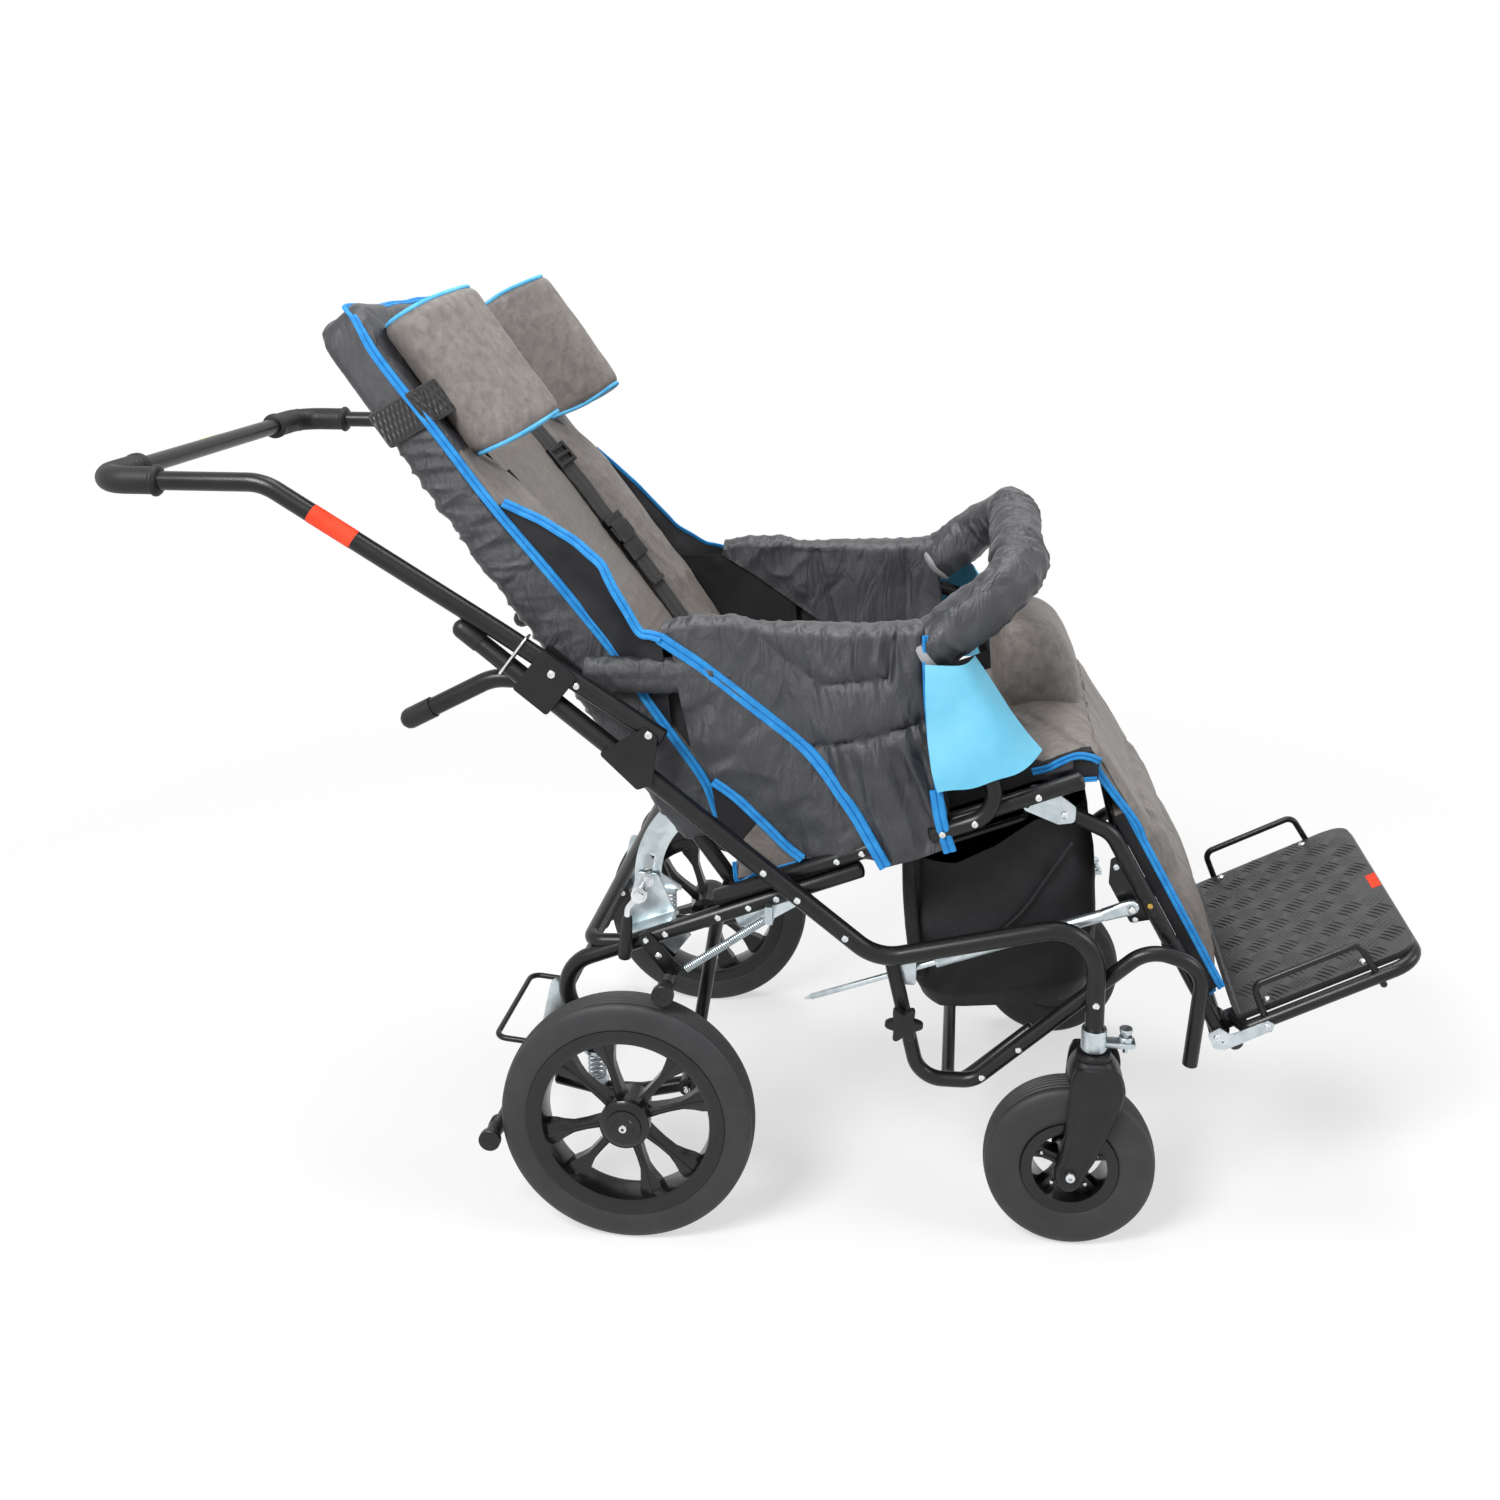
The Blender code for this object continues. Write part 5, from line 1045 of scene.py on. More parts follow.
def alongBar(distance):
    a = radians(bar["angle"])
    return (bar["start"][0] + cos(a) * distance, bar["start"][1] + sin(a) * distance)


def armrestTubes():
    for label, side, out in sides:
        bm = bmesh.new()
        y, yLow = out * armY, out * (railY + railR + armR + 0.0005)
        bend = alongBar(-bar["spigot"] - 0.016)
        tubeInto(bm, fillet([at(-0.042, y, 0.673), at(bend[0], y, bend[1]),
            at(bar["start"][0], y, bar["start"][1])], 0.025, 8), armR, 18)
        stay = fillet([at(0.35, yLow, seatZ(0.35)), at(0.428, yLow, seatZ(0.428)),
            at(0.386, yLow - out * 0.004, 0.655), at(0.285, y, 0.6905)], [0.036, 0.04], 8)
        tubeInto(bm, stay, armR, 18, 0, domes=(0.4, 0))
        donePiece("armrestTube" + label, bm, [enamel], "chassis", [f"armrest_tube_{side}"])
        for x in (0.362, 0.398):
            addBolt(x, yLow + out * (armR - 0.0006), seatZ(x), out, 0.95)


mainTubes()
handlePlates()
lowerTubes()
rearChassis()
seatFrame()
armrestTubes()
scatter("frameBolts", boltShape, frameBolts, 0.0044, steel, "chassis")
print("chassis tubes made,", len(frameBolts), "bolts")


# push handle

handle = {"end": (0.042, 0.604), "clampX": -0.14, "knee": (-0.404, 0.894), "rearX": -0.598,
    "grip": 0.0165, "gripBend": 0.034, "tapeFrom": 0.62, "tapeTo": 0.8}


def pushHandle():
    h = handle
    clamp = (h["clampX"], h["end"][1] + (h["end"][0] - h["clampX"]) * 0.65)
    half = [(h["end"][0], mainY, h["end"][1]), (clamp[0], mainY, clamp[1]), (h["knee"][0], handleY,
        h["knee"][1]), (h["rearX"], handleY, h["knee"][1])]
    corners = [at(x, -y, z) for x, y, z in half] + [at(x, y, z) for x, y, z in reversed(half)]
    path = fillet(corners, [0.3, 0.06, h["gripBend"], h["gripBend"], 0.06, 0.3], 10)
    bm = bmesh.new()
    tubeInto(bm, path, mainR, 22, 0, domes=(0.3, 0.3))
    for out in (-1, 1):  # warning tape on the sloping legs
        low, high = at(clamp[0], out * mainY, clamp[1]), at(h["knee"][0], out * handleY, h["knee"][1])
        tubeInto(bm, [low.lerp(high, h["tapeFrom"]), low.lerp(high, h["tapeTo"])], mainR + 0.00025, 22, 1)
    donePiece("pushHandle", bm, [enamel, redTape], "handle", ["push_handle"])
    bm = bmesh.new()
    a = radians(62)
    ring = [(mainR + 0.0003) * Vector((cos(t), 0, sin(t))) for t in (a - 0.45, a - 0.2, a + 0.05,
        a + 0.3)]
    rows = [[bm.verts.new(at(h["rearX"], y, h["knee"][1]) + Vector((-p.x, 0, p.z))) for p in ring]
        for y in (-0.026, 0.026)]
    for k in range(3):
        bm.faces.new((rows[0][k], rows[0][k + 1], rows[1][k + 1], rows[1][k]))
    patch = donePiece("handleTapePatch", bm, [yellowTape], "handle")
    thick = patch.modifiers.new("thick", "SOLIDIFY")
    thick.thickness = 0.0004
    spots = []
    for out in (-1, 1):
        low, high = at(h["end"][0], out * mainY, h["end"][1]), at(clamp[0], out * mainY, clamp[1])
        spots.append(boltSpot(low.lerp(high, 0.52) + Vector((0, out * (mainR - 0.0006), 0)), out, 0.95))
    scatter("handleBolts", boltShape, spots, 0.0044, steel, "handle")


def handleGrips():
    h = handle
    for label, side, out in sides:
        corners = [at(h["rearX"] + 0.073, out * handleY, h["knee"][1]), at(h["rearX"], out * handleY,
            h["knee"][1]), at(h["rearX"], out * (handleY - 0.085), h["knee"][1])]
        line = evenLine(fillet(corners, h["gripBend"], 24), 0.0015)
        run, total = 0.0, sum((b - a).length for a, b in zip(line, line[1:]))
        radii = []
        for k, p in enumerate(line):
            if k:
                run += (p - line[k - 1]).length
            r = h["grip"] - 0.0006
            if run < 0.008:
                r = h["grip"] + 0.003 * sin(pi * min(1, run / 0.008)) - 0.001  # flange
            elif run > total - 0.006:
                r = h["grip"] + 0.0012
            elif run > 0.07:
                # rings on the cross bar end
                r += 0.0011 * (abs(sin((run - 0.07) * pi / 0.0085)) - 0.5)
            radii.append(r)
        bm = bmesh.new()
        tubeInto(bm, line, radii, 24, 0, domes=(0.15, 0.15))
        donePiece("handleGrip" + label, bm, [gripRubber], "handle", [f"handle_grip_{side}"],
            50)


def lockBails():
    across = Vector((0.6, 0, 0.8))
    for label, side, out in sides:
        centre = at(-0.1275, out * mainY, 0.6955)
        wide = Vector((0, mainR + 0.0016 + 0.0003, 0))
        corners = [centre + wide - across * 0.021, centre + wide + across * 0.0295, centre - wide
            + across * 0.0295, centre - wide - across * 0.021]
        bm = bmesh.new()
        tubeInto(bm, fillet(corners, 0.009, 8), 0.0016, 12, 0, domes=(1, 1))
        donePiece("lockBail" + label, bm, [steel], f"lock_bail_{side}", [f"lock_bail_{side}"])


pushHandle()
handleGrips()
lockBails()
print("push handle made")


# backrest frame, recline sector and clamp lever

sector = {"inner": 0.092, "outer": 0.124, "from": 117, "to": 232, "slot": 0.108, "slotFrom": 165,
    "slotTo": 196, "half": 0.0048}


def backrestFrame():
    pivot = jointAt["backrest_recline"]
    bm = bmesh.new()
    top = 0.79
    path = fillet([back(0, 0, -postY), back(top, 0, -postY), back(top, 0, postY), back(0, 0, postY)],
        0.03, 8)
    tubeInto(bm, path, armR, 18)
    for out in (-1, 1):
        latheInto(bm, [(lowR + 0.0004, -0.008), (0.015, -0.008), (0.0155, -0.007), (0.0155, 0.008),
            (0.015, 0.009), (lowR + 0.0004, 0.009)], Vector((pivot.x, out * postY, pivot.z)), out, 32)
    donePiece("backrestFrame", bm, [enamel], "backrest", ["backrest_frame"])


def reclineSectors():
    px, pz = jointSpot("backrest_recline")

    def arc(r, a, b, steps):
        turns = [radians(a + (b - a) * k / steps) for k in range(steps + 1)]
        return [(px + r * cos(t), pz + r * sin(t)) for t in turns]

    q = sector
    for label, side, out in sides:
        bm = bmesh.new()
        yA, yB = out * (postY - armR - 0.0033), out * (postY - armR - 0.0003)
        for a, b in ((q["from"], q["slotFrom"]), (q["slotTo"], q["to"])):
            steps = max(4, int((b - a) / 3))
            plateInto(bm, arc(q["outer"], a, b, steps) + arc(q["inner"], b, a, steps), yA, yB)
        for low, high in ((q["inner"], q["slot"] - q["half"]), (q["slot"] + q["half"], q["outer"])):
            a, b = q["slotFrom"] - 0.3, q["slotTo"] + 0.3
            plateInto(bm, arc(high, a, b, 10) + arc(low, b, a, 10), yA, yB)
        donePiece("reclineSector" + label, bm, [zinc], "backrest", [f"recline_sector_{side}"])


def reclineLever():
    cx, cz = jointSpot("recline_lever_turn")
    outer = railY + railR + 0.002
    bm = bmesh.new()
    pinInto(bm, cx, cz, -0.186, -(outer + 0.009), 0.004, 16, 1)
    for yA, yB, r in ((-0.1999, -0.2035, 0.0092), (-0.2037, -0.208, 0.0078), (-0.186, -0.1893, 0.008),
            (-outer, -(outer + 0.0035), 0.0095), (-(outer + 0.0035), -(outer + 0.011), 0.0075)):
        pinInto(bm, cx, cz, yA, yB, r, 6 if r in (0.0078, 0.0075) else 24, 1)
    line = fillet([at(cx, -(outer + 0.005), cz), at(cx - 0.012, -(outer + 0.009), cz - 0.014),
        at(cx - 0.017, -(outer + 0.0095), cz - 0.074)], 0.01, 6)
    tubeInto(bm, line[:-1] + [line[-2].lerp(line[-1], 0.4)], 0.0038, 14, 1)
    grip = [line[-2].lerp(line[-1], t) for t in (0.12, 0.2, 0.35, 0.6, 0.85, 1.0)]
    tubeInto(bm, grip, [0.0055, 0.0062, 0.0066, 0.0074, 0.0084, 0.008], 18, 0, domes=(0.2, 0.5))
    donePiece("reclineLever", bm, [plastic, steel], "recline_lever", ["recline_lever"])


backrestFrame()
reclineSectors()
reclineLever()
print("backrest frame made")


# legrest, strut and footplate

legrest = {"outer": 0.175, "inner": 0.285, "pin": (0.5805, 0.4005), "eye": (0.329, 0.311),
    "buttonAt": 0.096}


def legrestFrame():
    px, pz = jointSpot("legrest_angle")
    bm = bmesh.new()
    spots = []
    for out in (-1, 1):
        y = out * legY
        tubeInto(bm, fillet([at(px, y, pz), leg(0, 0, y), leg(legrest["outer"], 0, y)], 0.035, 8), legR,
            20)
        tubeInto(bm, [leg(legrest["outer"] - 0.026, 0, y), leg(legrest["outer"] - 0.012, 0, y),
            leg(legrest["outer"] + 0.001, 0, y)], [legR + 0.0012, legR + 0.0018, legR + 0.0014], 20, 1,
            domes=(0.1, 0.1))
        pinInto(bm, px, pz, out * (legY - 0.0095), out * (legY + 0.0095), 0.0108, 20)
        for k in range(6):
            s = 0.052 + 0.0155 * k
            if abs(s - legrest["buttonAt"]) > 0.006 or out > 0:
                spots.append(boltSpot(leg(s, 0, y) + Vector((0, out * (legR - 0.0003), 0)), out))
    rodInto(bm, leg(0.028, 0, -legY), leg(0.028, 0, legY), crossR, 18)
    fin = rounded(mm((30, -4), (30, -16), (55, -31), (110, -31), (118, -4)), 0.004)
    plateInto(bm, fin, -(legY - 0.0035), -(legY - 0.0005), 0, place=onLeg)
    sx, sz = legrest["pin"]
    pinInto(bm, sx, sz, -(legY - 0.003), -(strutY + 0.008), 0.003, 14, 2)
    donePiece("legrestFrame", bm, [enamel, plastic, steel], "legrest", ["legrest_frame"])
    holes = patternShape("legHole", holeDisc)
    scatter("legrestHoles", holes, spots, 0.0033, darkNylon, "legrest")
    bpy.data.objects.remove(holes)
    bolts = [boltSpot(at(sx, -(strutY + 0.0085), sz), -1, 1.05)]
    bolts += [boltSpot(leg(s, n, -(legY + 0.0002)), -1, 0.9) for s, n in ((0.108, -0.024),
        (0.04, -0.014))]
    scatter("legrestBolts", boltShape, bolts, 0.0046, steel, "legrest")


def holeDisc(bm):
    skinRings(bm, [circle(bm, 1, h, 14) for h in (-0.3, 0.12)], 0)


def lengthButton():
    spot = leg(legrest["buttonAt"], 0, -legY)
    bm = bmesh.new()
    latheInto(bm, [(0, legR + 0.003), (0.002, legR + 0.0028), (0.0032, legR + 0.002),
        (0.0035, legR + 0.0008), (0.0035, innerR + 0.0004), (0, innerR + 0.0004)], spot, -1, 24,
        ring=False)
    donePiece("lengthButton", bm, [brass], "length_button", ["length_button"])


def legrestStrut():
    pin, eye = at(legrest["pin"][0], -strutY, legrest["pin"][1]), at(legrest["eye"][0], -strutY,
        legrest["eye"][1])
    run = (eye - pin).normalized()
    neck = eye - run * 0.03
    bm = bmesh.new()
    tubeInto(bm, [pin + run * 0.03, pin + run * 0.036, neck, neck + run * 0.002],
        [0.0062, 0.007, 0.007, 0.006], 20)
    up = Vector((-run.z, 0, run.x))
    rings = []
    for s, w, t in ((-0.0085, 0.003, 0.0045), (-0.006, 0.007, 0.0048), (0.0, 0.0088, 0.0048),
            (0.01, 0.0086, 0.0046), (0.022, 0.0076, 0.0056), (0.034, 0.0066, 0.0064)):  # flattened fork end
        centre = pin + run * s
        ring = []
        for n in range(16):
            c, d = squared(2 * pi * n / 16, 0.7, 0.5)
            ring.append(bm.verts.new(centre + up * (w * c) + Vector((0, t * d, 0))))
        rings.append(ring)
    skinRings(bm, rings, 0)
    rodInto(bm, neck - run * 0.01, eye + run * 0.128, 0.0036, 14, 0, domes=(0, 0.4))
    tubeInto(bm, [eye + run * 0.126, eye + run * 0.137], [0.003, 0.0012], 12, 0)
    donePiece("legrestStrut", bm, [zinc], "strut", ["legrest_strut"])


def starKnob():
    kx, kz = jointSpot("star_knob_turn")
    lobes, near = 6, -(lowY + lowR + 0.0005)
    bm = bmesh.new()
    rings = []
    for depth, grow in ((0.0045, -0.0012), (0.0055, 0.0), (0.014, 0.0), (0.0155, -0.0012),
            (0.0162, -0.004)):
        ring = []
        for k in range(72):
            a = 2 * pi * k / 72
            r = 0.0182 + 0.0042 * cos(lobes * a) + grow
            ring.append(bm.verts.new(at(kx + r * cos(a), near - depth, kz + r * sin(a))))
        rings.append(ring)
    skinRings(bm, rings, 0)
    pinInto(bm, kx, kz, near, near - 0.0065, 0.009, 24)
    pinInto(bm, kx, kz, -(lowY - lowR - 0.002), near - 0.006, 0.003, 14, 1)
    donePiece("starKnob", bm, [plastic, zinc], "star_knob", ["star_knob"], 30)


def footrestFrame():
    bm = bmesh.new()
    for out in (-1, 1):
        rodInto(bm, leg(0.05, 0, out * legY), leg(legrest["inner"], 0, out * legY), innerR, 18)
    end = legY + 0.0085
    rodInto(bm, leg(legrest["inner"], 0, -end), leg(legrest["inner"], 0, end), innerR, 18, 0,
        domes=(0.3, 0.3))
    donePiece("footrestFrame", bm, [enamel], "footrest", ["footrest_frame"])


tread = {"half": 0.18, "from": 0.03, "to": 0.25, "rise": 0.0046, "thick": 0.008, "flange": 0.024,
    "pitch": 0.03, "corner": 0.026}


def footplateFrame():
    y = tread["half"] + 0.01
    bm = bmesh.new()
    loop = fillet([foot(0.02, -0.0005, -y + 0.032), foot(0.032, -0.0005, -y), foot(0.245, 0, -y),
        foot(0.245, 0, y), foot(0.032, -0.0005, y), foot(0.02, -0.0005, y - 0.032)],
        [0.008, 0.03, 0.03, 0.008], 8)
    tubeInto(bm, loop, crossR, 20)
    spots = []
    for out in (-1, 1):
        rodInto(bm, foot(0, 0, out * (legY - 0.05)), foot(0, 0, out * (legY - 0.018)), 0.0125, 24)
        yA, yB = sorted((out * (legY - 0.047), out * (legY - 0.021)))
        blockInto(bm, (0.006, yA, -0.005), (0.028, yB, 0.005), 0, 0.001, place=onFoot)
        rail = fillet([foot(0.055, -0.012, out * y), foot(0.06, 0.046, out * y),
            foot(0.19, 0.046, out * y), foot(0.196, -0.012, out * y)], 0.012, 8)
        tubeInto(bm, rail, 0.0042, 14, 0, domes=(0.8, 0.8))
        link = rounded(mm((-12, 16), (4, 18), (12, 4), (58, 4), (64, -3), (58, -9.5), (-2, -10.5),
            (-13, -4)), 0.006)
        plateInto(bm, link, out * (y + 0.0082), out * (y + 0.0107), 1, place=onFoot)
        for s, n in ((-0.004, 0.008), (0.055, -0.003)):
            spots.append(boltSpot(foot(s, n, out * (y + 0.0105)), out, 0.9))
        rodInto(bm, foot(0.012, -0.008, out * (y - 0.004)), foot(0.012, -0.0165, out * (y - 0.004)),
            0.0088, 18, 2, domes=(0, 0.6))
    donePiece("footplateFrame", bm, [enamel, zinc, rubber], "footplate", ["footplate_frame"])
    scatter("footplateBolts", boltShape, spots, 0.0044, steel, "footplate")


def treadBar(bm):  # pointed oval bar, one unit long
    rings = []
    for x in (-0.5, -0.44, -0.3, 0, 0.3, 0.44, 0.5):
        w = 0.052 * max(0.06, 1 - (2 * x) ** 2) ** 0.5
        bow = 0.05 * (1 - (2 * x) ** 2)
        rings.append([bm.verts.new((x, bow + a * w, h * w)) for a, h in ((-1, 0), (-0.4, 1.05),
            (0.4, 1.05), (1, 0))])
    skinRings(bm, rings, 0)


def footplate():
    t = tread
    bm = bmesh.new()
    y0, low, high = t["half"], t["rise"], t["rise"] + t["thick"]
    outline = [(t["from"], -y0), (t["to"], -y0), (t["to"], y0), (t["from"], y0)]
    part = bmesh.new()
    shape = []
    for k in range(4):
        before, corner, after = (Vector((*outline[j % 4], 0)) for j in (k - 1, k, k + 1))
        r = t["corner"] if k in (1, 2) else 0.003
        shape += fillet([(before + corner) / 2, corner, (after + corner) / 2], r, 8)[1:-1]
    skinRings(part, [[part.verts.new(foot(p.x, level, p.y)) for p in shape] for level in (low, high)], 0)
    mergeInto(bm, part, 0)
    flange = [(t["from"] - 0.004, low), (t["from"] + 0.002, low), (t["from"] + 0.002, high),
        (t["from"], high + 0.002), (t["from"], low + t["flange"]), (t["from"] - 0.004, low + t["flange"])]
    plateInto(bm, flange, -y0, y0, 0, 0.0006, place=onFoot)
    blockInto(bm, (t["to"] - 0.012, -0.018, high - 0.0003), (t["to"] + 0.0006, 0.018, high + 0.0004), 1,
        0.0002, place=onFoot)
    donePiece("footplate", bm, [treadFinish, redTape], "footplate", ["footplate"], 30)
    spots = []
    normal = (foot(0, 1, 0) - foot(0, 0, 0)).normalized()
    ahead = (foot(1, 0, 0) - foot(0, 0, 0)).normalized()
    pitch = t["pitch"]
    columns, rows = int((t["to"] - t["from"]) / pitch), int(2 * y0 / pitch)
    for i in range(columns):
        for j in range(rows):
            s, y = t["from"] + 0.006 + pitch * (i + 0.5), -y0 + pitch * (j + 0.5)
            angle = radians(-58 if (i + j) % 2 else 32)
            heading = ahead * cos(angle) + Vector((0, sin(angle), 0))
            across = normal.cross(heading)
            for k in range(-2, 3):
                spot = foot(s, high - 0.0002, y) + across * (k * 0.006)
                onTape = abs(spot.y) < 0.024 and s > t["to"] - 0.03
                if not onTape and abs(spot.y) < y0 - 0.006 and s + 0.012 < t["to"] - (0.012
                        if abs(y) > y0 - 0.04 else 0):
                    spots.append((spot, normal, heading, 1.0 - 0.06 * abs(k)))
    bar = patternShape("treadBar", treadBar)
    scatter("treadBars", bar, spots, 0.029, treadFinish, "footplate")
    rear = []
    slanting = (ahead.cross(Vector((0, 1, 0))) + Vector((0, 0.7, 0))).normalized()
    for j in range(rows):  # the same bars on the upstand
        y = -y0 + pitch * (j + 0.5)
        for k in range(-1, 2):
            rear.append((foot(t["from"] - 0.0002, low + 0.014, y + k * 0.0085), ahead, slanting, 0.55))
    scatter("upstandBars", bar, rear, 0.029, treadFinish, "footplate")
    bpy.data.objects.remove(bar)
    plates = []
    for out in (-1, 1):
        for s in (0.066, 0.186):
            plates.append((foot(s, high, out * (y0 - 0.01)), normal, (1, 0, 0), 1.0))
    scatter("footplateRivets", rivetShape, plates, 0.0048, steel, "footplate")


treadFinish = plasticFinish("treadPlate", "2a2a2c", "353537", 0.3, 0.44, 500, 0.5)
legrestFrame()
lengthButton()
legrestStrut()
starKnob()
footrestFrame()
footplateFrame()
footplate()
print("legrest and footplate made")


# suspension and brakes

brake = {"roller": (0.047, 0.3125), "rollerR": 0.013, "bar": (-0.1625, 0.1185),
    "pullLow": (0.0645, 0.319), "pullHigh": (0.158, 0.3845)}


def rollerInto(bm, x, z, y, out, long, mat=0):  # ribbed brake roller with a flat disc end
    r = brake["rollerR"]
    profile = mm((0.1, 0), (8.5, 0), (9, 2))
    for k in range(6):
        profile += [(0.0102, 0.004 + 0.0022 * k), (0.0094, 0.005 + 0.0022 * k)]
    profile += [(0.0095, long - 0.01), (r - 0.001, long - 0.009), (r, long - 0.0075), (r, long - 0.001),
        (r - 0.001, long), (0.006, long), (0.0055, long - 0.0008), (0.0001, long - 0.0008)]
    latheInto(bm, profile, at(x, y, z), out, 36, mat)


def swingArms():
    for label, side, out in sides:
        px, pz = jointSpot(f"suspension_{side}")
        y = out * swingY
        bm = bmesh.new()
        tubeInto(bm, fillet([at(px, y, pz), at(0.004, y, 0.1475), at(-0.04, y, 0.1475),
            at(-0.098, y, 0.16)], 0.05, 8), lowR, 18, 0, domes=(0, 0.5))
        pinInto(bm, px, pz, out * (swingY - 0.0105), out * (swingY + 0.011), 0.011, 24)
        pinInto(bm, 0, 0.15, y, out * (rearY + 0.0145), 0.006, 18, 1)
        rodInto(bm, at(-0.05, y, 0.1535), at(-0.05, y, 0.1595), 0.014, 24, 1)
        donePiece("swingArm" + label, bm, [enamel, zinc], f"swing_{side}", [f"swing_arm_{side}"])


def springs():
    for label, side, out in sides:
        bm = bmesh.new()
        y = out * swingY
        tubeInto(bm, helixLine(at(-0.05, y, 0.1612), at(-0.05, y, 0.1963), 0.01, 6, 20), 0.0014, 10)
        donePiece("suspensionSpring" + label, bm, [zinc], "chassis", [f"suspension_spring_{side}"])
        bm = bmesh.new()
        y = out * (railY + railR + 0.0055)
        low, high = at(brake["pullLow"][0], y, brake["pullLow"][1]), at(brake["pullHigh"][0], y,
            brake["pullHigh"][1])
        tubeInto(bm, helixLine(low, high, 0.0042, 44, 10), 0.0009, 6)
        donePiece("brakeSpring" + label, bm, [zinc], "chassis", [f"brake_spring_{side}"])


def brakeLevers():
    for label, side, out in sides:
        vx, vz = jointSpot(f"brake_lever_{side}_turn")
        gx, gz = brake["roller"]
        lean, length = atan2(gz - vz, gx - vx), hypot(gx - vx, gz - vz)
        c, s = cos(lean), sin(lean)
        yIn = railY + railR + 0.0012
        outline = [(-0.009, -0.005), (-0.009, 0.005), (-0.004, 0.009), (length + 0.003, 0.008),
            (length + 0.007, 0.003), (length + 0.004, -0.015), (length - 0.008, -0.012), (-0.004, -0.009)]
        shape = rounded([(vx + c * a + s * n, vz + s * a - c * n) for a, n in outline], 0.003)
        bm = bmesh.new()
        plateInto(bm, shape, out * yIn, out * (yIn + 0.004))
        yRoll = rearY - rearWheel["half"] + 0.004
        pinInto(bm, gx, gz, out * (yIn + 0.001), out * (yRoll + 0.002), 0.005, 16)
        rollerInto(bm, gx, gz, out * yRoll, out, 0.04, 1)
        donePiece("brakeLever" + label, bm, [enamel, plastic], f"brake_lever_{side}",
            [f"brake_lever_{side}"])
        spots = [boltSpot(at(vx + c * 0.024, out * (yIn + 0.0038), vz + s * 0.024), out)]
        scatter("brakeRivet" + label, rivetShape, spots, 0.0042, steel, f"brake_lever_{side}")


def pedalBar():
    px, pz = jointSpot("pedal_brake")
    bx, bz = brake["bar"]
    yRoll = rearY - rearWheel["half"] + 0.002
    armLine = railY - railR - 0.017
    bm = bmesh.new()
    pinInto(bm, bx, bz, -(yRoll + 0.004), yRoll + 0.004, 0.006, 18)
    for out in (-1, 1):
        rollerInto(bm, bx, bz, out * yRoll, out, 0.044, 1)
        rodInto(bm, at(px, out * armLine, pz), at(bx, out * armLine, bz), 0.006, 16)
        pinInto(bm, px, pz, out * (armLine - 0.009), out * (armLine + 0.0135), 0.009, 20)
    loop = fillet([at(bx, -0.085, bz), at(-0.222, -0.085, bz + 0.006), at(-0.222, 0.085, bz + 0.006),
        at(bx, 0.085, bz)], 0.014, 8)
    tubeInto(bm, loop, 0.0038, 14)
    donePiece("brakePedalBar", bm, [enamel, plastic], "pedal", ["brake_pedal_bar"])


swingArms()
springs()
brakeLevers()
pedalBar()
print("suspension and brakes made")


# soft goods

def tableAt(table, x):
    return float(np.interp(x, [a for a, b in table], [b for a, b in table]))


def ripple(spot, stretch, seed=0.0):  # smooth noise in about -1..1
    return noise.noise(Vector((spot.x * stretch[0] + seed, spot.y * stretch[1] + seed,
        spot.z * stretch[2] - seed)))


def crease(spot, stretch, seed=0.0):  # sharp-topped folds in 0..1
    return (1 - abs(ripple(spot, stretch, seed))) ** 3


def lineGap(x, z, line):  # distance in the side view from a polyline
    best = 9.0
    for (ax, az), (bx, bz) in zip(line, line[1:]):
        dx, dz = bx - ax, bz - az
        t = min(1.0, max(0.0, ((x - ax) * dx + (z - az) * dz) / (dx * dx + dz * dz)))
        best = min(best, hypot(x - ax - t * dx, z - az - t * dz))
    return best


def fromBack(spot):  # along and forward of the backrest
    a = radians(backLean)
    pivot = jointAt["backrest_recline"]
    dx, dz = spot.x - pivot.x, spot.z - pivot.z
    return dx * cos(a) + dz * sin(a), dx * sin(a) - dz * cos(a)


stuffing = {"quality": 4, "use_pressure": True, "uniform_pressure_force": 4.0, "tension_stiffness": 12,
    "compression_stiffness": 12}
swellFrames = 20


def puffed(name, bm, voxel, cap, held=None):  # inflate a closed form as stuffed cloth
    obj = addObject(name + "Cloth", meshFrom(name, bm))
    scene = bpy.context.scene
    grain = obj.modifiers.new("grain", "REMESH")
    grain.mode = "VOXEL"
    grain.voxel_size = voxel
    obj.data = meshed(obj)
    count = len(obj.data.vertices)
    start = np.empty(count * 3)
    obj.data.vertices.foreach_get("co", start)
    start = start.reshape(-1, 3)
    if held:
        group = obj.vertex_groups.new(name="held")
        for vert in obj.data.vertices:
            weight = held(vert.co)
            if weight > 0.01:
                group.add([vert.index], weight, "REPLACE")
    cloth = obj.modifiers.new("cloth", "CLOTH")
    for key, value in stuffing.items():
        setattr(cloth.settings, key, value)
    cloth.settings.effector_weights.gravity = 0
    cloth.collision_settings.use_collision = False
    if held:
        cloth.settings.vertex_group_mass = "held"
    cloth.point_cache.frame_start = 1
    cloth.point_cache.frame_end = swellFrames
    for step in range(swellFrames):
        scene.frame_set(step + 1)
    graph = bpy.context.evaluated_depsgraph_get()
    swollen = np.empty(count * 3)
    obj.evaluated_get(graph).data.vertices.foreach_get("co", swollen)
    obj.modifiers.clear()
    scene.frame_set(1)
    move = swollen.reshape(-1, 3) - start
    length = np.linalg.norm(move, axis=1, keepdims=True)
    move *= np.minimum(1.0, cap / np.maximum(length, 1e-9))
    obj.data.vertices.foreach_set("co", (start + move).ravel())
    finer = obj.modifiers.new("finer", "SUBSURF")
    finer.levels = 1
    mesh = meshed(obj)
    bpy.data.objects.remove(obj)
    return mesh


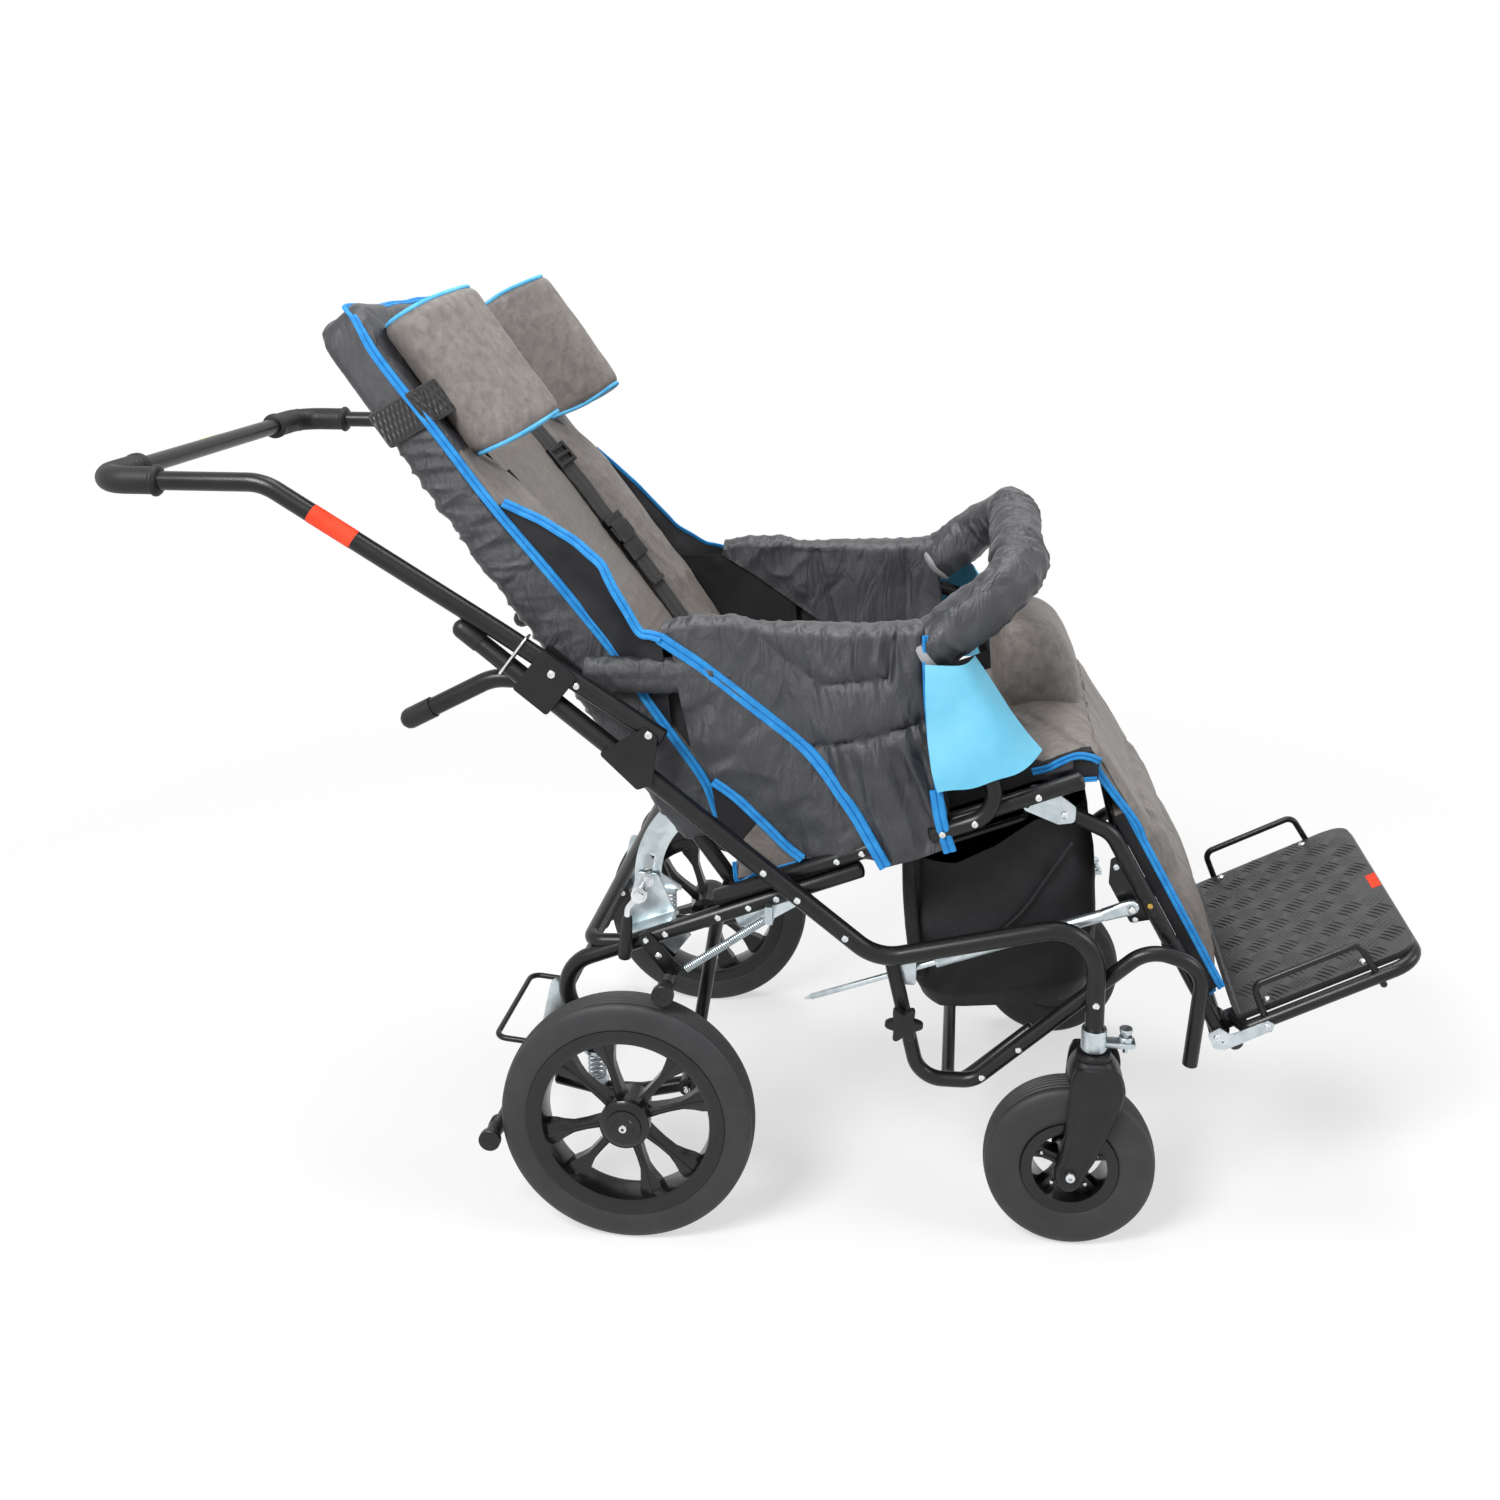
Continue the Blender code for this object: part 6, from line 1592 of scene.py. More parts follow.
def paintFaces(mesh, choose):
    for face in mesh.polygons:
        face.material_index = choose(face.center)


def pushPoints(mesh, shift):  # move every point by a function of its place and normal
    normals = [Vector(n.vector) for n in mesh.vertex_normals]
    for vert, normal in zip(mesh.vertices, normals):
        vert.co = vert.co + shift(vert.co.copy(), normal)


def sheetInto(bm, place, across, along, thick, mat=0):  # double-skinned cloth from a function of u and v
    spots = [[place(i / across, j / along) for j in range(along + 1)] for i in range(across + 1)]
    skins = []
    for sign in (1, -1):
        skin = []
        for i in range(across + 1):
            row = []
            for j in range(along + 1):
                du = spots[min(i + 1, across)][j] - spots[max(i - 1, 0)][j]
                dv = spots[i][min(j + 1, along)] - spots[i][max(j - 1, 0)]
                row.append(bm.verts.new(spots[i][j] + du.cross(dv).normalized() * (sign * thick / 2)))
            skin.append(row)
        skins.append(skin)
    area = 0.0
    for skin in skins:
        for i in range(across):
            for j in range(along):
                face = bm.faces.new((skin[i][j], skin[i + 1][j], skin[i + 1][j + 1], skin[i][j + 1]))
                face.material_index = mat
                area += face.calc_area() / 2
    for (i, j), (m, n) in rimWalk(across, along):
        bm.faces.new((skins[0][i][j], skins[0][m][n], skins[1][m][n],
            skins[1][i][j])).material_index = mat
    return area


def onLine(line, t):  # point on a list of points at a share of its count
    spot = min(t * (len(line) - 1), len(line) - 1 - 1e-9)
    k = int(spot)
    f = spot - k
    return [a + (b - a) * f for a, b in zip(line[k], line[k + 1])]


binding = {"width": 0.0115, "thick": 0.0042}


def tapeInto(bm, points, normals, width=None, perSpan=6, mats=(0, 1)):
    line = smoothLine(points, perSpan)
    if len(normals) == 1:
        ups = [Vector(normals[0])] * len(line)
    else:
        ups = [Vector(n).normalized() for n in smoothLine(normals, perSpan)]
    ribbonInto(bm, line, ups, width or binding["width"], binding["thick"], mats[0], mats[1])


# back cover

cover = {"half": 0.216, "dip": 0.0028, "bottom": 0.075, "shoulder": 0.768, "corner": 0.044,
    "rear": mm((60, 16), (120, 34), (200, 42), (330, 42), (430, 38), (500, 31), (580, 24), (700, 21),
    (810, 18)), "front": mm((60, 34), (150, 34), (300, 32), (500, 28), (580, 26), (640, 14), (760, 14),
    (810, 36)), "bolster": mm((60, 44), (120, 58), (300, 70), (500, 66), (550, 58), (595, 40), (760, 40),
    (810, 50)), "piping": mm((60, 34), (81, 38), (129, 51), (247, 52.5), (314, 53), (432, 47.5),
    (529, 40), (645, 37), (735, 33), (776, 36), (802.5, 46)), "headFrom": 0.6}
coverTree = []  # the made cover, for rays


def coverHalf(s):  # drawn in where the bent levers pass at full recline
    t = min(1.0, max(0.0, (0.065 - abs(s - 0.352)) / 0.025))
    return cover["half"] - cover["dip"] * t * t * (3 - 2 * t)


def coverSection(s):
    h, rear = coverHalf(s), tableAt(cover["rear"], s)
    front, swell, edge = (tableAt(cover[k], s) for k in ("front", "bolster", "piping"))
    half = [(0, -rear), (0.45 * h, -rear * 0.97), (0.78 * h, -max(rear * 0.74, 0.02)),
        (0.97 * h, -max(rear * 0.4, 0.0155)), (h, -0.006), (h * 1.002, edge - 0.012),
        (0.985 * h, edge + 0.006), (0.9 * h, max(edge + 0.008, swell - 0.004)), (0.78 * h, swell),
        (0.62 * h, swell * 0.72 + front * 0.28), (0.5 * h, front), (0.25 * h, front + 0.004),
        (0, front + 0.002)]
    other = [(-y, n) for y, n in reversed(half[1:-1])]
    return [(-y, n) for y, n in half] + [(-y, n) for y, n in other]


def backCover():
    bm = bmesh.new()
    stations = [(cover["bottom"], 0.55, 0.97), (cover["bottom"] + 0.004, 0.85, 0.985)]
    stations += [(s, 1.0, 1.0) for s in np.linspace(cover["bottom"] + 0.012, cover["shoulder"], 46)]
    for t in (15, 30, 45, 60, 75, 88):  # round top corners
        a = radians(t)
        stations.append((cover["shoulder"] + cover["corner"] * sin(a), 1.0 - 0.55 * (1 - cos(a)) ** 1.2,
            1.0 - 0.16 * (1 - cos(a))))
    rings = []
    for s, deep, wide in stations:
        points = [Vector((y, n, 0)) for y, n in coverSection(s)]
        middle = 0.012
        ring = []
        for p in smoothLine(points, 4, True):
            ring.append(bm.verts.new(back(s, middle + (p.y - middle) * deep, p.x * wide)))
        rings.append(ring)
    skinRings(bm, rings, 0)

    def held(spot):
        s, n = fromBack(spot)
        edge = tableAt(cover["piping"], s)
        seam = exp(-((n - edge) / 0.006) ** 2) if abs(spot.y) > 0.19 else 0
        channel = exp(-((abs(spot.y) - 0.108) / 0.006) ** 2) if n > 0.01 and s < 0.62 else 0
        flat = 1.0 if abs(spot.y) > 0.203 else 0.0  # the sides stand clear of the posts and armrests
        return max(seam, channel, flat, 1.0 if n < 0.012 and s < 0.1 else 0)

    mesh = puffed("backCover", bm, 0.006, 0.006, held)

    def folds(spot, normal):
        s, n = fromBack(spot)
        shift = 0.0
        side = max(0.0, min(1.0, (abs(spot.y) - 0.16) / 0.04))
        rear = 1.0 if n < tableAt(cover["piping"], s) - 0.006 else 0.0
        if rear:
            lower = max(0.0, min(1.0, (0.7 - s) / 0.12))
            across = Vector((s + 0.5 * n, n * 0.5, spot.y * 0.18))
            edgeOn = 0.12 + 0.88 * side
            shift = lower * edgeOn * (0.0052 * crease(across, (46, 30, 30), 3) ** 1.5 + 0.0022
                * crease(across, (95, 50, 40), 8))
            shift += 0.001 * ripple(Vector((s, n, spot.y)), (12, 20, 9), 5)
            shift *= 1 - 0.85 * abs(normal.y) * (1 if s < 0.45 else 0.3)
        elif s < cover["headFrom"]:
            bend = exp(-((abs(spot.y) - 0.15) / 0.03) ** 2)
            shift = 0.0045 * bend * (crease(Vector((s, spot.y, 0)), (16, 38, 1), 2)
                - 0.4) + 0.0012 * ripple(Vector((s, spot.y, 0)), (30, 26, 1), 4)
            shift -= 0.004 * exp(-((abs(spot.y) - 0.108) / 0.005) ** 2)  # sewn channel
        else:
            shift = 0.0022 * ripple(Vector((s, spot.y, n)), (26, 16, 20), 6)
        return normal * shift

    pushPoints(mesh, folds)

    def choose(spot):
        s, n = fromBack(spot)
        front = n > tableAt(cover["piping"], s) - 0.003 or (abs(spot.y) < 0.19 and n > 0.004)
        return 1 if front and s < cover["headFrom"] else 0

    paintFaces(mesh, choose)
    coverTree.append(BVHTree.FromPolygons([v.co.copy() for v in mesh.vertices],
        [tuple(f.vertices) for f in mesh.polygons]))
    obj = linkMesh("backCover", mesh, [nylon, velour], "backrest", ["back_pad"], 60)
    bm = bmesh.new()
    h = cover["half"] + 0.003
    nearSide = [(s, tableAt(cover["piping"], s)) for s in (0.085, 0.129, 0.19, 0.247, 0.314, 0.37, 0.432,
        0.529, 0.6, 0.645, 0.7, 0.745)]
    points = [back(s, n, -coverHalf(s) - 0.003) for s, n in nearSide]
    normals = [back(0, 0.5, -0.85) - back(0, 0, 0)] * len(points)
    for s, n, w in ((0.776, 0.036, 0.985), (0.793, 0.036, 0.955)):  # round the top corner
        points.append(back(s, n, -h * w))
        normals.append(back(0.55, 0.75, -0.3 * w) - back(0, 0, 0))
    slant = (back(1, 1, 0) - back(0, 0, 0)).normalized()
    for w in (0.87, 0.76, 0.6, 0.4, 0.2, 0):  # along the top's front edge, on the made cover
        spot = coverTree[0].ray_cast(back(0.87, 0.09, -h * w), -slant)[0]
        points.append(spot + slant * 0.0012)
        normals.append(back(0.55, 0.75, -0.3 * w) - back(0, 0, 0))
    mirror = [Vector((p.x, -p.y, p.z)) for p in reversed(points[:-1])]
    normals += [Vector((n.x, -n.y, n.z)) for n in reversed(normals[:-1])]
    tapeInto(bm, points + mirror, normals)
    donePiece("backBinding", bm, [azure, deepAzure], "backrest")


wing = {"section": mm((46, 146), (98, 143), (144, 144), (154, 152), (144, 176), (122, 196), (93, 206),
    (66, 203), (47, 186), (41, 164)), "low": 0.586, "high": 0.766, "slant": 0.13, "pivotN": 0.06,
    "round": 0.015, "bow": 0.01}


def headWings():
    w = wing
    section = smoothLine([Vector((n, y, 0)) for n, y in w["section"]], 6, True)
    middle = sum(section, Vector()) / len(section)
    reach = max((p - middle).length for p in section)
    centre, tall = (w["low"] + w["high"]) / 2, (w["high"] - w["low"]) / 2

    def loopAt(level, out):  # the section, drawn in near each end
        depth = min(1.0, (level - w["low"]) / w["round"], (w["high"] - level) / w["round"])
        inset = w["round"] * (1 - sqrt(max(0.0, 1 - (1 - depth) ** 2)))
        spots = []
        for p in section:
            q = p + (middle - p).normalized() * inset
            bulge = w["bow"] * (1 - (p - middle).length / reach) * ((level - centre) / tall) ** 3
            spots.append(back(level + bulge - w["slant"] * (q.x - w["pivotN"]), q.x, out * q.y))
        return spots

    ends = [0, 0.0008, 0.0026, 0.0055, 0.01, 0.017]
    levels = [w["low"] + d for d in ends] + list(np.linspace(w["low"] + 0.026, w["high"] - 0.026,
        9)) + [w["high"] - d for d in reversed(ends)]
    for label, side, out in sides:
        bm = bmesh.new()
        skinRings(bm, [[bm.verts.new(p) for p in loopAt(level, out)] for level in levels], 0)

        def held(spot):
            s, n = fromBack(spot)
            level = s + w["slant"] * (n - w["pivotN"])
            return max(exp(-((level - end) / 0.01) ** 2) for end in (w["low"], w["high"]))

        mesh = puffed("headWing" + label, bm, 0.004, 0.007, held)
        pushPoints(mesh, lambda spot, normal: normal * (0.0008 * ripple(spot, (40, 40, 40), 2)))
        obj = linkMesh("headWing" + label, mesh, [velour], "backrest", [f"head_wing_{side}"],
            60)
        bm = bmesh.new()
        for level in (w["low"] + 0.0024, w["high"] - 0.0024):
            tubeInto(bm, loopAt(level, out)[::2], 0.0029, 10, 0, closed=True)
        donePiece("headWingPiping" + label, bm, [paleAzure], "backrest")


band = {"at": 0.667, "width": 0.044, "lift": 0.0045}


def elasticBand():
    points, ups = [], []
    section = [Vector((y, n, 0)) for y, n in coverSection(band["at"])]
    ring = smoothLine(section, 4, True)
    keep = [p for p in ring if p.y < tableAt(cover["piping"], band["at"]) + 0.012
        and (abs(p.x) > 0.17 or p.y < 0)]
    keep.sort(key=lambda p: atan2(p.x, -(p.y - 0.05)))
    lead = [Vector((0.193, 0.07, 0)), Vector((0.207, 0.056, 0))]
    line = [Vector((-p.x, p.y, 0)) for p in lead] + keep + list(reversed(lead))
    for i, p in enumerate(line):
        step = line[min(i + 1, len(line) - 1)] - line[max(i - 1, 0)]
        away = Vector((step.y, -step.x, 0)).normalized()
        points.append(back(band["at"] - 0.1 * (p.y - 0.03), p.y + away.y * band["lift"],
            p.x + away.x * band["lift"]))
        ups.append(back(0, away.y, away.x) - back(0, 0, 0))
    bm = bmesh.new()
    ribbonInto(bm, points, ups, band["width"], 0.003)
    donePiece("headBand", bm, [elastic], "backrest", sharp=50)


strap = {"y": 0.11, "width": 0.026, "from": 0.61, "to": 0.325, "thick": 0.0022}


def strapFrame(s, out):  # place and outward direction on the made cover
    away = back(0, 1, 0) - back(0, 0, 0)
    spots, up = [], Vector()
    for ds in (-0.012, 0, 0.012):
        for dy in (-0.009, 0, 0.009):
            spot, normal = coverTree[0].ray_cast(back(s + ds, 0.2, out * strap["y"] + dy), -away)[:2]
            if spot:
                spots.append(fromBack(spot)[1])
                up += normal
    height = 0.4 * max(spots) + 0.6 * sum(spots) / len(spots)
    tilt = Vector((away.x, -out * 0.62, away.z)).normalized()
    return back(s, height, out * strap["y"]), (up.normalized() + 2 * tilt).normalized()


def harnessStraps():
    for label, _, out in sides:
        bm = bmesh.new()
        runs = [(strap["from"], 0.428, 14, 0.003), (0.372, strap["to"], 6, 0.0062),
            (0.372, 0.13, 12, 0.003)]
        for first, last, count, lift in runs:
            frames = [strapFrame(s, out) for s in np.linspace(first, last, count)]
            ribbonInto(bm, [p + up * lift for p, up in frames], [up for p, up in frames], strap["width"],
                strap["thick"])
        p, up = strapFrame(strap["to"] + 0.006, out)
        q, up = strapFrame(strap["to"], out)
        # folded tail
        ribbonInto(bm, [p + up * 0.0088, q + up * 0.0088], [up, up], strap["width"], strap["thick"])
        if out < 0:
            away = back(0, 1, 0) - back(0, 0, 0)
            cross = []
            for y in np.linspace(-strap["y"], strap["y"], 16):
                cross.append(coverTree[0].ray_cast(back(0.248, 0.2, y), -away)[0] + away * 0.003)
            ribbonInto(bm, cross, [away] * len(cross), strap["width"], strap["thick"])

        def place(s, w, h):
            spot, up = strapFrame(s, out)
            along = back(1, 0, 0) - back(0, 0, 0)
            return spot + up.cross(along).normalized() * w + up * (h + 0.003)

        buckleInto(bm, place)
        donePiece("harnessStrap" + label, bm, [webbing, plastic], "backrest", ["harness"] if out < 0
            else (), 40)


def buckleInto(bm, place):
    w = strap["width"] / 2 + 0.004
    for s in (0.528, 0.54, 0.552):  # ladder adjuster
        blockInto(bm, (s - 0.0024, -w, 0.0012), (s + 0.0024, w, 0.0065), 1, 0.0008, place)
    for edge in (-w, w - 0.0045):
        blockInto(bm, (0.524, edge, 0.001), (0.556, edge + 0.0045, 0.0068), 1, 0.0008, place)
    blockInto(bm, (0.424, -w, 0.001), (0.436, w, 0.0085), 1, 0.0012, place)  # side-release buckle
    blockInto(bm, (0.393, -w + 0.003, 0.0005), (0.426, w - 0.003, 0.01), 1, 0.0025, place)
    for edge in (-w - 0.001, w - 0.004):
        blockInto(bm, (0.399, edge, 0.002), (0.421, edge + 0.005, 0.009), 1, 0.0016, place)
    blockInto(bm, (0.366, -w + 0.001, 0.001), (0.395, w - 0.001, 0.0075), 1, 0.002, place)


backCover()
headWings()
elasticBand()
harnessStraps()
print("back cover, wings and harness made")


# seat, pommel and calf pad

cushion = {"from": 0.168, "to": 0.54, "half": 0.196, "base": 0.006, "rise": 0.05, "pommelHalf": 0.076}


def softEdge(t, sharp):
    return max(0.0, 1 - abs(2 * t - 1) ** sharp)


def padInto(bm, low, high, across, along):  # closed pillow between two surfaces over u and v
    skins = []
    for place in (low, high):
        skins.append([[place(i / across, j / along) for j in range(along + 1)]
            for i in range(across + 1)])
    made = {}
    for k, skin in enumerate(skins):
        for i in range(across + 1):
            for j in range(along + 1):
                made[k, i, j] = bm.verts.new(skin[i][j])
        for i in range(across):
            for j in range(along):
                bm.faces.new((made[k, i, j], made[k, i + 1, j], made[k, i + 1, j + 1], made[k, i, j + 1]))
    for (i, j), (m, n) in rimWalk(across, along):
        bm.faces.new((made[0, i, j], made[0, m, n], made[1, m, n], made[1, i, j]))


def seatCushion():
    c = cushion

    def low(u, v):
        x = c["from"] + (c["to"] - c["from"]) * u
        return at(x, c["half"] * (2 * v - 1), seatZ(x) + c["base"])

    def high(u, v):
        x = c["from"] + (c["to"] - c["from"]) * u
        full = softEdge(u, 7) * softEdge(v, 7)
        return at(x, c["half"] * (2 * v - 1), seatZ(x) + c["base"] + 0.012 + (c["rise"] - 0.012) * full)

    bm = bmesh.new()
    padInto(bm, low, high, 26, 28)
    floor = c["base"] + 0.004
    mesh = puffed("seatCushion", bm, 0.006, 0.007, lambda p: 1.0 if p.z < seatZ(p.x - axleX) + floor
        else 0)

    def folds(spot, normal):
        front = max(0.0, min(1.0, (spot.x - axleX - 0.47) / 0.05))
        return normal * (0.0014 * ripple(spot, (22, 26, 22), 1) + 0.0035 * front
            * (crease(spot, (10, 30, 14), 4) - 0.4))

    pushPoints(mesh, folds)
    obj = linkMesh("seatCushion", mesh, [velour], "chassis", ["seat_cushion"], 60)
    bm = bmesh.new()
    rings = []
    levels = [(0.556, 0.474, 0.046, 1.0), (0.575, 0.474, 0.0475, 1.0), (0.592, 0.474, 0.0525, 1.02),
        (0.615, 0.473, 0.0545, 1.04), (0.645, 0.469, 0.0525, 1.02), (0.672, 0.463, 0.047, 0.98),
        (0.692, 0.457, 0.04, 0.92), (0.703, 0.453, 0.03, 0.82), (0.708, 0.451, 0.016, 0.6)]
    for z, x, deep, wide in levels:
        ring = []
        for k in range(40):
            px, py = squared(2 * pi * k / 40, 0.55, 0.5)
            ring.append(bm.verts.new(at(x + deep * px, c["pommelHalf"] * wide * py, z)))
        rings.append(ring)
    skinRings(bm, rings, 0)
    mesh = puffed("pommel", bm, 0.005, 0.006, lambda p: 1.0 if p.z < 0.572 else 0)
    pushPoints(mesh, lambda spot, normal: normal * (0.0012 * ripple(spot, (24, 24, 24), 3)))
    obj = linkMesh("pommel", mesh, [velour], "chassis", sharp=60)


def seatBase():  # black underside, its skirt and the binding along the edge
    c = cushion
    bm = bmesh.new()
    half = c["half"] + 0.0045
    floorZ, topZ = 0.003, 0.015
    rear, ahead = c["from"] - 0.004, c["to"] - 0.01
    plateInto(bm, [(rear, seatZ(rear) + floorZ + 0.0085), (ahead, seatZ(ahead) + floorZ + 0.0085),
        (ahead, seatZ(ahead) + topZ + 0.006), (rear, seatZ(rear) + topZ + 0.006)], -half, half, 0, 0.003)
    for out in (-1, 1):
        def drop(u, v):
            x = 0.15 + 0.358 * u
            sag = 0.003 * ripple(Vector((x, v, 0)), (40, 3, 1), 2 + out)
            tall = 0.04 * (1 - min(1.0, max(0.0, (x - 0.425) / 0.06))) + 0.01
            return at(x, out * (half + 0.006 + 0.008 * (1 - v) + sag), seatZ(x) + 0.0115 + tall * v)
        sheetInto(bm, drop, 40, 5, 0.0016)
    donePiece("seatUnderside", bm, [darkNylon], "chassis", sharp=50)
    bm = bmesh.new()
    edge = half + 0.004
    for out in (-1, 1):  # bound flap at each front corner
        upper = sideLine(out, ((0.462, edge + 0.01, 0.566), (0.4796, edge + 0.006, 0.5695),
            (0.4935, edge + 0.004, 0.5765), (0.512, edge + 0.001, 0.5835), (0.528, edge - 0.002, 0.5815),
            (0.5375, edge - 0.006, 0.576)))
        tapeInto(bm, upper, [(0, out, 0.3)] * 4 + [(0.3, out, 0.2), (0.5, out, 0)], 0.0085)

        def flap(u, v):
            x = 0.466 + 0.072 * u
            high = tableAt(mm((462, 563), (480, 567), (494, 574), (512, 580), (538, 573)), x)
            return at(x, out * (edge + 0.002 - 0.008 * u), 0.5535 + (high - 0.5535) * v)

        sheetInto(bm, flap, 16, 4, 0.0016, 2)
        lower = sideLine(out, ((0.4964, edge + 0.001, 0.555), (0.515, edge, 0.5545),
            (0.536, edge - 0.004, 0.555)))
        tapeInto(bm, lower, [(0, out, 0.1)], 0.006)
    donePiece("seatBinding", bm, [azure, deepAzure, darkNylon], "chassis")


calf = {"from": -0.014, "to": 0.234, "half": 0.174, "base": 0.0088, "rise": 0.034, "tape": 0.027}


def calfPad():
    c = calf

    def low(u, v):
        return leg(c["from"] + (c["to"] - c["from"]) * u, c["base"], c["half"] * (2 * v - 1))

    def high(u, v):
        y = c["half"] * (2 * v - 1)
        full = 0.35 + 0.65 * softEdge(u, 4.5) * softEdge(v, 7)
        thin = 1.12 - 0.36 * u - 0.3 * exp(-abs(u - 0.47) / 0.035)
        return leg(c["from"] + (c["to"] - c["from"]) * u, c["base"] + 0.008 + (c["rise"] - 0.008) * full
            * thin, y)

    bm = bmesh.new()
    padInto(bm, low, high, 18, 24)

    def offLeg(spot):
        a = radians(legLean)
        return -((spot.x - legKnee.x) * sin(a) - (spot.z - legKnee.z) * cos(a))

    mesh = puffed("calfPad", bm, 0.006, 0.007, lambda p: 1.0 if offLeg(p) < c["base"] + 0.004 else 0)

    def folds(spot, normal):
        return normal * (0.0016 * ripple(spot, (18, 30, 18), 2) + 0.002 * (crease(spot, (8, 34, 10), 7)
            - 0.4))

    pushPoints(mesh, folds)
    obj = linkMesh("calfPad", mesh, [velour], "legrest", ["calf_pad"], 60)
    bm = bmesh.new()
    n = c["base"] + 0.004
    for out in (-1, 1):
        line = [leg(s, c["tape"], out * (c["half"] + 0.0045)) for s in np.linspace(c["from"], c["to"], 8)]
        tapeInto(bm, line, [(0.25, out, 0.2)], 0.01)

        def wall(u, v):
            s = c["from"] + 0.004 + (c["to"] - c["from"] - 0.006) * u
            return leg(s, c["base"] + (c["tape"] - c["base"]) * v,
                out * (c["half"] + 0.003 + 0.001 * ripple(Vector((s, v, 0)), (40, 3, 1), 3)))

        sheetInto(bm, wall, 30, 3, 0.0014, 2)
    across = [leg(c["to"] + 0.003, n + 0.002, y) for y in np.linspace(-c["half"], c["half"], 7)]
    tapeInto(bm, across, [leg(1, 0.4, 0) - leg(0, 0, 0)], 0.0105)
    backing = [(c["from"] - 0.004, c["base"] - 0.0006), (c["to"] + 0.001, c["base"] - 0.0006),
        (c["to"] + 0.001, c["base"] + 0.0025), (c["from"] - 0.004, c["base"] + 0.0025)]
    plateInto(bm, backing, -c["half"] - 0.002, c["half"] + 0.002, 2, 0.001, place=onLeg)
    donePiece("calfBinding", bm, [azure, deepAzure, darkNylon], "legrest")


def kneeFold():  # velour running from the seat's front edge onto the calf pad
    c = calf

    def place(u, v):
        y = (c["half"] + 0.002) * (2 * u - 1)
        top, end = at(0.534, y, 0.59), leg(0.03, c["base"] + c["rise"] - 0.004, y)
        mid = at(0.549, y, 0.572)
        spot = top.lerp(mid, v).lerp(mid.lerp(end, v), v)
        drop = max(0.0, abs(2 * u - 1) - 0.93) / 0.07
        fold = 0.0022 * (crease(spot, (9, 30, 12), 5) - 0.4) + 0.0012 * ripple(spot, (20, 30, 20), 3)
        return spot + Vector((fold - 0.006 * drop ** 2, 0, 0.5 * fold - 0.006 * drop ** 2))

    bm = bmesh.new()
    area = sheetInto(bm, place, 48, 14, 0.005)
    for out in (-1, 1):
        line = [at(0.537, out * (c["half"] + 0.018), 0.5765), at(0.54, out * (c["half"] + 0.01), 0.556),
            leg(0.004, c["tape"] + 0.002, out * (c["half"] + 0.006)),
            leg(0.03, c["tape"], out * (c["half"] + 0.005))]
        tapeInto(bm, line, [(0.25, out, 0.2)], 0.01, mats=(1, 2))

        def side(u, v):
            near = place(0.0 if out < 0 else 1.0, u)
            return near.lerp(smoothLine(line, 6)[min(18, int(u * 18))], v)

        sheetInto(bm, side, 12, 3, 0.0014, 0)
    obj = donePiece("kneeFold", bm, [velour, azure, deepAzure], None, sharp=60)
    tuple(leg(0.03, 0.045, 0))
    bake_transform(obj)


def seatFold():  # velour closing the gap between the back's foot and the seat
    def place(u, v):
        y = 0.186 * (2 * u - 1)
        top, end = back(0.12, 0.036, y), at(0.196, y, seatZ(0.196) + 0.044)
        mid = at(0.158, y, 0.482)
        spot = top.lerp(mid, v).lerp(mid.lerp(end, v), v)
        fold = 0.003 * (crease(spot, (10, 26, 10), 6) - 0.4)
        return spot + Vector((fold, 0, fold))

    bm = bmesh.new()
    area = sheetInto(bm, place, 40, 12, 0.004)
    obj = donePiece("seatFold", bm, [velour], None, sharp=60)
    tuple(back(0.12, 0.036, 0))
    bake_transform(obj)


seatCushion()
seatBase()
calfPad()
kneeFold()
seatFold()
print("seat and calf pad made")


# side panels, armrest sleeves and gussets

panel = {"low": mm((38, 716), (87, 684), (150, 635), (190, 606), (221, 579), (262, 522), (298, 458),
    (335, 470), (371, 486)), "top": mm((41, 723), (75, 730), (120, 732), (150, 725.5), (190, 726),
    (235, 727), (280, 728), (308, 730.5), (338, 733.5)), "seams": [mm((146, 730), (172, 704), (223, 669),
    (300, 682), (307, 738)), mm((207, 594), (270, 608), (346, 634))], "outer": 0.2372, "swell": 0.0215,
    "inner": 0.2045, "frontBow": 0.009}


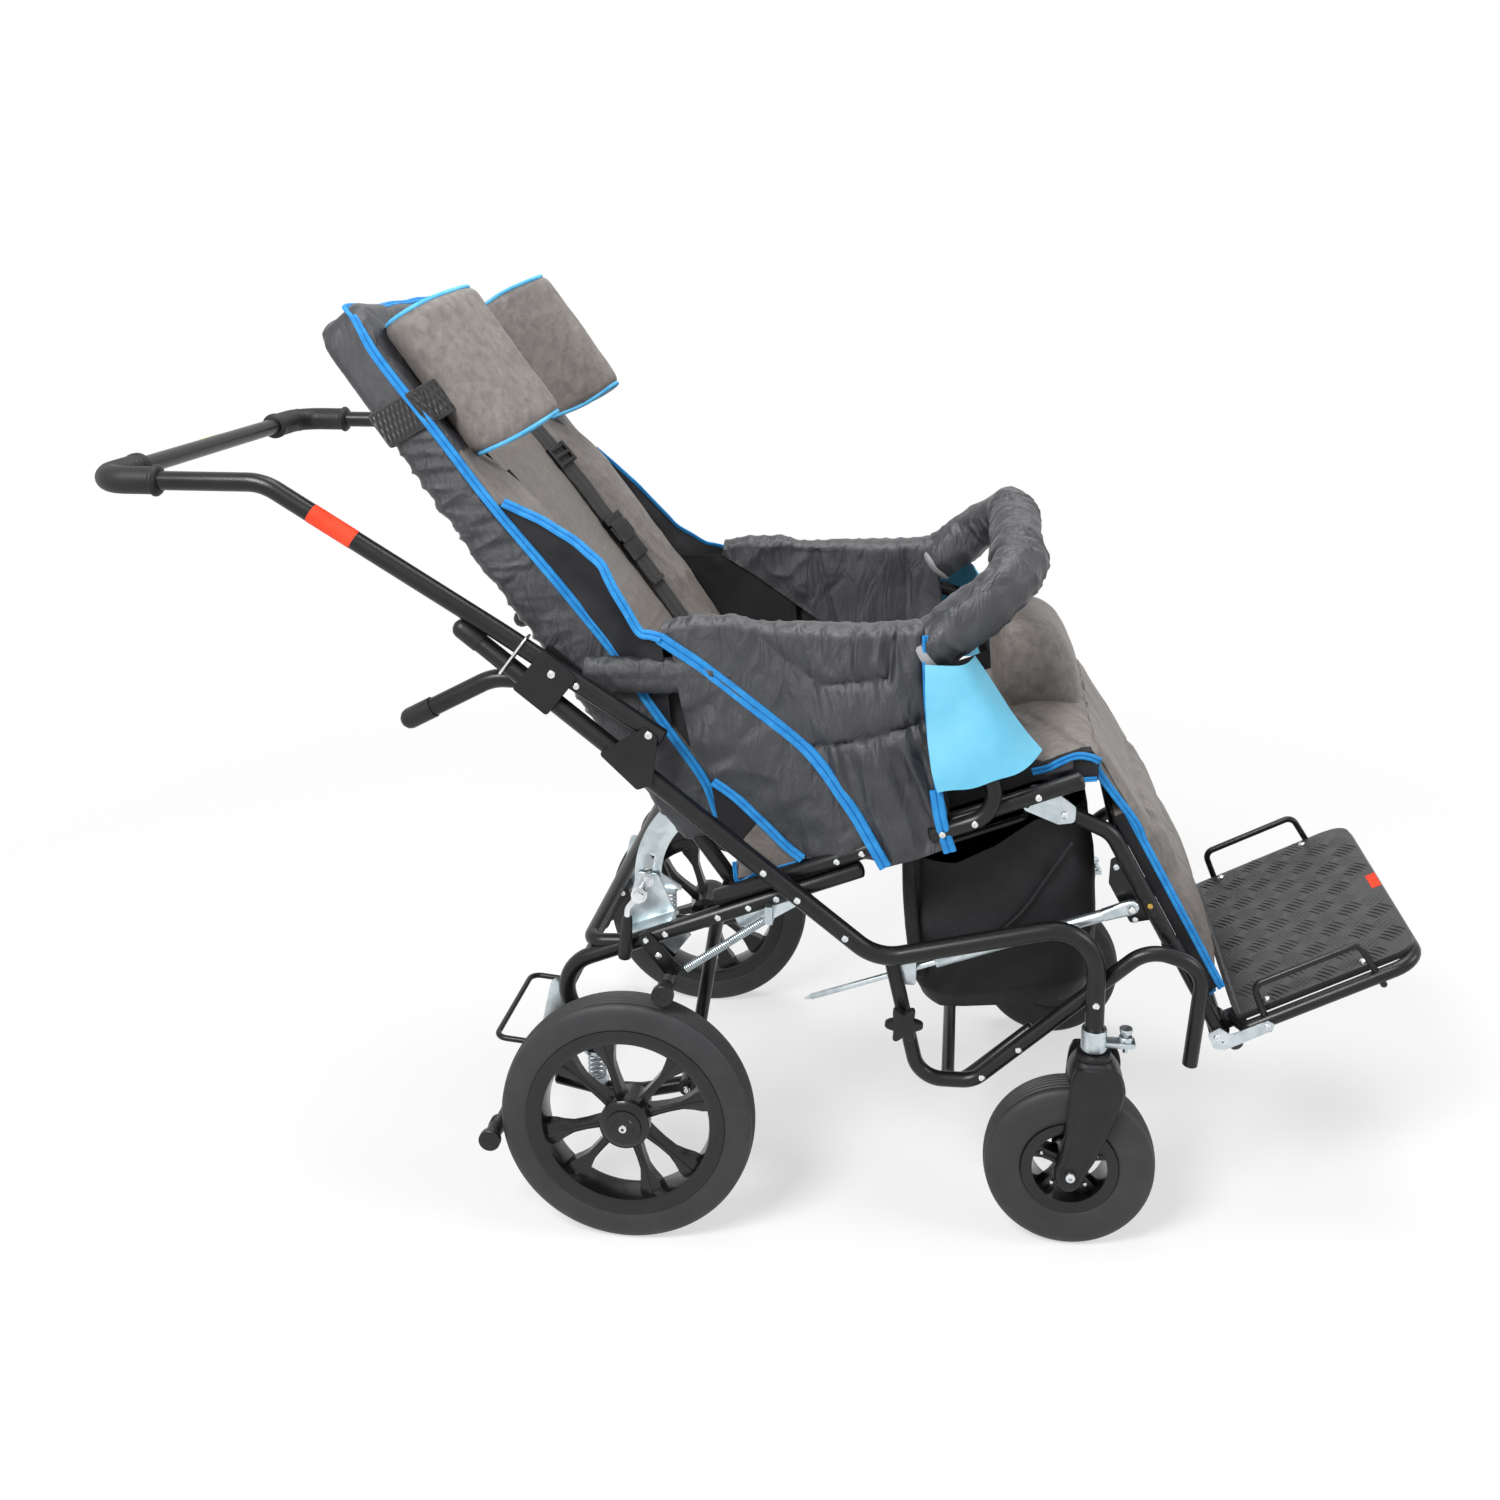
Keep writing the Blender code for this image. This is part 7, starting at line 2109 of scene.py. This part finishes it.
def panelFace(u, v):  # outer face: side-view place and distance from the middle
    (lx, lz), (tx, tz) = onLine(panel["low"], u), onLine(panel["top"], u)
    x, z = lx + (tx - lx) * v, lz + (tz - lz) * v
    x -= panel["frontBow"] * sin(pi * v) * max(0.0, (u - 0.8) / 0.2)
    ahead = min(1.0, max(0.0, (x - 0.15) / 0.13))
    room = ahead * ahead * (3 - 2 * ahead)  # the rear part stays inside the folding handle's path
    loose = 0.22 + 0.78 * room
    sewn = min(lineGap(x, z, line) for line in panel["seams"])
    rim = min(lineGap(x, z, panel["low"]), 9.0 if u < 0.7 else (1 - u) * 0.33)
    spot = Vector((x, 0, z))
    depth = 0.0105 * exp(-sewn / 0.0075) + 0.0075 * exp(-rim / 0.016)
    pucker = exp(-sewn / 0.022) * min(1.0, sewn / 0.004) * min(1.0, rim / 0.01)
    under = min(1.0, max(0.0, (0.612 - z) / 0.02)) * min(1.0, rim / 0.012)
    roll = exp(-((v - 0.95) / 0.1) ** 2)
    slant = Vector((x + 0.35 * z, 0, z - 0.35 * x))
    fold = 0.0075 * pucker * (crease(slant, (58, 1, 12), 3) - 0.5) + 0.014 * under * (crease(slant,
        (30, 1, 7), 6) - 0.62)
    fold += 0.0034 * min(1.0, rim / 0.012) * ripple(spot, (19, 1, 15), 9) + 0.006 * roll * (crease(spot,
        (46, 1, 6), 4) - 0.5)
    return x, panel["outer"] + panel["swell"] * room + loose * (min(0.0, fold - 0.0015) + 0.4 * max(0.0,
        fold - 0.0015) - depth), z


def sidePanels():
    for label, side, out in sides:
        bm = bmesh.new()
        rings = []
        total, rows = 132, 56
        inner = panel["inner"]
        for i in range(total + 1):
            u = i / total
            ring = []
            for j in range(rows + 1):
                x, y, z = panelFace(u, j / rows)
                ring.append(bm.verts.new(at(x, out * y, z)))
            wide = (y - inner) / 2
            for t in range(15, 180, 15):  # roll over the armrest tube
                a = radians(t)
                tuck = 0.0022 * sin(a) * (crease(Vector((x, 0, 0)), (52, 1, 1), 4) - 0.5)
                ring.append(bm.verts.new(at(x, out * (inner + wide + wide * cos(a)), z + 0.011 * sin(a)
                    + tuck)))
            (lx, lz), (tx, tz) = onLine(panel["low"], u), onLine(panel["top"], u)
            for v in np.linspace(0.99, 0.1, 30):
                px, pz = lx + (tx - lx) * v, lz + (tz - lz) * v
                spot = Vector((px, 0, pz))
                sag = 0.003 * ripple(spot, (22, 1, 16), 12) - 0.004 * exp(-abs(px - 0.205 + 0.25
                    * (pz - 0.6)) / 0.006)
                sag -= 0.004 * exp(-abs(px - 0.3) / 0.006) - 0.004 * (crease(spot, (20, 1, 24), 2)
                    - 0.4) * (px < 0.16)
                ring.append(bm.verts.new(at(px, out * (inner - sag), max(pz, seatZ(px) + 0.03))))
            rings.append(ring)
        skinRings(bm, rings, 0)
        obj = donePiece("sidePanel" + label, bm, [nylon], "chassis", [f"side_panel_{side}"],
            70)
        bm = bmesh.new()
        edge = []
        for u in np.linspace(0.0, 0.75, 14):
            x, y, z = panelFace(u, 0.0)
            lift = 0.0035 if x > 0.2 else 0.0011  # clear of the folding handle
            edge.append(at(x, out * (y + lift), z + 0.002))
        tapeInto(bm, edge, [(0, out, 0.12)], 0.015, 4)
        front = []
        for v in np.linspace(0.16, 1, 9):
            x, y, z = panelFace(1.0, v)
            front.append(at(x + 0.002, out * (y + 0.003), z))
        tapeInto(bm, front, [(0.6, out, 0)], 0.0085, 4)
        below = sideLine(out, ((0.354, 0.256, 0.556), (0.358, 0.2565, 0.53), (0.363, 0.256, 0.508),
            (0.371, 0.2535, 0.482)))
        tapeInto(bm, below, [(0, out, 0.1)], 0.015, 4)
        donePiece("panelBinding" + label, bm, [azure, deepAzure], "chassis")


lowPanel = {"upper": mm((50, 712), (94, 690), (158, 641), (229, 583), (272, 523), (302, 466)),
    "lower": mm((72, 585), (97.2, 547), (123.6, 528), (157, 496), (181.2, 471.5), (200.4, 456),
    (284, 459)), "rail": mm((119.7, 442), (124.3, 417.5), (149, 430.4), (175.7, 438.5), (226.7, 456.5),
    (277.2, 474.5))}


def lowPanels():
    for label, _, out in sides:
        def place(u, v):
            (ax, az), (bx, bz) = onLine(lowPanel["lower"], u), onLine(lowPanel["upper"], u)
            x, z = ax + (bx - ax) * v, az + (bz - az) * v
            spot = Vector((x * 0.8 + z * 0.6, 0, z * 0.8 - x * 0.6))
            wave = 0.011 * (crease(spot, (8, 1, 26), 5) - 0.55) + 0.004 * ripple(spot, (30, 1, 40), 2)
            y = 0.227 + 0.006 * v + 0.007 * sin(pi * v) + wave * sin(pi * v) ** 0.5
            y = min(0.2364, max(0.2262, y))
            return at(x, out * y, z)
        bm = bmesh.new()
        area = sheetInto(bm, place, 90, 60, 0.003)
        obj = donePiece("lowerSidePanel" + label, bm, [nylon], "chassis", sharp=70)
        bm = bmesh.new()
        lower = [at(x, out * 0.2305, z) for x, z in lowPanel["lower"][1:6]]
        tapeInto(bm, lower, [(0, out, 0.2)], 0.0115, 6)
        rail = [at(x, out * 0.2225, z + 0.003) for x, z in lowPanel["rail"]]
        tapeInto(bm, rail, [(0, out, 0.2)], 0.0055, 6)
        corner = [at(x, out * 0.223, z) for x, z in ((0.15, 0.498), (0.128, 0.47), (0.123, 0.424),
            (0.15, 0.434), (0.196, 0.45))]
        bm.faces.new([bm.verts.new(c) for c in corner]).material_index = 2
        bm.faces.new([bm.verts.new(c - Vector((0, out * 0.0016, 0))) for c in corner]).material_index = 2
        tab = ((0.094, 0.535), (0.13, 0.526), (0.16, 0.495), (0.128, 0.47), (0.112, 0.48), (0.1, 0.5))
        for deep in (0.2213, 0.2198):  # black webbing tab behind the corner
            bm.faces.new([bm.verts.new(at(x, out * deep, z)) for x, z in tab]).material_index = 3
        donePiece("lowerPanelBinding" + label, bm, [azure, deepAzure, velour, darkNylon], "chassis")


sleeve = {"from": -0.055, "to": 0.1, "z": 0.6735, "high": 0.0215, "inside": 0.0128, "outside": 0.0122}


def armSleeves():
    w = sleeve
    for label, _, out in sides:
        bm = bmesh.new()
        rings = []
        for i in range(61):
            t = i / 60
            x = w["from"] + (w["to"] - w["from"]) * t
            z = w["z"] + 0.0015 * t - 0.0035
            close = min(1.0, 0.72 + 0.28 * min(1, t / 0.03))
            ring = []
            for k in range(32):
                a = 2 * pi * k / 32
                ca, sa = cos(a), sin(a)
                spot = Vector((x, 0.05 * ca, 0.05 * sa))
                r = 1 + 0.11 * (crease(spot, (44, 18, 18), 3 + out) - 0.55) + 0.06 * ripple(spot,
                    (26, 30, 30), 5)
                r -= 0.16 * exp(-((a - pi * 1.03) / 0.16) ** 2)  # sewn line along the outer face
                wide = w["inside"] if ca > 0 else w["outside"]
                ring.append(bm.verts.new(at(x, out * (armY - wide * ca * r * close), z + w["high"] * sa
                    * r * close)))
            rings.append(ring)
        skinRings(bm, rings, 0)
        obj = donePiece("armSleeve" + label, bm, [nylon], "chassis", sharp=70)
        bm = bmesh.new()  # loose sewing thread at the rear end
        spool = sideLine(out, ((-0.056, 0.24, 0.672), (-0.06, 0.243, 0.668), (-0.063, 0.242, 0.662),
            (-0.066, 0.244, 0.657)))
        tubeInto(bm, smoothLine(spool, 5), 0.0005, 6, 0)
        donePiece("sleeveThread" + label, bm, [greyTrim], "chassis")


gusset = {"upper": mm((-143, 866), (-99, 846), (-60, 822), (-30, 797), (-14, 768), (15, 722), (41, 717)),
    "far": mm((-143, 862), (-115, 838), (-85, 811), (-58, 781), (-30, 750), (10, 725), (41, 717)),
    "s": [0.527, 0.48, 0.425, 0.37, 0.315, 0.255, 0.19], "lower": mm((60, 716), (112, 694), (142, 650),
    (146, 600), (142, 560), (140, 520))}


def backGussets():
    g = gusset
    for label, _, out in sides:
        def place(u, v):
            k = onLine([(s,) for s in g["s"]], u)[0]
            inner = back(k, tableAt(cover["piping"], k) - 0.002, out * (cover["half"] - 0.001))
            x, z = onLine(g["upper"] if out < 0 else g["far"], u)
            outer = at(x, out * (0.2165 + 0.02 * max(0.0, (u - 0.35) / 0.65)), z)
            spot = inner.lerp(outer, v)
            hollow = 0.003 * sin(pi * v) * sin(pi * min(1, u * 1.1))
            spot.y -= out * (hollow + 0.004 * ripple(spot, (24, 1, 24), 4) * sin(pi * v))
            return spot
        bm = bmesh.new()
        area = sheetInto(bm, place, 48, 16, 0.002)
        line, ups = [], []
        for u in np.linspace(0.0, 1.0, 13):
            line.append(place(u, 1.0) + Vector((0, out * 0.001, 0.001)))
            ups.append(Vector((0.5, out * 0.8, 0.5)))
        tapeInto(bm, line, ups, 0.012, 5, mats=(1, 2))
        obj = donePiece("backGusset" + label, bm, [darkNylon, azure, deepAzure], None,
            sharp=60)
        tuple(back(0.4, 0.03, 0))
        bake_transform(obj)

        def inset(u, v):  # dark cloth between the back's edge and the lower side panel
            k = 0.335 - 0.215 * u
            inner = back(k, tableAt(cover["piping"], k) + 0.004, out * (cover["half"] - 0.006))
            x, z = onLine(g["lower"], u)
            spot = inner.lerp(at(x, out * 0.214, z), v)
            spot.y -= out * (0.003 + 0.003 * ripple(spot, (26, 1, 26), 7)) * sin(pi * v)
            return spot

        bm = bmesh.new()
        area = sheetInto(bm, inset, 30, 12, 0.002)
        obj = donePiece("lowerGusset" + label, bm, [darkNylon], None, sharp=60)
        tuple(back(0.22, 0.05, 0))
        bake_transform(obj)


frontGusset = {"rear": mm((340, 703), (341, 660), (344, 615), (349, 580), (355.6, 556)),
    "ahead": mm((394, 703), (415, 672), (436, 640), (455, 614), (472, 593.5))}


def frontGussets():
    for label, _, out in sides:
        def place(u, v):
            (ax, az), (bx, bz) = onLine(frontGusset["rear"], u), onLine(frontGusset["ahead"], u)
            x, z = ax + (bx - ax) * v, az + (bz - az) * v
            spot = Vector((x, 0, z))
            hem = 0.0012 * sin(v * 14) * max(0.0, u - 0.85) / 0.15
            y = 0.2632 - 0.042 * v ** 8 + 0.0014 * ripple(spot, (30, 1, 18), 3) + 0.0016 * sin(9 * u + 3
                * v)
            return at(x, out * y, z - 0.006 * u * sin(pi * v) + hem)
        bm = bmesh.new()
        area = sheetInto(bm, place, 30, 26, 0.0016)
        obj = donePiece("frontGusset" + label, bm, [cyan], "chassis", sharp=70)


sidePanels()
lowPanels()
armSleeves()
backGussets()
frontGussets()
print("side panels made")


# front bar sleeve

barSleeve = {"radius": 0.0305, "fillet": 0.105, "drop": 0.008, "shorten": 0.008}


def frontBar():
    b = barSleeve
    start = alongBar(-0.006)
    ahead, high = bar["cross"][0] - b["shorten"], bar["cross"][1] - b["shorten"] - b["drop"]
    corners = [at(start[0], -armY, start[1]), at(ahead, -armY, high), at(ahead, armY, high),
        at(start[0], armY, start[1])]
    line = evenLine(fillet(corners, b["fillet"], 24), 0.0035)
    tangents, across = ringFrames(line, False)
    bm = bmesh.new()
    rings = []
    total = len(line)
    for i, (p, t, side) in enumerate(zip(line, tangents, across)):
        other = t.cross(side)
        share = i / (total - 1)
        bend = exp(-((share - 0.29) / 0.09) ** 2) + exp(-((share - 0.71) / 0.09) ** 2)
        ring = []
        for k in range(40):
            a = 2 * pi * k / 40
            spot = Vector((share * 0.75, 0.03 * cos(a), 0.03 * sin(a)))
            tuck = crease(spot, (52, 16, 16), 4) - 0.42
            r = b["radius"] * (1 + 0.07 * ripple(spot, (16, 40, 40), 2)) + (0.003 + 0.006
                * bend) * tuck + 0.0024 * (crease(spot, (14, 45, 45), 9) - 0.4)
            r -= 0.004 * exp(-((a - 4.2) / 0.1) ** 2)  # closing seam under the sleeve
            r *= 0.94 + 0.06 * min(1, share / 0.03, (1 - share) / 0.03)
            ring.append(bm.verts.new(p + r * (cos(a) * side + sin(a) * other)))
        rings.append(ring)
    skinRings(bm, rings, 0)
    for end, step in ((0, 1), (-1, -1)):  # trimmed cuffs
        p, t = line[end], tangents[end] * step
        cuff = [p - t * 0.004, p + t * 0.001, p + t * 0.005, p + t * 0.009]
        wavy = [b["radius"] * 0.8, b["radius"] * 1.01, b["radius"] * 1.03, b["radius"] * 0.97]
        tubeInto(bm, cuff, wavy, 32, 1)
    for out in (-1, 1):
        inner, outer = alongBar(-bar["spigot"]), alongBar(0.012)
        rodInto(bm, at(inner[0], out * armY, inner[1]), at(outer[0], out * armY, outer[1]), 0.007, 16, 2)
    obj = donePiece("frontBar", bm, [nylon, greyTrim, zinc], "front_bar", ["front_bar"],
        60)


# basket

bag = {"rear": 0.316, "front": 0.53, "half": 0.18, "rim": mm((300, 439.5), (338, 439), (363, 436.2),
    (387, 436.2), (425, 461), (444, 484), (462, 492), (540, 515)), "floor": mm((300, 262), (345, 246),
    (400, 250), (485, 260), (540, 275))}


def basket():
    b = bag
    rings = []
    around, levels = 112, 26
    middle, half = (b["rear"] + b["front"]) / 2, (b["front"] - b["rear"]) / 2
    bm = bmesh.new()
    for level in range(-5, levels + 1):
        t = max(0.0, level / levels)
        shrink = 1.0 if level >= 0 else 1.0 + level * 0.17
        ring = []
        for k in range(around):
            a = 2 * pi * k / around
            (ca, sa), (px, py) = squared(a, 1, 1), squared(a, 0.3, 0.26)
            x = middle + half * px * shrink
            y = b["half"] * py * shrink
            low = tableAt(b["floor"], x)
            rim = min(tableAt(b["rim"], x), seatZ(x) - 0.006)
            z = low + (rim - low) * t
            tuck = 0.94 + 0.06 * min(1.0, t / 0.12)
            x = middle + (x - middle) * tuck + 0.018 * (1 - t) * (1 if px > 0.4 else 0.6 if px < -0.4
                else 0.8)
            y *= tuck
            spot = Vector((x, y, z))
            belly = 0.006 * sin(pi * t) + 0.02 * t * (1 - t) * ripple(spot, (14, 14, 9), 3)
            belly += 0.0045 * (crease(spot, (24, 24, 11), 7) - 0.45) * min(1.0, 4 * t,
                5 * (1 - t)) + 0.0012 * ripple(spot, (55, 55, 30), 5)
            ring.append(bm.verts.new(at(x + belly * ca, y + belly * sa, z)))
        rings.append(ring)
    skinRings(bm, rings, 0, caps=False)
    bm.faces.new(rings[0])
    area = sum(f.calc_area() for f in bm.faces)
    shell = addObject("basketShell", meshFrom("basketShell", bm))
    thick = shell.modifiers.new("thick", "SOLIDIFY")
    thick.thickness = 0.0018
    done = meshed(shell)
    bpy.data.objects.remove(shell)
    obj = linkMesh("basketBag", done, [darkNylon], "chassis", ["basket"], 60)
    bm = bmesh.new()
    for out in (-1, 1):
        hem = [at(b["rear"] + dx, out * (b["half"] + dy), z) for dx, dy, z in ((0.006, 0.001, 0.446),
            (0.008, 0.002, 0.39), (0.014, 0.002, 0.33), (0.022, 0.001, 0.296))]
        tubeInto(bm, smoothLine(hem, 8), 0.0085, 14, 0, domes=(0.6, 0.6))
        edge = [at(x, out * (b["half"] + dy), z) for x, dy, z in ((0.512, 0.007, 0.472),
            (0.484, 0.008, 0.4273), (0.461, 0.0085, 0.39), (0.4396, 0.0085, 0.3652),
            (0.423, 0.0075, 0.35))]
        tubeInto(bm, smoothLine(edge, 6), 0.0022, 8, 0, domes=(0.6, 0.6))
    donePiece("basketHem", bm, [darkNylon], "chassis")


frontBar()
basket()
print("front bar and basket made")

for spare in (boltShape, rivetShape):
    bpy.data.objects.remove(spare)
